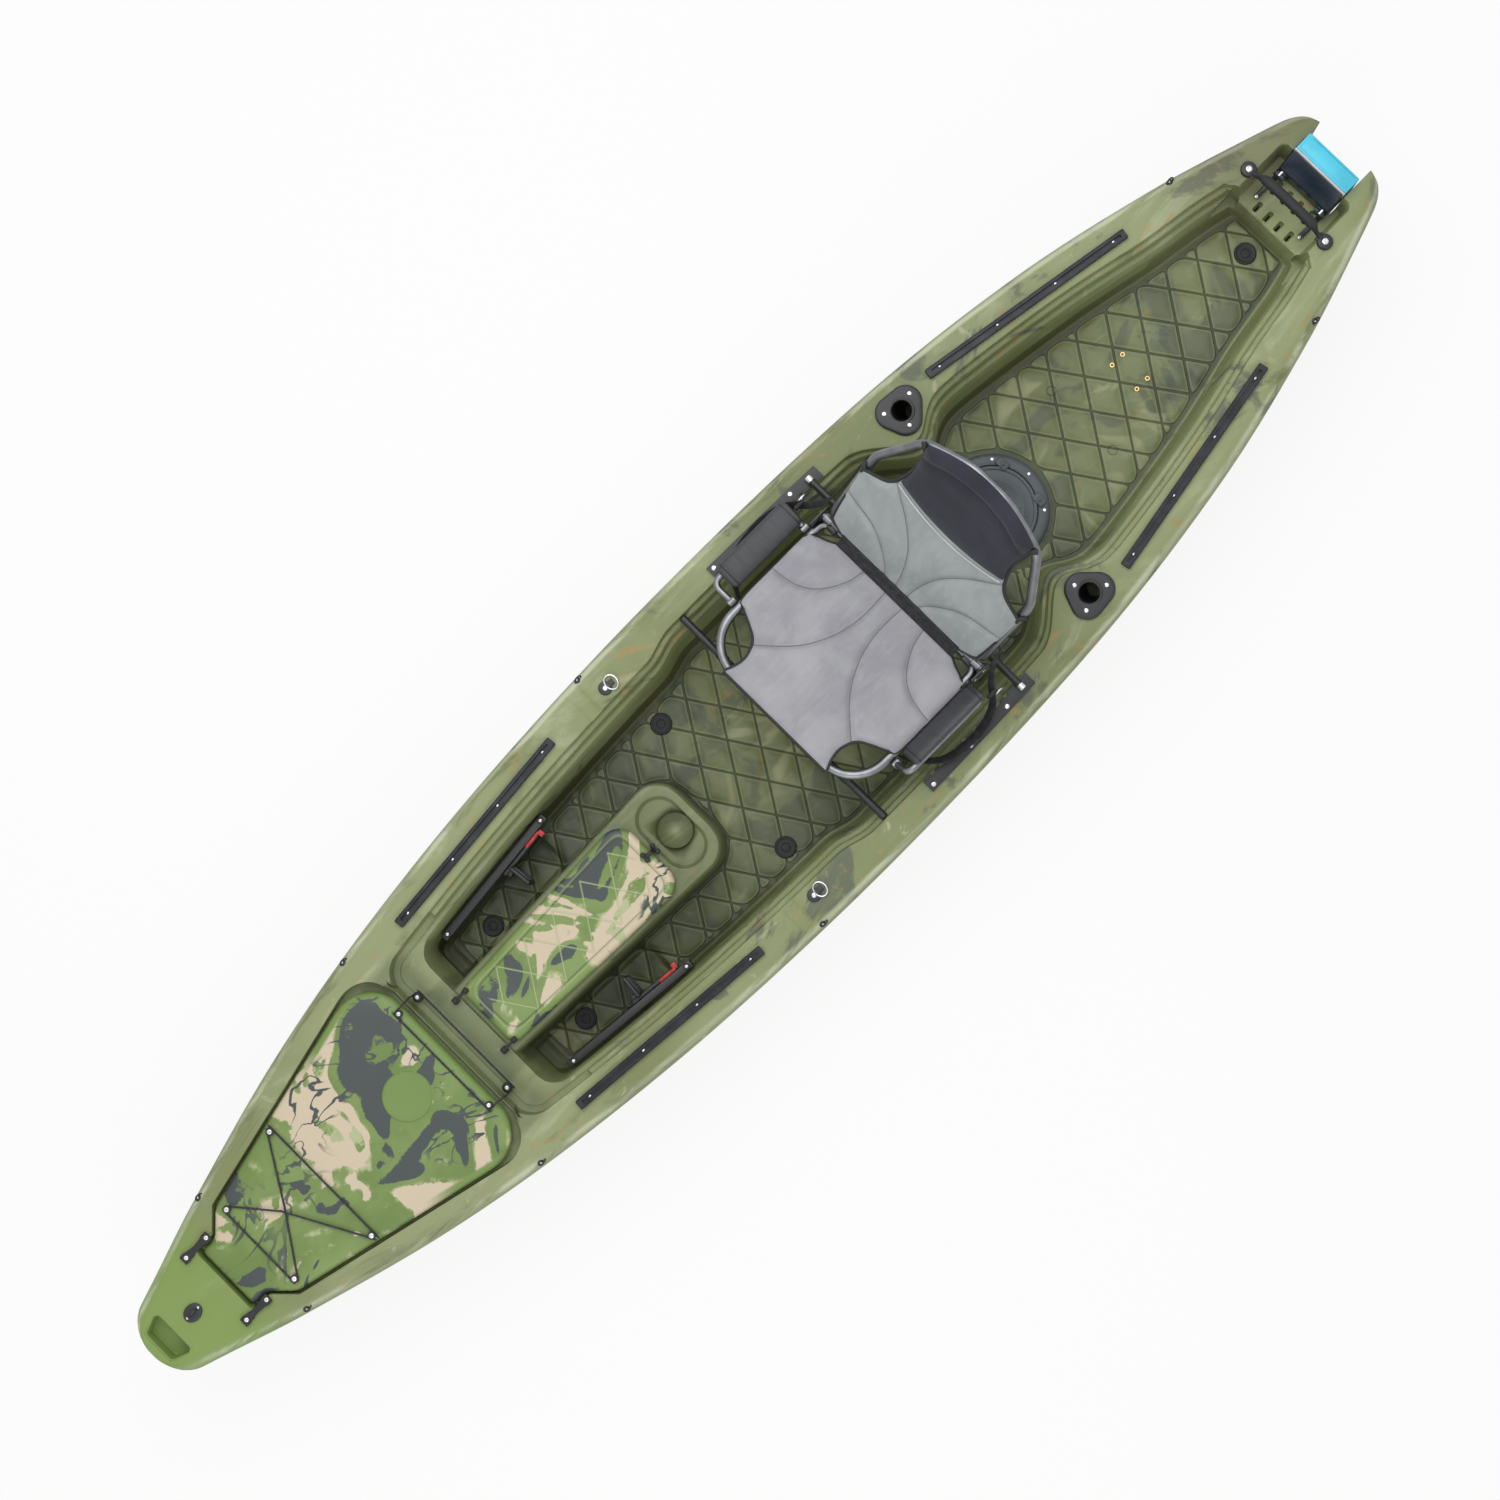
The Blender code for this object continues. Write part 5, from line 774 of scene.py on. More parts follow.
base = mixed(on_floor * (1 - tints.rise(0.35, 0.45)) * 0.5, base, rgb(172, 172, 132))
dimple = ((x + 1.128) * (x + 1.128) + (abs(y) - 0.103) * (abs(y) - 0.103)).math("SQRT")
dimple_shade_ring = (1 - abs(dimple - 0.0115).rise(0.0004, 0.002)) * on_floor
# Painted highlight on the lips of the floor's lattice grooves, and painted shade in the grooves and beside
# them.
groove_lip_highlight = near.rise(0.003, 0.0046) * (1 - near.rise(0.0052, 0.0086)) * on_floor
base = mixed(groove_lip_highlight * 0.3, base, rgb(160, 166, 122))
base = mixed(groove * 0.8, base, rgb(44, 48, 28))
base = mixed((shaded_groove - groove * 0.5) * 0.28, base, rgb(66, 76, 42))
grit = noise(900.0, 2.0, 0.6)
scuffs = noise(38.0, 4.0, 0.7, 0.6)
# Painted shade in the ring groove round each dimple.
base = mixed(dimple_shade_ring * 0.55, base, rgb(52, 58, 34))
height = grit * 0.05 + scuffs * 0.1 + pillow * 1.7 - groove * 1.3 - (1 - dimple.rise(0.0095, 0.0125)) * 0.9
shade(plastic, base, 0.42 + scuffs * 0.16 + smear * 0.05, height, 0.0012)
hull.data.materials.append(plastic)
hull.data.validate()


# Bow hatch lid. A hollow moulded lid with a softly rounded rim, camouflage paint run over the top, a round
# dish near its aft end and four hooks with bright caps for the cargo cord.


def fitted(piece, finish, slot, body=None, *nodes, angle=35):
    """Gives a piece its finish, sets it on its body and hides the plain solids it stands for; its slot is not
    used.
    """
    finish_edges(piece, angle)
    piece.data.materials.clear()
    piece.data.materials.append(finish)
    if body:
        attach(piece, body)
    if nodes:
        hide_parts(*nodes)
    return piece


def carve_out(piece, tool):
    """Cuts one body out of another."""
    applied(piece, "BOOLEAN", operation="DIFFERENCE", solver="EXACT", object=tool)
    bpy.data.objects.remove(tool)
    return piece


def screw(x, y, z, radius=0.0045, up=(0, 0, 1), sides=20):
    """A pan head screw with a driver recess."""
    shape = [(-0.003, radius), (0.0004, radius), (0.0011, radius * 0.93), (0.0017, radius * 0.72),
             (0.002, radius * 0.42), (0.0019, radius * 0.36), (0.0009, radius * 0.22)]
    return lathe("screw", shape, (x, y, z), up, sides)


def metal(name, tone, roughness, brushed=260.0):
    finish = new_finish(name)
    wear = noise(brushed, 3.0, 0.6, at=place_wire(scale=(0.15, 1.0, 1.0)))
    cloud = noise(22.0, 3.0, 0.6)
    dark = tuple(c * 0.72 for c in tone[:3]) + (1.0,)
    base = mixed(cloud.rise(0.35, 0.7), dark, tone)
    return shade(finish, base, wear * 0.16 + (roughness - 0.08), wear, 0.00004, Metallic=1.0)


def moulding(name, tone, roughness=0.45, grain=700.0, depth=0.00012, worn=1.25):
    """Moulded plastic or rubber: fine grain, slightly uneven colour and faint scuffs."""
    finish = new_finish(name)
    cloud = noise(9.0, 4.0, 0.6, 0.4)
    scuff = noise(120.0, 3.0, 0.7, 0.3)
    bright = tuple(min(c * worn + 0.004, 1.0) for c in tone[:3]) + (1.0,)
    dark = tuple(c * 0.78 for c in tone[:3]) + (1.0,)
    base = mixed(cloud.rise(0.3, 0.7), dark, tone)
    base = mixed(scuff.rise(0.56, 0.75) * 0.6, base, bright)
    height = noise(grain, 2.0, 0.5) + scuff * 0.4
    return shade(finish, base, scuff * 0.2 + (roughness - 0.1), height, depth)


def bolted(name, heads, body="hull", **angle):
    """Bright screw heads, rings and pins of stainless steel, as one piece on a body."""
    return fitted(merged(name, heads), stainless, "stainless", body, **angle)


def plain(name, pieces, *where, **angle):
    """Black plastic fittings as one piece."""
    return fitted(merged(name, pieces), black, "black_plastic", *where, **angle)


stainless = metal("stainless_bright", (0.78, 0.78, 0.8, 1.0), 0.22)
black = moulding("black_moulding", rgb(38, 39, 42), 0.42)


def camouflage(name, moved, charcoal):
    """Green, sand and charcoal runs of colour with ragged borders, as paint pulled through a mould."""
    finish = new_finish(name)
    at = place_wire(scale=(1.0, 1.15, 0.4), moved=moved)
    drift = noise(5.2, 2.0, 0.5, 1.1, at=at)
    ragged = noise(34.0, 5.0, 0.7, 1.2, at=at)
    islands = noise(4.4, 2.5, 0.5, 2.4,
                    at=place_wire(scale=(1.0, 1.2, 0.4), moved=(moved[1] + 1.7, moved[0], 0.3)))
    speck = noise(11.0, 6.0, 0.72, 0.4, at=at)
    field = drift + (ragged - 0.5) * 0.085
    vein = abs(islands - 0.5) + (ragged - 0.5) * 0.03
    base = mixed(noise(7.0, 3.0, 0.5).rise(0.35, 0.65), rgb(104, 128, 64), rgb(124, 146, 83))
    sand = field.rise(0.545, 0.556) * (1 - field.rise(0.665, 0.675))
    base = mixed(sand, base, rgb(205, 190, 164))
    haze = field.rise(0.5, 0.55) * speck.rise(0.47, 0.56) * (1 - sand)
    base = mixed(haze * 0.8, base, rgb(186, 190, 150))
    char = (1 - vein.rise(0.014, 0.024)) * noise(2.6, 1.0, 0.5, 0.5, at=at).rise(0.42, 0.47)
    pool = (1 - field).rise(charcoal, charcoal + 0.012)
    base = mixed(char.above(pool), base, rgb(62, 70, 70))
    grain = noise(800.0, 2.0, 0.6)
    soft = noise(26.0, 3.0, 0.6)
    shade(finish, base, 0.4 + soft * 0.14, grain * 0.08 + soft * 0.3, 0.0008)
    return finish


def painted_over(finish, mask, tone):
    """Runs another colour over a finish where the mask says."""
    shader = principled()
    paint = Wire(shader.inputs["Base Color"].links[0].from_socket)
    finish.node_tree.links.new(mixed(mask, paint, tone).socket, shader.inputs["Base Color"])


def hatch_outline(grow):
    wide, middle, narrow = [half + grow for half in HATCH_HALVES]
    half = [(HATCH_AFT - grow, wide, 0.095), (HATCH_BENDS[0], middle, 0.05), (HATCH_BENDS[1], narrow, 0.03),
            (HATCH_FRONT + grow, narrow, 0.012)]
    return round_corners(mirrored(half), 8)


def on_hatch(grow, height):
    return [(x, y, spot(hatch_plane, x) + height) for x, y in hatch_outline(grow)]


LID_LOW, LID_CROWN = -0.0274, 0.004
CORD = 0.0025
rim = [(-0.004, LID_LOW), (0.0, LID_LOW + 0.004), (0.0, -0.012), (-0.0012, -0.0068), (-0.0045, -0.0026),
       (-0.01, 0.0004), (-0.017, 0.002), (-0.026, 0.0031), (-0.038, LID_CROWN)]
lid = stacked("hatch_lid_shell", [on_hatch(g, z) for g, z in rim])
inner_low = stacked("lid_inside", [on_hatch(-0.024, -0.1), on_hatch(-0.024, -0.006), on_hatch(-0.03, -0.002)])
carve_out(lid, inner_low)
dish_x = 0.5758 * HALF
dish_top = spot(hatch_plane, dish_x) + LID_CROWN
carve_out(lid, lathe("dish", [(-0.0032, 0.056), (-0.0028, 0.058), (-0.0012, 0.0592), (0.0, 0.0606),
                              (0.02, 0.0606)], (dish_x, 0, dish_top), sides=72))
clean_up(lid)
lid_finish = camouflage("hatch_camouflage", (0.35, 0.1, 0.0), 0.6)
x, y = coordinate(0), coordinate(1)
taper = (HATCH_HALVES[0] - HATCH_HALVES[1]) / (HATCH_BENDS[0] - HATCH_AFT)
from_side = (HATCH_HALVES[0] - (x - HATCH_AFT) * taper - abs(y)) * math.cos(math.atan(taper))
from_rim = Wire.node("ShaderNodeMath", {"operation": "SMOOTH_MIN"}, {0: x - HATCH_AFT, 1: from_side, 2: 0.12})
margin = (1 - from_rim.rise(0.014, 0.022)) * (1 - x.rise(HATCH_AFT + 0.2, HATCH_AFT + 0.3))
dish_r = ((x - dish_x) * (x - dish_x) + y * y).math("SQRT")
painted_over(lid_finish, margin.above(1 - dish_r.rise(0.0592, 0.0606)), rgb(113, 138, 73))
fitted(lid, lid_finish, "lid_plastic", "bow_hatch_lid", "bow_lid")
HOOKS = [(0.7187 * HALF, 0.17), (0.8182 * HALF, 0.113)]
LID_KNOB_X = HATCH_AFT + 0.014
KNOB_Y = 0.15
stems, caps = [], []
for x, half in HOOKS:
    for side in (1, -1):
        z = spot(hatch_plane, x) + LID_CROWN
        stems.append(lathe("hook", [(-0.002, 0.009), (0.0008, 0.009), (0.0018, 0.006), (0.003, 0.0045),
                                    (0.0066, 0.0045), (0.0074, 0.0085), (0.009, 0.0098), (0.0112, 0.0098),
                                    (0.0128, 0.008)], (x, side * half, z), sides=24))
        caps.append(screw(x, side * half, z + 0.0126, 0.0062))
for side in (1, -1):
    z = spot(hatch_plane, LID_KNOB_X) + LID_CROWN - 0.006
    stems.append(lathe("lid_knob", [(-0.002, 0.0085), (0.0045, 0.0085), (0.0052, 0.006), (0.012, 0.006),
                                    (0.0132, 0.0086), (0.016, 0.0092), (0.0178, 0.0078)],
                       (LID_KNOB_X, side * KNOB_Y, z), sides=24))
    caps.append(screw(LID_KNOB_X, side * KNOB_Y, z + 0.0175, 0.0052))
plain("lid_hooks", stems, "bow_hatch_lid")
bolted("lid_hook_screws", caps, "bow_hatch_lid")


# Cargo cord, hatch loop and gasket. Black elastic cord of 5 mm: one lacing crosses the front of the bow lid
# round its four hooks, and one loop is hooked from two ball knobs on the shelf over two knobs on the lid.

rubber = moulding("black_rubber", rgb(30, 31, 33), 0.62, 900.0, 0.0002, 1.5)


def smooth_line(points, steps=8, closed=False):
    """A smooth curve through points."""
    points = [Vector(p) for p in points]
    count = len(points)
    line = []
    for i in range(count if closed else count - 1):
        p1, p2 = points[i], points[(i + 1) % count]
        p0 = points[i - 1] if closed or i > 0 else p1
        p3 = points[(i + 2) % count] if closed or i + 2 < count else p2
        for k in range(steps):
            t = k / steps
            line.append(0.5 * (2 * p1 + (p2 - p0) * t + (2 * p0 - 5 * p1 + 4 * p2 - p3) * t * t
                               + (3 * p1 - p0 - 3 * p2 + p3) * t**3))
    return line if closed else line + [points[-1]]


def whole_turn(count, end=6.283):
    """Angles spread evenly over one turn, without a last one on top of the first."""
    return np.linspace(0, end, count + 1)[:-1]


def pipe(name, line, radius, closed=False, sides=5, radii=None):
    """A round tube along a line, with filled ends."""
    data = bpy.data.curves.new(name, "CURVE")
    data.dimensions = "3D"
    data.bevel_depth = radius
    data.bevel_resolution = sides
    data.use_fill_caps = True
    spline = data.splines.new("POLY")
    spline.points.add(len(line) - 1)
    spline.points.foreach_set("co", [c for p in line for c in (*p, 1.0)])
    if radii:
        spline.points.foreach_set("radius", radii)
    spline.use_cyclic_u = closed
    tube = placed(name, data)
    bpy.ops.object.select_all(action="DESELECT")
    tube.select_set(True)
    bpy.context.view_layer.objects.active = tube
    bpy.ops.object.convert(target="MESH")
    made = bpy.context.object
    clean_up(made)
    return made


def cord_finish(name):
    finish = new_finish(name)
    fleck = noise(420.0, 2.0, 0.5, at=place_wire(scale=(1.0, 0.5, 1.0)))
    base = mixed(fleck.rise(0.4, 0.62), rgb(24, 25, 27), rgb(58, 60, 62))
    return shade(finish, base, 0.7, fleck, 0.0003)


braid = cord_finish("braided_cord")


def around(x, y, z, start, sweep, stem):
    r = stem + CORD + 0.0006
    return [(x + r * math.cos(math.radians(start + sweep * k / 4)),
             y + r * math.sin(math.radians(start + sweep * k / 4)), z)
            for k in range(5)]


def held_straight(points):
    """Adds a point close to each end of a long straight run, so that the curve doesn't swing out there."""
    points = [Vector(p) for p in points]
    line = []
    for p, q in zip(points, points[1:] + points[:1]):
        line.append(p)
        if (q - p).length > 0.05:
            step = (q - p).normalized() * 0.01
            line += [p + step, q - step]
    return line


def lid_top(x):
    return spot(hatch_plane, x) + LID_CROWN


(rear_x, rear_y), (fore_x, fore_y) = HOOKS
low_rear, low_fore = lid_top(rear_x) + 0.0052, lid_top(fore_x) + 0.0052
middle_x = (rear_x + fore_x) / 2
lacing = (around(rear_x, rear_y, low_rear, 60, 120, 0.0045)
          + around(rear_x, -rear_y, low_rear, 180, 120, 0.0045)
          + [(middle_x, -0.022, lid_top(middle_x) + 0.0032)]
          + around(fore_x, fore_y, low_fore, 120, -120, 0.0045)
          + around(fore_x, -fore_y, low_fore, 0, -120, 0.0045)
          + [(middle_x + 0.01, -0.018, lid_top(middle_x) + 0.0094)])
fitted(pipe("cargo_cord", smooth_line(held_straight(lacing), 5, True), CORD, True, 3), braid, "black_rubber",
       "bow_hatch_lid", "lid_bungee", angle=60)
knob_x = 0.4874 * HALF
loop_low = SHELF_Z + 0.0072
lid_knob_z = lid_top(LID_KNOB_X) + 0.0025
climb = [(SHELF_FRONT - 0.006, KNOB_Y + 0.012, SHELF_Z + 0.04),
         (HATCH_AFT - 0.004, KNOB_Y + 0.009, lid_knob_z + 0.001)]
loop = (around(knob_x, KNOB_Y, loop_low, 90, 90, 0.006) + around(knob_x, -KNOB_Y, loop_low, 180, 90, 0.006)
        + [(x, -y, z) for x, y, z in climb] + around(LID_KNOB_X, -KNOB_Y, lid_knob_z, 270, 90, 0.006)
        + around(LID_KNOB_X, KNOB_Y, lid_knob_z, 0, 90, 0.006) + climb[::-1])
fitted(pipe("latch_cord", smooth_line(held_straight(loop), 5, True), CORD, True, 3), braid, "black_rubber",
       "hull", "hatch_loop", angle=60)
gasket = [(x, y, spot(hatch_plane, x) - 0.0357 + 0.004) for x, y in hatch_outline(-0.012)]
fitted(pipe("hatch_seal", [Vector(p) for p in gasket], 0.004, True, 3), rubber, "black_rubber", "hull",
       "hatch_gasket", angle=60)
balls, ball_caps = [], []
for side in (1, -1):
    profile = [(-0.001, 0.0105), (0.0012, 0.01), (0.0025, 0.0066), (0.0045, 0.006), (0.01, 0.006)]
    profile += [(0.022 - 0.0128 * math.cos(a), max(0.0128 * math.sin(a), 0.0045))
                for a in np.linspace(0.5, 2.75, 12)]
    balls.append(lathe("ball_knob", profile, (knob_x, side * KNOB_Y, SHELF_Z), sides=32))
    ball_caps.append(screw(knob_x, side * KNOB_Y, SHELF_Z + 0.0333, 0.005))
plain("shelf_knobs", balls, "hull")
bolted("shelf_knob_screws", ball_caps)


# Console lid and latch. A hollow moulded lid over the tackle bin, with a raised rim round a sunken quilted
# panel, a rubber T-latch with two studs aft and two rubber hinge straps with studs in front.

LID_AFT, LID_FRONT = 0.33603, 0.88803
LID_INSET = 0.01
LID_MIDDLE, LID_CELL_LONG, LID_CELL_ACROSS = 0.645, 0.094, 0.142
LID_BASE = CONSOLE_TOP + 0.0003


def console_ring(inset, z):
    aft_half = spot(console_half, LID_AFT) - LID_INSET - inset
    front_half = spot(console_half, LID_FRONT) - LID_INSET - inset
    corners = [(LID_AFT + inset, -aft_half, max(0.05 - inset, 0.012)),
               (LID_FRONT - inset, -front_half, max(0.03 - inset, 0.01))]
    corners += [(x, -y, r) for x, y, r in reversed(corners)]
    return [(x, y, LID_BASE + z) for x, y in round_corners(corners, 8)]


levels = [(0.0, 0.0), (0.0, 0.014), (0.0012, 0.0185), (0.0042, 0.0226), (0.0085, 0.0249), (0.013, 0.0258),
          (0.018, 0.0255), (0.0215, 0.0238), (0.024, 0.0215), (0.0275, 0.0202)]
bin_lid = stacked("console_lid_shell", [console_ring(g, z) for g, z in levels])
carve_out(bin_lid, stacked("inside",
                           [console_ring(0.012, -0.01), console_ring(0.012, 0.012),
                            console_ring(0.016, 0.0155)]))
clean_up(bin_lid)
bin_finish = camouflage("console_camouflage", (1.15, 0.62, 0.0), 0.575)
Wire.tree = bin_finish.node_tree
x, y = coordinate(0), coordinate(1)
u = ((x - LID_MIDDLE) / LID_CELL_LONG + y / LID_CELL_ACROSS).from_whole() * CELL_STEP
v = ((x - LID_MIDDLE) / LID_CELL_LONG - y / LID_CELL_ACROSS).from_whole() * CELL_STEP
seam = (1 - u.below(v).rise(0.0007, 0.0034)) * (1 - abs(x - 0.612).rise(0.236, 0.242)) * (1
        - abs(y).rise(0.07, 0.075))
lid_half = (spot(console_half, LID_AFT) - LID_INSET, spot(console_half, LID_FRONT) - LID_INSET)
from_side = lid_half[0] + (x - LID_AFT) * ((lid_half[1] - lid_half[0]) / (LID_FRONT - LID_AFT)) - abs(y)
from_end = 0.276 - abs(x - (LID_AFT + LID_FRONT) / 2)
from_rim = Wire.node("ShaderNodeMath", {"operation": "SMOOTH_MIN"}, {0: from_end, 1: from_side, 2: 0.05})
step = 1 - abs(from_rim - 0.0245).rise(0.0006, 0.003)
painted_over(bin_finish, seam * 0.55, rgb(180, 194, 146))
# Painted shade in the step between the raised rim and the sunken panel.
painted_over(bin_finish, step * 0.45, rgb(58, 72, 38))
# Painted highlight along the crest of the raised rim.
painted_over(bin_finish, (1 - abs(from_rim - 0.0185).rise(0.001, 0.004)) * 0.3, rgb(176, 190, 140))
bump = principled().inputs["Normal"].links[0].from_node
Wire.tree.links.new((Wire(bump.inputs["Height"].links[0].from_socket) + seam * 1.6).socket,
                    bump.inputs["Height"])
fitted(bin_lid, bin_finish, "lid_plastic", "console_hatch_lid", "console_lid")


def bevelled(piece, width, segments=3, angle=30):
    return applied(piece, "BEVEL", width=width, segments=segments, limit_method="ANGLE",
                   angle_limit=math.radians(angle))


def rail_block(name, corner, opposite, edge=0.001, segments=2):
    """A moulded block with softened edges, between two opposite corners."""
    low, high = Vector(map(min, corner, opposite)), Vector(map(max, corner, opposite))
    bpy.ops.mesh.primitive_cube_add(size=1, location=(low + high) / 2, scale=high - low)
    block = bpy.context.object
    block.name = name
    block.data.transform(block.matrix_basis)
    block.matrix_basis = Matrix.Identity(4)
    return bevelled(block, edge, segments)


SIDES = ((1, "port"), (-1, "starboard"))


def strap_line(name, points, widths, y, thickness):
    """A moulded rubber strap along x, with its own width at each point: (x, z) of its middle."""
    outlines = []
    for (x, z), w in zip(points, widths):
        outlines.append([(x, y - w, z - thickness), (x, y + w, z - thickness), (x, y + w, z + thickness),
                         (x, y - w, z + thickness)])
    return bevelled(stacked(name, outlines), thickness * 0.5, 2)


latch_points = [(0.3215, 0.2875), (0.3275, 0.2862), (0.331, 0.299), (0.3345, 0.3092), (0.342, 0.3098),
                (0.3505, 0.3098), (0.3585, 0.3098)]
latch = strap_line("bin_latch", latch_points, [0.0085, 0.007, 0.0052, 0.0048, 0.0052, 0.0066, 0.0078], 0.0,
                   0.0022)
studs = [lathe("stud", [(-0.003, 0.0065), (0.003, 0.0065), (0.0052, 0.0052), (0.006, 0.003)],
               (0.324, s * 0.0085, 0.2875), sides=20)
         for s in (1, -1)]
studs += [lathe("stud", [(-0.002, 0.0065), (0.0035, 0.0065), (0.0052, 0.0052), (0.006, 0.003)],
                (0.3545, s * 0.008, 0.3095), sides=20)
          for s in (1, -1)]
fitted(merged("bin_latch", [latch] + studs), rubber, "black_rubber", "console_latch_strap", "console_latch",
       angle=50)
for side, word in SIDES:
    y = side * 0.082
    bone = strap_line(f"bin_hinge_{word}",
                      [(0.8705, 0.3088), (0.88, 0.3088), (0.888, 0.3086), (0.894, 0.3078), (0.9, 0.3062),
                       (0.908, 0.304), (0.918, 0.3034)],
                      [0.007, 0.0068, 0.004, 0.0034, 0.004, 0.0064, 0.0068], y, 0.0018)
    ends = [lathe("stud", [(-0.002, 0.0062), (0.003, 0.0062), (0.005, 0.0048), (0.0056, 0.0028)], (x, y, z),
                  sides=20)
            for x, z in ((0.877, 0.3088), (0.912, 0.3036))]
    block = rail_block("strap_foot", (0.904, y - 0.008, 0.2795), (0.919, y + 0.008, 0.303), 0.002)
    strap = fitted(merged(f"bin_hinge_{word}", [bone, block] + ends), rubber, "black_rubber", None,
                   f"console_hinge_link_{word}", angle=50)
    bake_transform(strap)


# Bow hinge links. Two moulded rubber straps between the front of the bow lid and the deck, each with a
# stainless screw at either end.

for side, word in SIDES:
    y = side * 0.101
    z = lid_top(1.735)
    link = strap_line(f"bow_hinge_{word}",
                      [(1.692, z + 0.0038), (1.704, z + 0.004), (1.718, z + 0.0034), (1.735, z + 0.003),
                       (1.752, z + 0.003), (1.766, z + 0.0032), (1.778, z + 0.003)],
                      [0.012, 0.0125, 0.0085, 0.007, 0.0085, 0.0125, 0.012], y, 0.003)
    foot = rail_block("link_foot", (1.7505, y - 0.01, spot(deck_z, 1.772) - 0.002),
                      (1.7765, y + 0.01, z + 0.002), 0.001)
    heads = merged("heads", [screw(1.7005, y, z + 0.0068, 0.0056), screw(1.7665, y, z + 0.006, 0.0056)])
    strap = fitted(merged(f"bow_hinge_{word}", [link, foot]), rubber, "black_rubber", None,
                   f"bow_hinge_link_{word}", angle=50)
    heads.name = f"bow_hinge_screws_{word}"
    fitted(heads, stainless, "stainless")
    for bending in (strap, heads):
        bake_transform(bending)


# Gear tracks. Four extruded rails of black anodised aluminium with a T-slot for accessories. They are
# bolted along the gunwales, and the round bolt heads show in the slot.

TRACK_LENGTH = 0.56
SEAT_GAP = 0.0003
track_black = metal("track_anodised", (0.045, 0.046, 0.05, 1.0), 0.42, 420.0)
for start, word in ((-1.48, "rear_track"), (0.312, "front_track")):
    for side, hand in SIDES:
        ends = [Vector((x, side * (spot(half_beam, x) - 0.065), spot(deck_z, x) + SEAT_GAP))
                for x in (start, start + TRACK_LENGTH)]
        run = ends[1] - ends[0]
        seat_of = Matrix.Translation(ends[0]) @ run.to_track_quat("X", "Z").to_matrix().to_4x4()
        half = run.length / 2
        body = funnel("track", lambda g: [(x + half, y)
                                          for x, y in rectangle(-half - g, half + g, 0.0125 + g, 0.0125 + g,
                                              0.0032, 4)], [(0.0, 0.0), (0.0, 0.0088), (-0.0012, 0.01)])
        slot_cut = funnel("slot", lambda g: [(x + half, y)
                                             for x, y in rectangle(-half + 0.013 - g, half - 0.013 + g,
                                                 0.0045 + g, 0.0045 + g, 0.003, 4)],
                          [(0.0048, 0.0022), (0.0048, 0.0066), (0.0002, 0.0072), (0.0, 0.0092),
                           (0.0008, 0.02)])
        carve_out(body, slot_cut)
        flutes = [rail_block("flute", (0.004, s * 0.0093 - 0.0006, 0.0096),
                             (run.length - 0.004, s * 0.0093 + 0.0006, 0.012), 0.0003, 1)
                  for s in (1, -1)]
        carve_out(body, merged("flutes", flutes))
        body.data.transform(seat_of)
        fitted(body, track_black, "track_aluminium", "hull", f"{word}_{hand}")
        bolts = [screw(0.035 + k * (run.length - 0.07) / 3, 0.0, 0.0042, 0.004) for k in range(4)]
        heads = merged(f"{word}_bolts_{hand}", bolts)
        heads.data.transform(seat_of)
        fitted(heads, stainless, "stainless", "hull")
        body.name = f"{word}_rail_{hand}"


# Rod holders. Black moulded cups sunk through the gunwale behind the seat, on a slant. Each has a three-
# lobed flange, a raised collar and three bright screws.


def turned_ring(name, profile, start, axis=(0, 0, 1), sides=48):
    """A turned ring, whose section closes on itself."""
    return lathe(name, profile, start, axis, sides, ring=True)


def hugging(points, radius, steps=10):
    """The outline of a plate that runs round a circle at each of its points."""
    outline = []
    for i, (x, y) in enumerate(points):
        after_point = points[(i + 1) % len(points)]
        before = math.atan2(y - points[i - 1][1], x - points[i - 1][0]) - math.pi / 2
        after = math.atan2(after_point[1] - y, after_point[0] - x) - math.pi / 2
        sweep = (after - before) % (2 * math.pi)
        outline += [(x + radius * math.cos(before + sweep * k / steps),
                     y + radius * math.sin(before + sweep * k / steps))
                    for k in range(steps + 1)]
    return outline


for side, word in SIDES:
    top = spot(deck_z, ROD_X - 0.065) + SEAT_GAP
    screws = [(ROD_X + dx, side * (ROD_Y + dy))
              for dx, dy in ((-0.041, 0.016), (0.012, -0.037), (0.035, 0.024))]
    centre = (ROD_X + 0.002, side * (ROD_Y + 0.001))
    lobes = [(mix(centre[0], x, 0.54), mix(centre[1], y, 0.54)) for x, y in screws]
    plate = funnel("flange", lambda g: hugging(lobes[::side], 0.04 + g, 16),
                   [(0.0, top - 0.001), (0.0, top + 0.0036), (-0.0016, top + 0.0056), (-0.005, top + 0.0066),
                    (-0.01, top + 0.007)])
    direction = Vector((ROD_LEAN, 0, 1)).normalized()
    head = Vector((ROD_X, side * ROD_Y, top + 0.003))
    carve_out(plate, lathe("bore", [(-0.03, 0.0262), (0.03, 0.0262)], head, direction, 48))
    tube = turned_ring("cup", [(-0.2105, 0.027), (-0.2105, 0.0236), (-0.01, 0.0236), (0.002, 0.0238),
                               (0.0052, 0.0252), (0.0058, 0.028), (0.0052, 0.0306), (0.003, 0.0312),
                               (0.0, 0.0312), (-0.004, 0.027)], head, direction)
    base_cap = lathe("cup_floor", [(-0.211, 0.0268), (-0.207, 0.0268)], head, direction, 48)
    plain(f"rod_cup_{word}", [plate, tube, base_cap], "hull", f"rod_holder_{word}")
    bolted(f"rod_cup_screws_{word}", [screw(x, y, top + 0.0066, 0.0056) for x, y in screws])


# Pad eyes. One on each gunwale: a black moulded base with a bright screw, and a ring of bent stainless wire
# that lies aft of it.

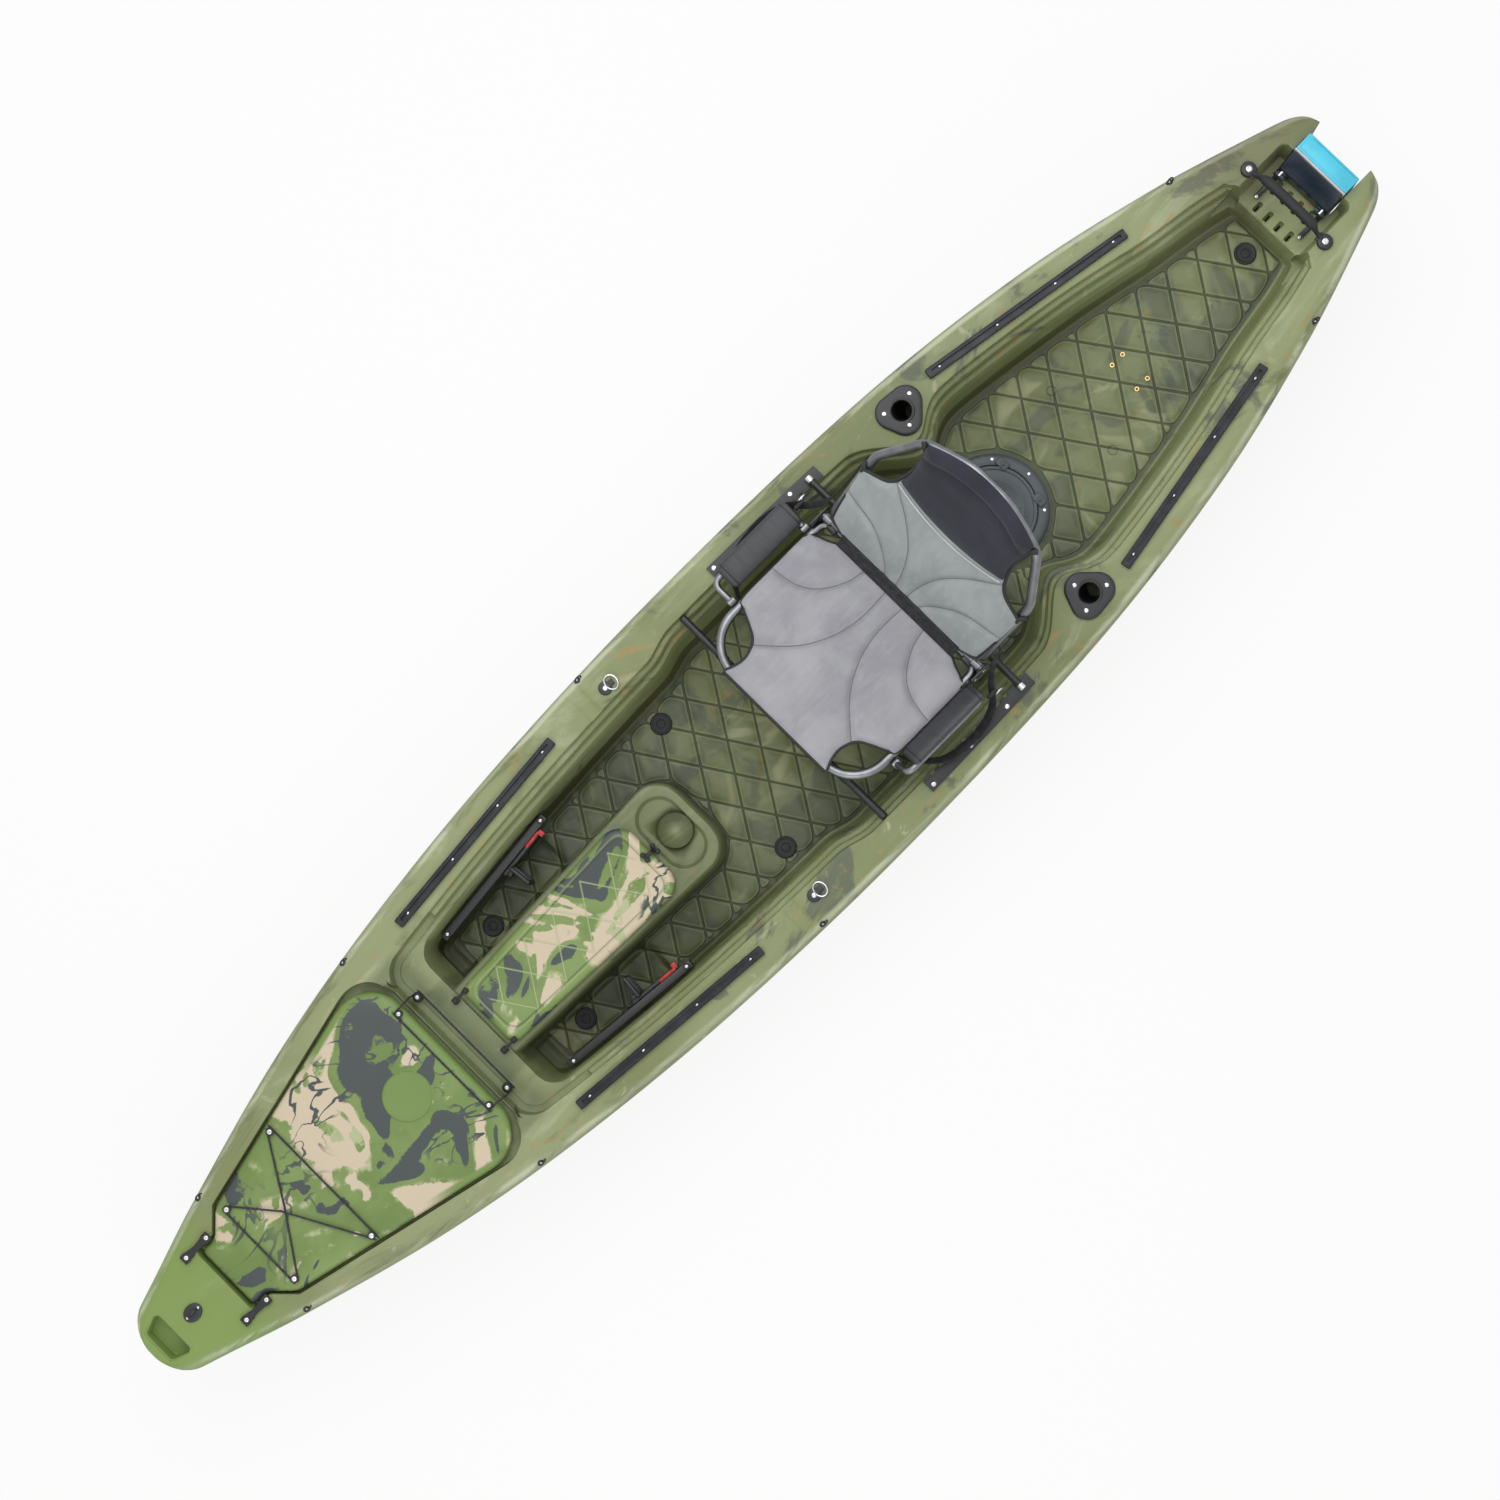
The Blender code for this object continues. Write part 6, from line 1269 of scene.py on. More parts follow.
for side, word in SIDES:
    x = 0.0687 * HALF
    y = side * (spot(half_beam, x) - 0.074)
    z = spot(deck_z, x) + SEAT_GAP
    base = lathe("base", [(0.0, 0.0165), (0.003, 0.0165), (0.0048, 0.015), (0.0056, 0.011)], (x, y, z),
                 sides=36)
    ears = rail_block("ears", (x - 0.026, y - 0.0075, z), (x - 0.008, y + 0.0075, z + 0.0042), 0.0015)
    plain(f"pad_eye_base_{word}", [base, ears], "hull")
    ring = [(x - 0.02 + 0.015 * math.cos(a), y + 0.0185 * math.sin(a), z + 0.0062 - 0.0022 * math.cos(a))
            for a in whole_turn(39)]
    wire = pipe("ring", [Vector(p) for p in ring], 0.0022, True, 4)
    eye_piece = merged(f"pad_eye_{word}", [wire, screw(x, y, z + 0.0052, 0.0062)])
    fitted(eye_piece, stainless, "stainless", "hull", f"padeye_{word}", angle=50)


# Bow eye. An oval base and a loop for a painter line, moulded in black plastic and fixed to the foredeck
# with two screws.

bow_x = 0.932 * HALF
pitch = Matrix.Translation((bow_x, 0,
                            spot(deck_z, bow_x) + 0.0006)) @ Matrix.Rotation(-math.atan(0.09 * bow_x
        / HALF**2), 4, "Y")
base = lathe("base", [(0.0, 0.02), (0.0034, 0.02), (0.0046, 0.0188), (0.0052, 0.016)], (0, 0, 0), sides=48)
base.data.transform(pitch @ Matrix.Diagonal((1.2, 1.0, 1.0, 1.0)))
arch = pipe("arch", [Vector((0.013 * math.cos(a), 0, 0.004 + 0.012 * math.sin(a)))
                     for a in np.linspace(0, math.pi, 20)], 0.0032, False, 5)
arch.data.transform(pitch)
plain("bow_eye_loop", [base, arch], "hull", "bow_eye", angle=50)
pair = merged("bow_eye_screws", [screw(-0.0175, 0, 0.0048, 0.0034), screw(0.0175, 0, 0.0048, 0.0034)])
pair.data.transform(pitch)
fitted(pair, stainless, "stainless", "hull")


# Round tank hatch. A slate-grey moulded ring, screwed into the floor behind the seat, and a hinged lid with
# a raised rim, two turn catches and a finger recess under a curved lip.

slate = moulding("hatch_slate", rgb(75, 83, 89), 0.46, 800.0, 0.00016)
ring = turned_ring("deck_ring", [(0.0003, 0.0982), (0.0003, 0.1385), (0.003, 0.1398), (0.0075, 0.1392),
                                 (0.0118, 0.135), (0.0138, 0.129), (0.014, 0.115), (0.0132, 0.111),
                                 (0.01, 0.11), (0.0068, 0.1098), (0.0068, 0.0982)],
                   (ROUND_HATCH_X, 0, ROUND_HATCH_Z), sides=96)
fitted(ring, slate, "hatch_grey", "hull", "round_hatch_ring")
bolted("deck_ring_screws", [screw(ROUND_HATCH_X + 0.1245 * math.cos(a), 0.1245 * math.sin(a), 0.1838, 0.0046)
                                   for a in np.radians(np.arange(8) * 45.0)])
cap = lathe("hatch_cap", [(0.0072, 0.104), (0.0072, 0.1078), (0.015, 0.108), (0.0176, 0.1068), (0.018, 0.103),
                          (0.0172, 0.1), (0.015, 0.0985), (0.0148, 0.078), (0.0158, 0.0765), (0.0158, 0.074),
                          (0.015, 0.0725), (0.0152, 0.02)], (ROUND_HATCH_X, 0, ROUND_HATCH_Z), sides=96)
finger = lathe("well", [(-0.006, 0.018), (-0.005, 0.022), (0.0, 0.024), (0.01, 0.024)],
               (ROUND_HATCH_X + 0.044, 0, 0.1856), sides=40)
carve_out(cap, finger)
parts = [cap]
arc = [Vector((ROUND_HATCH_X + 0.026 + 0.06 * math.cos(a), 0.045 + 0.06 * math.sin(a), 0.1866))
       for a in np.linspace(2.2, 4.3, 24)]
parts.append(pipe("lip", arc, 0.0014, False, 4))
for y in (0.062, -0.062):
    parts.append(rail_block("catch", (ROUND_HATCH_X - 0.108, y - 0.016, 0.184),
                            (ROUND_HATCH_X - 0.086, y + 0.016, 0.1905), 0.0022, 3))
    parts.append(lathe("pin", [(0.0, 0.006), (0.003, 0.006), (0.004, 0.0045)],
                       (ROUND_HATCH_X - 0.097, y, 0.1898), sides=20))
for a in np.radians((40, 140, 220, 320)):
    spoke = rail_block("rib", (0.03, -0.0016, 0.1845), (0.072, 0.0016, 0.1862), 0.0006, 2)
    spoke.data.transform(Matrix.Translation((ROUND_HATCH_X, 0, 0)) @ Matrix.Rotation(a, 4, "Z"))
    parts.append(spoke)
fitted(merged("hatch_cap", parts), slate, "hatch_grey", "round_lid", "round_hatch_lid")


# Drain plugs. Five moulded rubber plugs, pushed into the self-draining holes of the cockpit, the foot wells
# and the stern. Each has a dished head and a pull ring.

PLUGS = [("cockpit_plug_port", "plug_cockpit_port", 0.107, 0.213, 0.0),
         ("cockpit_plug_starboard", "plug_cockpit_starboard", 0.107, -0.213, 0.0),
         ("foot_well_plug_port", "plug_foot_well_port", 0.745, 0.16, 0.018),
         ("foot_well_plug_starboard", "plug_foot_well_starboard", 0.745, -0.16, 0.018),
         ("stern_plug", "plug_stern", -1.67838, 0.0, 0.0)]
for node, body, x, y, drop in PLUGS:
    z = spot(floor_z, x) - drop
    plug = lathe(f"{node}_cap", [(-0.02, 0.015), (-0.018, 0.0163), (-0.0005, 0.0163), (0.0002, 0.0255),
                                 (0.0022, 0.027), (0.0044, 0.0266), (0.0062, 0.0248), (0.0064, 0.0228),
                                 (0.005, 0.0212), (0.0044, 0.018), (0.0052, 0.011), (0.006, 0.004)],
                 (x, y, z), sides=48)
    ring = pipe("pull", [Vector((x + 0.0105 * math.cos(a), y + 0.0105 * math.sin(a), z + 0.0062))
                         for a in whole_turn(27)], 0.0013, True, 3)
    fitted(merged(f"{node}_cap", [plug, ring]), rubber, "black_rubber", body, node, angle=50)


# Foot braces. Each is a toothed rail of black plastic, screwed to the side wall, a carriage with a ribbed
# pedal that slides along it, and a small red release lever.

lever_red = moulding("lever_red", rgb(206, 44, 40), 0.4, 600.0, 0.0001, 1.15)


def wall_y(x, z):
    low, high = spot(floor_z, x) + 0.02, spot(deck_z, x) - 0.062
    return spot(well_half, x) - 0.028 - 0.0187 * (1 - (z - low) / (high - low))


for side, word in SIDES:
    ends = [Vector((x, side * (wall_y(x, 0.188) - 0.011), 0.205)) for x in (0.46, 0.838)]
    run = ends[1] - ends[0]
    seat_of = Matrix.Translation(ends[0]) @ run.to_track_quat("X", "Z").to_matrix().to_4x4()
    rail = rail_block("rail", (0, -0.01, -0.017), (run.length, 0.01, 0.017), 0.0022, 3)
    carve_out(rail, rail_block("groove", (0.012, -side * 0.002, -0.006),
                               (run.length - 0.012, -side * 0.03, 0.006), 0.001, 1))
    teeth = [rail_block("tooth", (0.016 + k * 0.0125, -side * 0.01 - 0.0012, -0.0165),
                        (0.022 + k * 0.0125, -side * 0.01 + 0.0012, -0.0075), 0.0006, 1)
             for k in range(27)]
    hoops = [lathe("foot", [(0.0, 0.0085), (0.0022, 0.0085), (0.0034, 0.007)], (x, 0, 0.016), sides=20)
             for x in (0.014, run.length - 0.014)]
    rail = merged(f"brace_rail_{word}", [rail] + teeth + hoops)
    rail.data.transform(seat_of)
    fitted(rail, black, "black_plastic", "hull", f"foot_rail_{word}")
    heads = merged(f"brace_screws_{word}", [screw(x, 0, 0.019, 0.0046) for x in (0.014, run.length - 0.014)])
    heads.data.transform(seat_of)
    fitted(heads, stainless, "stainless", "hull")
    inner = 0.0103
    carriage = rail_block("carriage", (0.036, -side * inner, -0.012), (0.17, -side * (inner + 0.01), 0.012),
                          0.0025, 3)
    low_y, high_y = sorted((-side * (inner + 0.006), -side * 0.078))
    plate = rail_block("pedal", (0.1415, low_y, -0.078), (0.152, high_y, 0.03), 0.0045, 4)
    ribs = [rail_block("rib", (0.1385, low_y + 0.006, z), (0.1435, high_y - 0.006, z + 0.0035), 0.0012, 2)
            for z in np.arange(-0.068, 0.024, 0.0105)]
    web = rail_block("web", (0.15, -side * 0.018, -0.04), (0.166, -side * 0.03, 0.008), 0.003, 2)
    pedal = merged(f"brace_pedal_{word}", [carriage, plate, web] + ribs)
    pedal.data.transform(seat_of)
    fitted(pedal, black, "black_plastic", f"pedal_{word}", f"foot_pedal_{word}")
    lever = [rail_block("tongue", (0.052, -side * inner, 0.0125), (0.086, -side * (inner + 0.008), 0.0165),
                        0.0012, 2),
            rail_block("fork", (0.038, -side * inner, 0.0125), (0.054, -side * (inner + 0.007), 0.019),
                       0.0018, 2),
            rail_block("tab", (0.03, -side * (inner + 0.002), 0.014),
                       (0.043, -side * (inner + 0.018), 0.0185), 0.0018, 2),
            lathe("button", [(0.0, 0.0042), (0.0024, 0.0042), (0.0034, 0.003)],
                  (0.078, -side * (inner + 0.004), 0.016), sides=20)]
    lever = merged(f"brace_lever_{word}", lever)
    lever.data.transform(seat_of)
    fitted(lever, lever_red, "lever_red", f"pedal_release_{word}", f"pedal_lever_{word}")


# Seat frame. A loop of aluminium tube on four legs and two black cross tubes, with hinge plates at the
# rear. A second loop carries the back and turns on a rod.

SEAT_Z, SEAT_REAR, SEAT_FRONT, SEAT_HALF = 0.43, -0.505, -0.098, 0.246
LEG_HALF, EAR_OUT, HINGE_UP = 0.2, 0.262, 0.04
tube_grey = metal("frame_tube", (0.25, 0.26, 0.275, 1.0), 0.34, 300.0)
painted_black = moulding("painted_black", rgb(34, 35, 38), 0.34, 500.0, 0.00006, 1.3)


def rounded_loop(rear, front, half, rear_r, front_r, z):
    corners = [(rear, -half, rear_r), (front, -half, front_r), (front, half, front_r), (rear, half, rear_r)]
    return [Vector((x, y, z)) for x, y in round_corners(corners, 14)]


def bar(start, end, radius):
    """A straight tube between two points with softly rounded ends."""
    start, end = Vector(start), Vector(end)
    run = (end - start).length
    edge = min(0.0012, radius * 0.3)
    return lathe("bar", [(0.0, radius - edge), (edge, radius), (run - edge, radius), (run, radius - edge)],
                 start, (end - start).normalized(), 28)


seat_loop = pipe("seat_loop", rounded_loop(SEAT_REAR, SEAT_FRONT, SEAT_HALF, 0.03, 0.1, SEAT_Z), 0.011, True,
                 6)
front_x, rear_x = -0.11, -0.55
front_z = spot(deck_z, front_x) - 0.022 + 0.0096
rear_z = spot(deck_z, rear_x) + 0.01775
front_half = spot(well_half, -0.13) - 0.003
rear_half = spot(well_half, rear_x) + 0.024
legs = [bar((front_x, s * LEG_HALF, front_z), (front_x - 0.004, s * LEG_HALF, SEAT_Z), 0.008)
        for s in (1, -1)]
legs += [bar((rear_x, s * LEG_HALF, rear_z), (SEAT_REAR, s * LEG_HALF, SEAT_Z), 0.008) for s in (1, -1)]
fitted(merged("seat_loop", [seat_loop] + legs), tube_grey, "seat_tube", "seat", "seat_frame")
cross = [bar((front_x, -front_half, front_z), (front_x, front_half, front_z), 0.009),
         bar((rear_x, -rear_half, rear_z), (rear_x, rear_half, rear_z), 0.009)]
for s in (1, -1):
    cross.append(rail_block("ear", (SEAT_REAR - 0.018, s * 0.255, SEAT_Z - 0.008),
                            (SEAT_REAR + 0.038, s * EAR_OUT, SEAT_Z + 0.054), 0.0025, 3))
    for x, z in ((front_x, front_z), (rear_x, rear_z)):
        cross.append(bar((x, s * (LEG_HALF - 0.013), z), (x, s * (LEG_HALF + 0.013), z), 0.0112))
    cross.append(rail_block("hinge_block", (SEAT_REAR - 0.014, s * 0.203, SEAT_Z - 0.002),
                            (SEAT_REAR + 0.016, s * 0.231, SEAT_Z + 0.0325), 0.004, 3))
    cross.append(bar((front_x, s * (front_half - 0.03), front_z),
                     (front_x, s * (front_half - 0.001), front_z), 0.0095))
fitted(merged("seat_cross_tubes", cross), painted_black, "black_plastic", "seat")
bolts = [bar((rear_x, s * (rear_half - 0.014), rear_z), (rear_x, s * (rear_half + 0.001), rear_z), 0.0098)
         for s in (1, -1)]
bolts += [screw(SEAT_REAR, s * EAR_OUT, SEAT_Z + HINGE_UP, 0.0062, (0, s, 0)) for s in (1, -1)]
bolts += [screw(SEAT_REAR + 0.026, s * EAR_OUT, SEAT_Z + 0.004, 0.005, (0, s, 0)) for s in (1, -1)]
bolted("seat_bolts", bolts, "seat")
back_seat = Matrix.Translation((SEAT_REAR, 0, SEAT_Z + HINGE_UP)) @ Matrix(((-0.5878, 0, 0.809, 0),
        (0, -1, 0, 0), (0.809, 0, 0.5878, 0), (0, 0, 0, 1)))
crown_corners = [(0.014, 0.238, 0.03), (0.268, 0.238, 0.075), (0.408, 0.17, 0.075), (0.4555, 0.055, 0.12)]
hoop = round_corners(mirrored(crown_corners), 14)
back_loop = pipe("back_loop", [Vector((x, y, 0.0)) for x, y in hoop], 0.011, True, 6)
rod = bar((0, -0.2547, 0), (0, 0.2547, 0), 0.006)
lugs = [bar((0.0, s * 0.226, 0), (0.0, s * 0.25, 0), 0.0105) for s in (1, -1)]
back_loop = merged("back_loop", [back_loop, rod] + lugs)
back_loop.data.transform(back_seat)
fitted(back_loop, tube_grey, "seat_tube", "seat_backrest", "seat_back_frame")


# Seat rails. Notched rails of black moulded plastic, one on each side. They are fixed to the shelf of the
# cockpit with three bright bolts each.

for side, word in SIDES:
    outlines = []
    for x in np.linspace(-0.58, -0.231, 14):
        low = spot(deck_z, x) + SEAT_GAP
        inner, outer = side * (spot(well_half, x) + 0.002), side * (spot(well_half, x) + 0.036)
        ring = [(x, inner, low), (x, outer, low), (x, outer, low + 0.007),
                (x, (inner + outer * 3) / 4, low + 0.008), (x, (inner * 3 + outer) / 4, low + 0.008),
                (x, inner, low + 0.007)]
        outlines.append(ring if side > 0 else ring[::-1])
    rail = stacked(f"slide_rail_{word}", outlines)
    clean_up(rail)
    for k, x in enumerate(np.linspace(-0.545, -0.262, 9)):
        edge = side * (spot(well_half, x) + 0.002)
        size = 0.016 if k in (2, 7) else 0.006
        carve_out(rail, rail_block("notch", (x - size, edge - 0.006, 0), (x + size, edge + 0.006, 0.5), 0.001,
                                   1))
    fitted(rail, black, "black_plastic", "hull", f"seat_rail_{word}")
    spots = [(x, side * (spot(well_half, x) + 0.024), spot(deck_z, x) + 0.0082)
             for x in (-0.494, -0.37, -0.245)]
    bolted(f"slide_rail_bolts_{word}", [screw(*place, 0.0062) for place in spots])


# Seat and back covers. Padded laminated mesh, cut away in scallops at the corners, quilted along curved
# seams and bound with black tape. The back carries a navy pocket with pale piping along its mouth.


def fabric(name, tone, shadow, seams=(), streak=1.0, thread=(150, 153, 152)):
    """Woven cover: fine weave, soft streaks and stitched seams, which are read from the panel's points."""
    finish = new_finish(name)
    along, across = read("along"), read("across")
    weave = (along * (math.pi / 0.0008)).math("SINE") * (across * (math.pi / 0.0008)).math("SINE")
    cloud = noise(7.0, 4.0, 0.6, 0.5)
    nap = noise(60.0, 4.0, 0.7, 0.2, at=place_wire(scale=(0.25, 1.0, 0.4)))
    creases = noise(13.0, 3.0, 0.55, 0.7)
    base = mixed(cloud.rise(0.3, 0.72), shadow, tone)
    pale = tuple(min(c * 1.18, 1.0) for c in tone[:3]) + (1.0,)
    base = mixed(nap.rise(0.45, 0.7) * 0.28 * streak, base, pale)
    height = weave * 0.12 + nap * 0.25 + creases * 2.4
    for seam in seams:
        off = read(seam)
        line = 1 - abs(off).rise(0.0006, 0.0018)
        shade_side = (1 - abs(off + 0.0045).rise(0.001, 0.006))
        stitch = (read(f"{seam}_run") * (1 / 0.0042)).from_whole().rise(0.18, 0.26)
        base = mixed(shade_side * 0.22, base, tuple(c * 0.5 for c in shadow[:3]) + (1.0,))
        base = mixed(line * 0.75, base, tuple(c * 0.42 for c in shadow[:3]) + (1.0,))
        base = mixed(line * stitch * 0.55, base, rgb(*thread))
        height = height - line * 1.6 + line * stitch * 0.9
    return shade(finish, base, 0.78 + nap * 0.1, height, 0.0011,
                 **{"Sheen Weight": 0.12, "Sheen Roughness": 0.5})


def stitched_along(piece, attribute, spots, line):
    """Stores each point's signed distance from a seam line, and how far along the seam it lies."""
    line = np.array([tuple(p)[:2] for p in smooth_line([(x, y, 0) for x, y in line], 14)])
    step = np.diff(line, axis=0)
    length = np.hypot(*step.T)
    total = np.concatenate([[0], np.cumsum(length)])
    best = np.full(len(spots), 9.0)
    side = np.zeros(len(spots))
    run = np.zeros(len(spots))
    for k, (p, d) in enumerate(zip(line, step)):
        rel = spots - p
        t = np.clip(rel @ d / length[k]**2, 0, 1)
        gap = np.hypot(*(rel - t[:, None] * d).T)
        near = gap < best
        cross = d[0] * rel[:, 1] - d[1] * rel[:, 0]
        side = np.where(near, np.sign(cross), side)
        run = np.where(near, total[k] + t * length[k], run)
        best = np.minimum(best, gap)
    keep(piece, attribute, np.tile(best * side, 2))
    keep(piece, f"{attribute}_run", np.tile(run, 2))


def seam_gap(spots, line):
    line = np.array([tuple(p)[:2] for p in smooth_line([(x, y, 0) for x, y in line], 10)])
    return np.hypot(spots[:, None, 0] - line[None, :, 0], spots[:, None, 1] - line[None, :, 1]).min(axis=1)


def padded_panel(name, border, low, edge, height, seams=None, columns=121, rows=150, front=None, rear=None,
                 thin_end=True):
    """A padded panel from its border, (distance along, half width), with sewn channels and edges drawn in."""
    border = np.array([tuple(p)[:2] for p in smooth_line([(x, y, 0) for x, y in border], 10)])
    total = np.concatenate([[0], np.cumsum(np.hypot(*np.diff(border, axis=0).T))])
    at = np.linspace(0, total[-1], rows)
    xs, halves = np.interp(at, total, border[:, 0]), np.interp(at, total, border[:, 1])
    share = np.sin(np.linspace(-1, 1, columns) * math.pi / 2 * 0.86) / math.sin(math.pi / 2 * 0.86)
    x = np.repeat(xs[:, None], columns, axis=1)
    y = halves[:, None] * share[None, :]
    if rear:
        start, stop = border[0, 0], border[-1, 0]
        run = (x - start) / (stop - start)
        x = rear(y) + (front(y) - rear(y)) * run
    spots = np.stack([x.ravel(), y.ravel()], axis=1)
    folded = np.stack([spots[:, 0], np.abs(spots[:, 1])], axis=1)
    inset = np.minimum((halves[:, None] - np.abs(y)), np.minimum(at, total[-1] - at)[:, None] + 0 * y).ravel()
    puff = 1 - np.exp(-np.maximum(inset, 0) / 0.014)
    for line in (seams or {}).values():
        puff = puff * (1 - 0.55 * np.exp(-(seam_gap(folded, line) / 0.009)**2))
    ripple = 0.0009 * np.sin(spots[:, 0] * 61 + 2.2 * np.sin(spots[:, 1] * 17)) * np.sin(spots[:, 1] * 43
            + 1.3 * np.sin(spots[:, 0] * 23))
    if thin_end:
        puff = puff * (0.25 + 0.75 * ramp(spots[:, 0] - border[0, 0], 0.0, 0.075))
    z = low + edge + (height - edge) * puff + ripple * puff
    n = len(spots)
    vertices = np.concatenate([np.column_stack([spots, z]), np.column_stack([spots, np.full(n, low)])])
    i, k = np.meshgrid(np.arange(rows - 1), np.arange(columns - 1), indexing="ij")
    a = (i * columns + k).ravel()
    top = np.column_stack([a, a + columns, a + columns + 1, a + 1])
    faces = [tuple(f) for f in top.tolist()] + [tuple(v + n for v in f[::-1]) for f in top.tolist()]
    rim_points = (list(range(columns)) + [r * columns + columns - 1 for r in range(1, rows)]
                  + [(rows - 1) * columns + k for k in range(columns - 2, -1, -1)]
                  + [r * columns for r in range(rows - 2, 0, -1)])
    for a, b in zip(rim_points, rim_points[1:] + rim_points[:1]):
        faces.append((a, b, b + n, a + n))
    mesh = bpy.data.meshes.new(name)
    mesh.from_pydata(vertices.tolist(), [], faces)
    panel_piece = placed(name, mesh)
    for word, column in (("along", 0), ("across", 1)):
        keep(panel_piece, word, np.tile(spots[:, column], 2))
    for word, line in (seams or {}).items():
        stitched_along(panel_piece, word, folded, line)
    clean_up(panel_piece, None)
    return panel_piece


PAN_LOW = 0.43983
pan_border = [(-0.487, 0.168), (-0.48, 0.184), (-0.468, 0.208), (-0.456, 0.238), (-0.44, 0.252),
              (-0.34, 0.253), (-0.24, 0.252), (-0.224, 0.236), (-0.207, 0.2), (-0.19, 0.171), (-0.165, 0.156),
              (-0.14, 0.151), (-0.115, 0.155), (-0.097, 0.162), (-0.087, 0.166)]
pan_seams = {"long": [(-0.5, 0.031), (-0.46, 0.026), (-0.39, 0.026), (-0.32, 0.043), (-0.25, 0.083),
                      (-0.185, 0.15), (-0.16, 0.19)],
             "short": [(-0.5, 0.094), (-0.47, 0.098), (-0.43, 0.108), (-0.38, 0.138), (-0.35, 0.178),
                       (-0.338, 0.225), (-0.336, 0.25)]}
pan_cloth = fabric("pan_cloth", rgb(170, 170, 175), rgb(148, 148, 154), ("long", "short"))
pan = padded_panel("pan_cover", pan_border, PAN_LOW, 0.008, 0.022, pan_seams)
fitted(pan, pan_cloth, "seat_fabric", "seat", "seat_pan", angle=50)
back_low = 0.00983
back_border = [(0.01, 0.176), (0.018, 0.2), (0.032, 0.226), (0.048, 0.232), (0.12, 0.238), (0.214, 0.243),
               (0.226, 0.236), (0.236, 0.212), (0.25, 0.184), (0.272, 0.167), (0.3, 0.158)]
back_seams = {"long": [(0.0, 0.018), (0.055, 0.022), (0.11, 0.035), (0.16, 0.058), (0.215, 0.1),
                       (0.262, 0.15), (0.28, 0.175)],
              "short": [(0.0, 0.05), (0.04, 0.064), (0.085, 0.1), (0.12, 0.15), (0.135, 0.215),
                        (0.137, 0.25)]}
back_cloth = fabric("back_cloth", rgb(164, 170, 171), rgb(144, 150, 151), ("long", "short"))
back = padded_panel("back_cover", back_border, back_low, 0.006, 0.02, back_seams)
back.data.transform(back_seat)
fitted(back, back_cloth, "back_fabric", "seat_backrest", "seat_back", angle=50)


def mouth(y):
    return 0.262 + 0.026 * (np.abs(y) / 0.155)**2


def crest(y):
    return 0.4685 - 0.046 * (np.abs(y) / 0.157)**2


pocket_border = [(0.262, 0.157), (0.32, 0.15), (0.36, 0.15), (0.4, 0.153), (0.462, 0.158)]
pocket_seams = {"top": [(0.432, -0.02), (0.43, 0.03), (0.42, 0.08), (0.4, 0.125), (0.386, 0.165)]}
navy = fabric("pocket_cloth", rgb(42, 43, 57), rgb(28, 29, 41), ("top",), 0.7, (30, 30, 38))
pocket = padded_panel("back_pocket_cover", pocket_border, back_low, 0.012, 0.027, pocket_seams, 101, 100,
                      crest, mouth, False)
pocket.data.transform(back_seat)
fitted(pocket, navy, "pocket_fabric", "seat_backrest", "back_pocket", angle=50)


def binding(name, line, radius, place=None):
    tape = pipe(name, smooth_line(line, 6), radius, sides=3)
    if place:
        tape.data.transform(place)
    return tape


tapes = []
for s in (1, -1):
    tapes.append(binding("tape", [(x, s * y, PAN_LOW + 0.007) for x, y in pan_border[7:]], 0.0042))
    tapes.append(binding("tape", [(x, s * y, PAN_LOW + 0.006) for x, y in pan_border[:5]], 0.0038))
    tapes.append(binding("tape", [(x, s * (y + 0.001), PAN_LOW + 0.004) for x, y in pan_border[4:8]], 0.0028))
tapes.append(binding("tape", [(-0.0865, y, PAN_LOW + 0.006) for y in np.linspace(-0.166, 0.166, 9)], 0.0048))
fitted(merged("pan_binding", tapes), rubber, "black_rubber", "seat", angle=60)
tapes = []
for s in (1, -1):
    tapes.append(binding("tape", [(x, s * y, back_low + 0.006)
                                  for x, y in back_border[5:]
                                  + [(0.34, 0.151), (0.38, 0.152), (0.416, 0.157)]], 0.0044, back_seat))
    tapes.append(binding("tape", [(x, s * y, back_low + 0.006) for x, y in back_border[:5]], 0.0036,
                         back_seat))
    tapes.append(binding("tab", [(0.4, s * 0.15, 0.012), (0.412, s * 0.163, 0.0155),
                                 (0.42, s * 0.172, 0.012)], 0.0065, back_seat))
    tapes.append(binding("tab", [(0.214, s * 0.234, 0.0135), (0.228, s * 0.244, 0.012),
                                 (0.232, s * 0.249, 0.002)], 0.0065, back_seat))
fitted(merged("back_binding", tapes), rubber, "black_rubber", "seat_backrest", angle=60)
white_piping = moulding("pale_piping", rgb(205, 208, 204), 0.5, 900.0, 0.0002, 1.1)
lip_line = [(float(mouth(y)) - 0.002, y, back_low + 0.0215) for y in np.linspace(-0.155, 0.155, 11)]
fitted(binding("pocket_piping", lip_line, 0.002, back_seat), white_piping, "trim_white", "seat_backrest",
       angle=60)


# Hinge cover and side straps. A strip of black webbing joins the pan to the back over the hinge rod. A
# webbing strap with a buckle runs along each side, from the top of the back down to the front of the seat.


def webbing_finish(name):
    finish = new_finish(name)
    rib = (coordinate(1) * (math.pi / 0.0015)).math("SINE") + (coordinate(2)
            * (math.pi / 0.0015)).math("SINE")
    wear = noise(55.0, 4.0, 0.65)
    base = mixed(wear.rise(0.4, 0.7), rgb(26, 26, 29), rgb(50, 50, 54))
    return shade(finish, base, 0.72, rib * 0.2 + wear * 0.5, 0.0004)


webbing = webbing_finish("black_webbing")


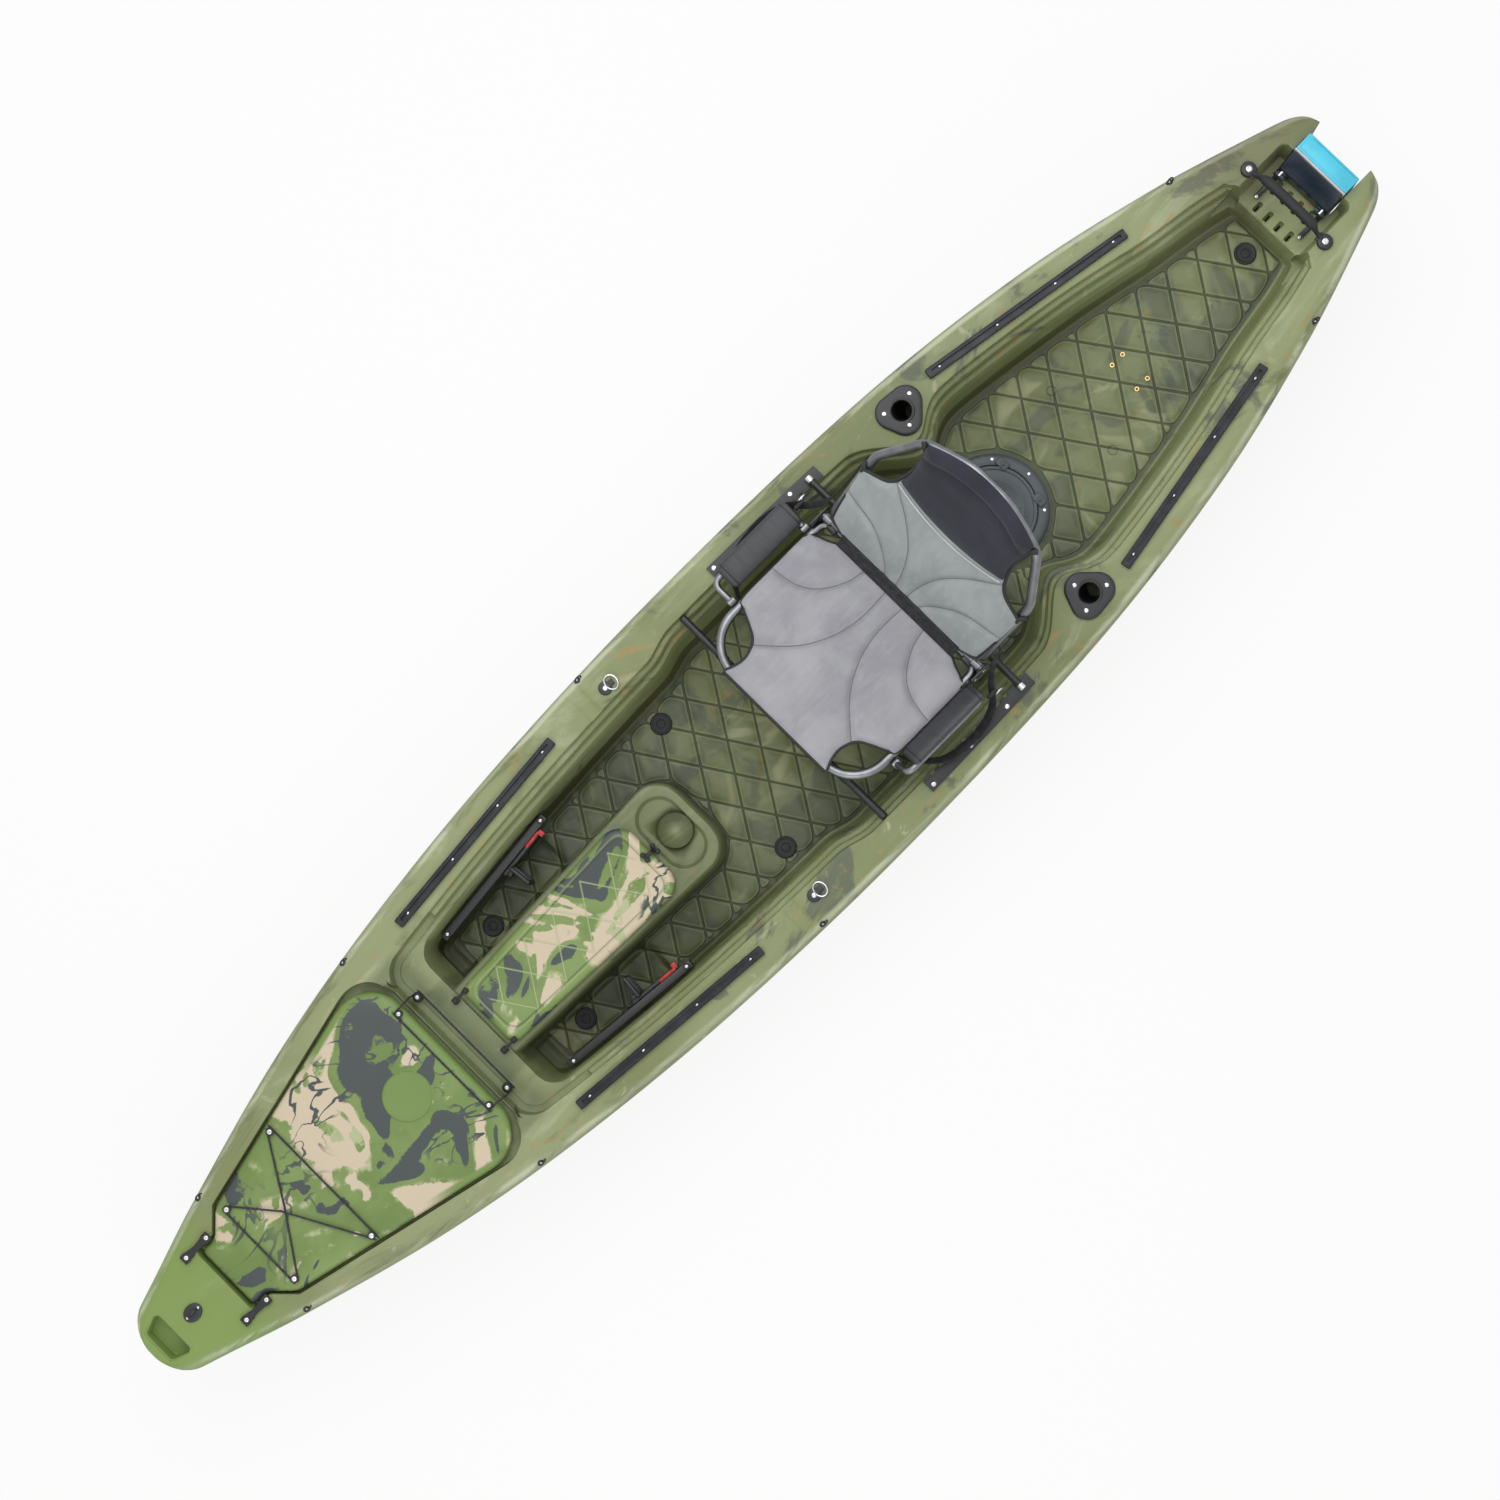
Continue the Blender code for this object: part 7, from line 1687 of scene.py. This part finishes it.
def ribbon(name, line, across, thickness):
    """A flat strap: its middle line and half-width vector at each point."""
    outlines = []
    for i, (p, w) in enumerate(zip(line, across)):
        p, w = Vector(p), Vector(w)
        ahead = Vector(line[min(i + 1, len(line) - 1)]) - Vector(line[max(i - 1, 0)])
        up = w.cross(ahead).normalized() * thickness
        outlines.append([tuple(p - w - up), tuple(p + w - up), tuple(p + w + up), tuple(p - w + up)])
    strap = stacked(name, outlines)
    clean_up(strap)
    return bevelled(strap, thickness * 0.6, 2, 60)


section = smooth_line([(-0.4775, 0, 0.454), (-0.481, 0, 0.4595), (-0.485, 0, 0.4655), (-0.4912, 0, 0.473),
                       (-0.4945, 0, 0.4805), (-0.4975, 0, 0.49), (-0.5005, 0, 0.5)], 4)
strip = ribbon("hinge_cover", [tuple(p) for p in section], [(0, 0.186, 0)] * len(section), 0.0015)
fitted(strip, webbing, "black_rubber", angle=60)
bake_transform(strip)
for side, word in SIDES:
    way = [(-0.232, 0.262, 0.42), (-0.25, 0.292, 0.404), (-0.3, 0.338, 0.396), (-0.36, 0.352, 0.395),
           (-0.42, 0.35, 0.402), (-0.468, 0.33, 0.425), (-0.5, 0.292, 0.46), (-0.535, 0.264, 0.512),
           (-0.59, 0.2555, 0.585), (-0.652, 0.2545, 0.662)]
    line = [(p.x, side * p.y, p.z) for p in smooth_line(way, 6)]
    widths = [Vector((-0.5, side * 0.06, 0.8)).lerp(Vector((0.0, side * 0.8, 0.6)),
                  float(ramp(-p[0], 0.56, 0.44))).normalized() * 0.0125 for p in line]
    strap = ribbon(f"side_strap_{word}", line, widths, 0.0009)
    buckle = rail_block("buckle", (-0.497, side * 0.312 - 0.005, 0.43), (-0.469, side * 0.312 + 0.005, 0.46),
                        0.003, 3)
    fitted(merged(f"side_strap_{word}", [strap, buckle]), webbing, "black_rubber", angle=60)
    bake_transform(bpy.data.objects[f"side_strap_{word}"])
    hook = pipe("strap_hook", [Vector((-0.498 + 0.011 * math.cos(a), side * 0.3185,
                                       0.452 + 0.014 * math.sin(a))) for a in whole_turn(23)], 0.0022, True,
                3)
    hook.name = f"strap_hook_{word}"
    fitted(hook, stainless, "stainless", "seat", angle=60)


# Armrests. Bails of bent tube that swing on the seat loop. Each carries a charcoal foam pad in a smooth
# vinyl sleeve with a seam round each end.

vinyl = moulding("pad_vinyl", rgb(58, 59, 63), 0.5, 420.0, 0.00022, 1.35)
ARM_REAR, ARM_FRONT, ARM_HALF, PAD_OUT, PAD_UP = -0.455, -0.215, 0.2673, 0.046, 0.0145
for side, word, lift in ((1, "port", 52.0), (-1, "starboard", 0.0)):
    arm_seat = Matrix.Translation((0, side * ARM_HALF, SEAT_Z)) @ Matrix.Rotation(math.radians(lift), 4, "X")
    corners = round_corners([(ARM_REAR, -0.001, 0.0005), (ARM_FRONT, -0.001, 0.0005), (ARM_FRONT, 0.06, 0.02),
                             (ARM_REAR, 0.06, 0.02)], 10)
    bend = [Vector((x, side * y, 0)) for x, y in corners if y > 0.001]
    line = [Vector((ARM_FRONT, 0, 0))] + bend + [Vector((ARM_REAR, 0, 0))]
    bail = pipe("bail", line, 0.008, False, 6)
    eyes = [bar((x - 0.01, 0, 0), (x + 0.01, 0, 0), 0.01) for x in (ARM_REAR, ARM_FRONT)]
    bail = merged(f"arm_bail_{word}", [bail] + eyes)
    bail.data.transform(arm_seat)
    fitted(bail, tube_grey, "seat_tube", f"armrest_{word}", f"armrest_tube_{word}")
    middle, reach = -0.3535, 0.1125
    outlines = []
    for u in np.linspace(-1, 1, 61):
        taper = max(1 - abs(u)**14, 0.0) ** 0.25
        swell = 0.02 * (0.3 + 0.7 * taper)
        half = 0.0345 * (0.55 + 0.45 * taper)
        sag = 0.0006 * math.sin(u * 19) + 0.0004 * math.sin(u * 43)
        ring = []
        for a in whole_turn(40, 2 * math.pi):
            c, s = math.cos(a), math.sin(a)
            flat = 0.6 if s < 0 else 1.0
            ring.append((middle + reach * u, side * (PAD_OUT + half * math.copysign(abs(c)**0.72, c)),
                         PAD_UP + swell * 0.72 * flat * math.copysign(abs(s)**0.8, s) + sag * (s > 0)))
        outlines.append(ring if side > 0 else ring[::-1])
    pad = stacked(f"arm_pad_{word}", outlines)
    clean_up(pad)
    pad.data.transform(arm_seat)
    fitted(pad, vinyl, "pad_foam", f"armrest_{word}", f"armrest_pad_{word}", angle=50)
    bands = [pipe("band", [Vector((x,
                                   side * (PAD_OUT + 0.035
                                           * math.copysign(abs(math.cos(a))**0.72, math.cos(a))),
                                   PAD_UP + 0.015 * (0.6 if math.sin(a) < 0 else 1.0)
                                   * math.copysign(abs(math.sin(a))**0.8, math.sin(a))))
                           for a in whole_turn(40, 6.2832)], 0.0011, True, 3) for x in (-0.452, -0.255)]
    bands = merged(f"arm_pad_seams_{word}", bands)
    bands.data.transform(arm_seat)
    fitted(bands, webbing, "pad_foam", f"armrest_{word}", angle=60)


# Stern drive head. A navy moulded housing with a sloping front, a cyan top cover behind a pale trim line,
# and lugs that the tilt pins pass through. A black bracket holds it on the stern deck.

DRIVE_X, DRIVE_AFT = -1.89308, -1.94158
PIN_X, PIN_Z = -1.83791, 0.33
DRIVE_HALF = 0.079
COVER_LOW, COVER_TOP = 0.3573, 0.3945
navy_shell = moulding("drive_navy", rgb(24, 38, 52), 0.3, 300.0, 0.00005, 1.5)
cyan_shell = moulding("drive_cyan", rgb(82, 205, 232), 0.36, 300.0, 0.00005, 1.06)
shell = rail_block("shell", (DRIVE_AFT, -DRIVE_HALF, 0.285), (-1.85241, DRIVE_HALF, 0.357), 0.005, 4)
wedge_side = [(DRIVE_X + 0.0046, 0.352), (-1.8454, 0.3075), (-1.8454, 0.349), (DRIVE_X + 0.0046, 0.3895)]
wedge = stacked("wedge", [[(x, y, z) for x, z in wedge_side] for y in (0.0785, -0.0785)])
bevelled(wedge, 0.004, 4)
front_ribs = [rail_block("rib", (-1.8535, y - 0.0012, 0.296), (-1.8508, y + 0.0012, 0.33), 0.0006, 2)
              for y in np.linspace(-0.04, 0.04, 9)]
lugs = []
for s in (1, -1):
    lugs.append(rail_block("lug", (-1.86, s * 0.05, 0.3225), (-1.8395, s * 0.0637, 0.3375), 0.002, 2))
    lugs.append(turned_ring("lug_eye",
                            [(-0.00685, 0.0042), (-0.00685, 0.0085), (-0.006, 0.0092), (0.006, 0.0092),
                             (0.00685, 0.0085), (0.00685, 0.0042)], (PIN_X, s * 0.05685, PIN_Z), (0, 1, 0),
                            32))
    for z in (0.3, 0.32):
        lugs.append(screw(DRIVE_X - 0.024, s * DRIVE_HALF, z, 0.0036, (0, s, 0)))
grooves = [rail_block("groove", (-1.943, s * 0.0782, 0.3405), (-1.858, s * 0.081, 0.3422), 0.0004, 1)
           for s in (1, -1)]
carve_out(shell, merged("groove", grooves))
fitted(merged("drive_shell", [shell, wedge] + front_ribs + lugs), navy_shell, "drive_navy", "drive_head",
       "drive_housing", angle=40)
cover = rail_block("cover", (DRIVE_AFT, -DRIVE_HALF, COVER_LOW), (DRIVE_X, DRIVE_HALF, COVER_TOP), 0.004, 4)
carve_out(cover, rail_block("field", (-1.937, -0.0735, 0.3938), (-1.8985, 0.0735, 0.42), 0.0004, 1))
inset = rail_block("inset", (-1.9335, -0.0705, 0.386), (-1.901, 0.0705, 0.39435), 0.0006, 2)
line = rail_block("drive_cover_line", (-1.9362, -0.064, 0.386), (-1.9348, 0.07, 0.39425), 0.0003, 1)
fitted(merged("drive_cover_shell", [cover, inset]), cyan_shell, "drive_blue", "drive_head", "drive_cover",
       angle=40)
fitted(line, moulding("cover_line", rgb(36, 150, 205), 0.4), "drive_blue", "drive_head")
trim = rail_block("drive_trim_strip", (-1.893, -DRIVE_HALF, COVER_LOW), (-1.8886, DRIVE_HALF, COVER_TOP),
                  0.0009, 2)
fitted(trim, white_piping, "trim_white", "drive_head", "drive_trim")
lugs_bright = [bar((-1.87, s * 0.0655, 0.3415), (-1.833, s * 0.0655, 0.3345), 0.0038) for s in (1, -1)]
bolted("drive_clips", lugs_bright, "drive_head")
bracket = []
for s in (1, -1):
    bracket.append(rail_block("bar", (-1.8429, s * 0.064, 0.3058), (-1.768, s * 0.076, 0.3175), 0.0022, 3))
    bracket.append(rail_block("ear", (-1.846, s * 0.064, 0.309), (-1.83, s * 0.076, 0.3385), 0.003, 3))
    bracket.append(bar((PIN_X, s * 0.049, PIN_Z), (PIN_X, s * 0.0765, PIN_Z), 0.0035))
    bracket.append(lathe("boss", [(0.0, 0.0085), (0.0022, 0.0085), (0.0032, 0.007)],
                         (PIN_X, s * 0.0758, PIN_Z), (0, s, 0), 24))
fitted(merged("drive_bracket_bars", bracket), painted_black, "black_plastic", "hull", "drive_bracket")
bolted("drive_bracket_screws", [screw(x, s * 0.07, 0.3173, 0.0045) for x in (-1.768, -1.81) for s in (1, -1)])


# Drive leg, motor pod and nozzle. A cast silver leg of streamlined section carries a grey metal pod, with
# the motor inside, four fins, and a ring nozzle round a black moulded propeller.

leg_silver = metal("leg_silver", (0.58, 0.6, 0.62, 1.0), 0.33, 200.0)
pod_grey = metal("pod_grey", (0.3, 0.31, 0.33, 1.0), 0.42, 160.0)
stem = bar((DRIVE_X, 0, 0.284), (DRIVE_X, 0, 0.33), 0.008)
outlines = []
for z in np.linspace(0.086, 0.2845, 24):
    flare = 1 + 0.55 * math.exp(-((z - 0.086) / 0.012)**2) + 0.35 * math.exp(-((0.2845 - z) / 0.01)**2)
    ring = []
    for a in whole_turn(40, 2 * math.pi):
        stretch = 0.0215 if math.cos(a) < 0 else 0.0165
        ring.append((DRIVE_X + min(stretch * flare, 0.026) * math.cos(a),
                     0.0125 * flare * math.sin(a) * (0.7 + 0.3 * math.cos(a) if math.cos(a) < 0 else 1),
                     float(z)))
    outlines.append(ring)
blade = stacked("strut", outlines)
clean_up(blade)
collar = turned_ring("collar", [(0.0, 0.01), (0.0, 0.0225), (0.0016, 0.024), (0.0085, 0.024), (0.01, 0.0225),
                                (0.01, 0.01)], (DRIVE_X, 0, 0.2745))
fitted(merged("drive_strut", [stem, blade, collar]), leg_silver, "leg_metal", "drive_leg_assembly",
       "drive_leg", angle=40)
POD_Z, NOZZLE_AFT, NOZZLE_FORE, PROPELLER_X = 0.084, -1.962, -1.912, -1.92708
pod = turned_ring("pod", [(0.0, 0.0265), (0.0, 0.029), (0.002, 0.03), (0.081, 0.03), (0.089, 0.029),
                          (0.0965, 0.0245), (0.101, 0.018), (0.1045, 0.0118), (0.1048, 0.01), (0.1, 0.01),
                          (0.085, 0.0268)], (-1.915, 0, POD_Z), (1, 0, 0), 56)
nose = lathe("nose", [(0.0, 0.011), (0.0046, 0.0108), (0.0056, 0.008), (0.006, 0.003)], (-1.8112, 0, POD_Z),
             (1, 0, 0), 40)
bands = [turned_ring("band", [(0.0, 0.0295), (0.0, 0.0308), (0.003, 0.0308), (0.003, 0.0295)], (x, 0, POD_Z),
                     (1, 0, 0), 48) for x in (-1.908, -1.844)]
duct = turned_ring("duct", [(0.0, 0.065), (0.0008, 0.0664), (0.02, 0.069), (0.038, 0.07), (0.046, 0.0698),
                            (0.0495, 0.068), (0.05, 0.066), (0.047, 0.0645), (0.03, 0.064), (0.01, 0.0642)],
                   (NOZZLE_AFT, 0, POD_Z), (1, 0, 0), 96)
fins = []
for k in range(4):
    fin = rail_block("fin", (NOZZLE_FORE, -0.0015, 0.0285), (-1.884, 0.0015, 0.0655), 0.001, 2)
    tail = rail_block("fin", (NOZZLE_FORE - 0.016, -0.0015, 0.064), (NOZZLE_FORE + 0.004, 0.0015, 0.0668),
                      0.0004, 1)
    fin = merged("fin", [fin, tail])
    fin.data.transform(Matrix.Translation((0, 0, POD_Z)) @ Matrix.Rotation(math.radians(45 + 90 * k), 4, "X"))
    fins.append(fin)
fitted(merged("motor_pod_shell", [pod, nose, duct] + bands + fins), pod_grey, "motor_metal",
       "drive_leg_assembly", "motor_pod", angle=35)
hub = lathe("hub", [(-0.0105, 0.004), (-0.01, 0.0068), (-0.006, 0.0086), (0.0, 0.0108), (0.009, 0.0128),
                    (0.0105, 0.0128)], (PROPELLER_X, 0, POD_Z), (1, 0, 0), 48)
blades = []
for k in range(3):
    outlines = []
    for share in np.linspace(0, 1, 26):
        reach = 0.006 + (0.0585 - 0.006) * share
        tip = max(share - 0.82, 0) / 0.18
        chord = (0.02 + 0.016 * math.sin(math.pi * min(share + 0.1, 1.0)) - 0.008 * share) * (1
                - 0.55 * tip * tip)
        turn = math.radians(52 + (20 - 52) * share)
        sweep = -0.006 * share**2
        ring = []
        for a in whole_turn(24, 2 * math.pi):
            c = 0.5 * chord * math.cos(a) + sweep
            thick = 0.0015 * (1 - 0.5 * share) * math.sin(a)
            ring.append((PROPELLER_X + c * math.sin(turn) + thick * math.cos(turn),
                         c * math.cos(turn) - thick * math.sin(turn), float(reach)))
        outlines.append(ring)
    blade = stacked("blade", outlines)
    clean_up(blade)
    blade.data.transform(Matrix.Translation((0, 0, POD_Z)) @ Matrix.Rotation(math.radians(120 * k), 4, "X"))
    blades.append(blade)
prop_black = moulding("prop_black", rgb(30, 32, 36), 0.32, 400.0, 0.00006, 1.5)
fitted(merged("propeller_blades", [hub] + blades), prop_black, "prop_plastic", "propeller_body", "propeller",
       angle=40)


# Stern carry handle. A ribbed rubber grip on a webbing strap. A round black bracket with a bright bolt
# holds it to the deck at each end.

HANDLE_X, HANDLE_HALF = -1.785, 0.123
rise = spot(deck_z, HANDLE_X)
for s, word in SIDES:
    ring = lathe("foot", [(0.0, 0.019), (0.006, 0.019), (0.0092, 0.0172), (0.011, 0.013), (0.0112, 0.01)],
                 (HANDLE_X, s * HANDLE_HALF, rise + SEAT_GAP), sides=48)
    tongue = rail_block("tongue", (HANDLE_X - 0.012, s * 0.1, rise + SEAT_GAP),
                        (HANDLE_X + 0.012, s * 0.118, rise + 0.0072), 0.0024, 3)
    plain(f"handle_foot_{word}", [ring, tongue], "hull", f"handle_bracket_{word}")
bolted("handle_bolts", [screw(HANDLE_X, s * HANDLE_HALF, rise + 0.0108, 0.0078) for s in (1, -1)])
half_line = [(0.112, 0.0078), (0.1, 0.0095), (0.09, 0.019), (0.079, 0.032), (0.066, 0.0385), (0.04, 0.0415),
             (0.0, 0.042)]
middle = [(HANDLE_X, y, rise + z) for y, z in half_line] + [(HANDLE_X, -y, rise + z)
        for y, z in half_line[-2::-1]]
middle = smooth_line(middle, 14)
radii = []
for p in middle:
    reach = abs(p.y)
    base = 0.44 if reach > 0.094 else 0.44 + 0.56 * float(ramp(reach, 0.094, 0.07))
    rib = 0.055 * max(math.cos(reach * 2 * math.pi / 0.009), -0.2) if reach < 0.064 else 0.0
    radii.append(base + rib)
grip = pipe("stern_grip", middle, 0.0125, False, 8, radii)
fitted(grip, rubber, "black_rubber", "hull", "stern_handle", angle=50)


# Small deck fittings. Eight black moulded side eyes, each with a bright screw, on the slope of the
# gunwales, and four brass inserts for accessories, moulded into the tank floor.



def skin_height(x, y):
    return height_at(np.array([x]), np.array([y])).item()


brass = metal("brass_insert", (0.72, 0.52, 0.24, 1.0), 0.3, 400.0)
inserts = []
for x in (-1.307, -1.272):
    for y in (0.0415, -0.0415):
        z = skin_height(x, y)
        inserts.append(turned_ring("insert",
                                   [(-0.004, 0.0028), (-0.004, 0.0062), (0.0004, 0.0062), (0.0009, 0.0056),
                                    (0.0009, 0.0034), (0.0002, 0.0028)], (x, y, z + 0.0016), sides=32))
fitted(merged("brass_inserts", inserts), brass, "stainless", "hull")
eyes, eye_bolts = [], []
for x, s in [(x, s) for s in (1, -1) for x in (1.655, 1.03, 0.17, -1.64)]:
    half = spot(half_beam, x)
    y = s * (half - 0.012)
    z = skin_height(x, y)
    up = Vector((0, s * 0.62, 0.78)).normalized()
    eyes.append(lathe("eye", [(-0.004, 0.0085), (0.0022, 0.0085), (0.0036, 0.007), (0.004, 0.005)], (x, y, z),
                      up, 24))
    eyes.append(pipe("loop", [Vector((x - 0.004 - 0.009 * math.sin(a), y, z))
                              + up * (0.003 + 0.006 * math.cos(a)) for a in whole_turn(21)], 0.0019, True, 3))
    eye_bolts.append(screw(*(Vector((x, y, z)) + up * 0.0036), 0.0034, tuple(up)))
plain("side_eyes", eyes, "hull", angle=50)
bolted("side_eye_screws", eye_bolts)


# Battery, controller, motor and servo. The parts inside the hull and the drive, seen through an open hatch
# or not at all: a sealed battery case, an aluminium controller, a motor can and a steering servo.

for node, finish in (("battery", moulding("battery_case", rgb(46, 48, 52), 0.5)),
                     ("motor_controller", metal("controller_case", (0.36, 0.37, 0.39, 1.0), 0.4)),
                     ("drive_motor", metal("motor_can", (0.3, 0.31, 0.34, 1.0), 0.35)),
                     ("steering_servo", moulding("servo_case", rgb(34, 36, 40), 0.45))):
    solid = bpy.data.objects[node]
    solid.data.materials.clear()
    solid.data.materials.append(finish)
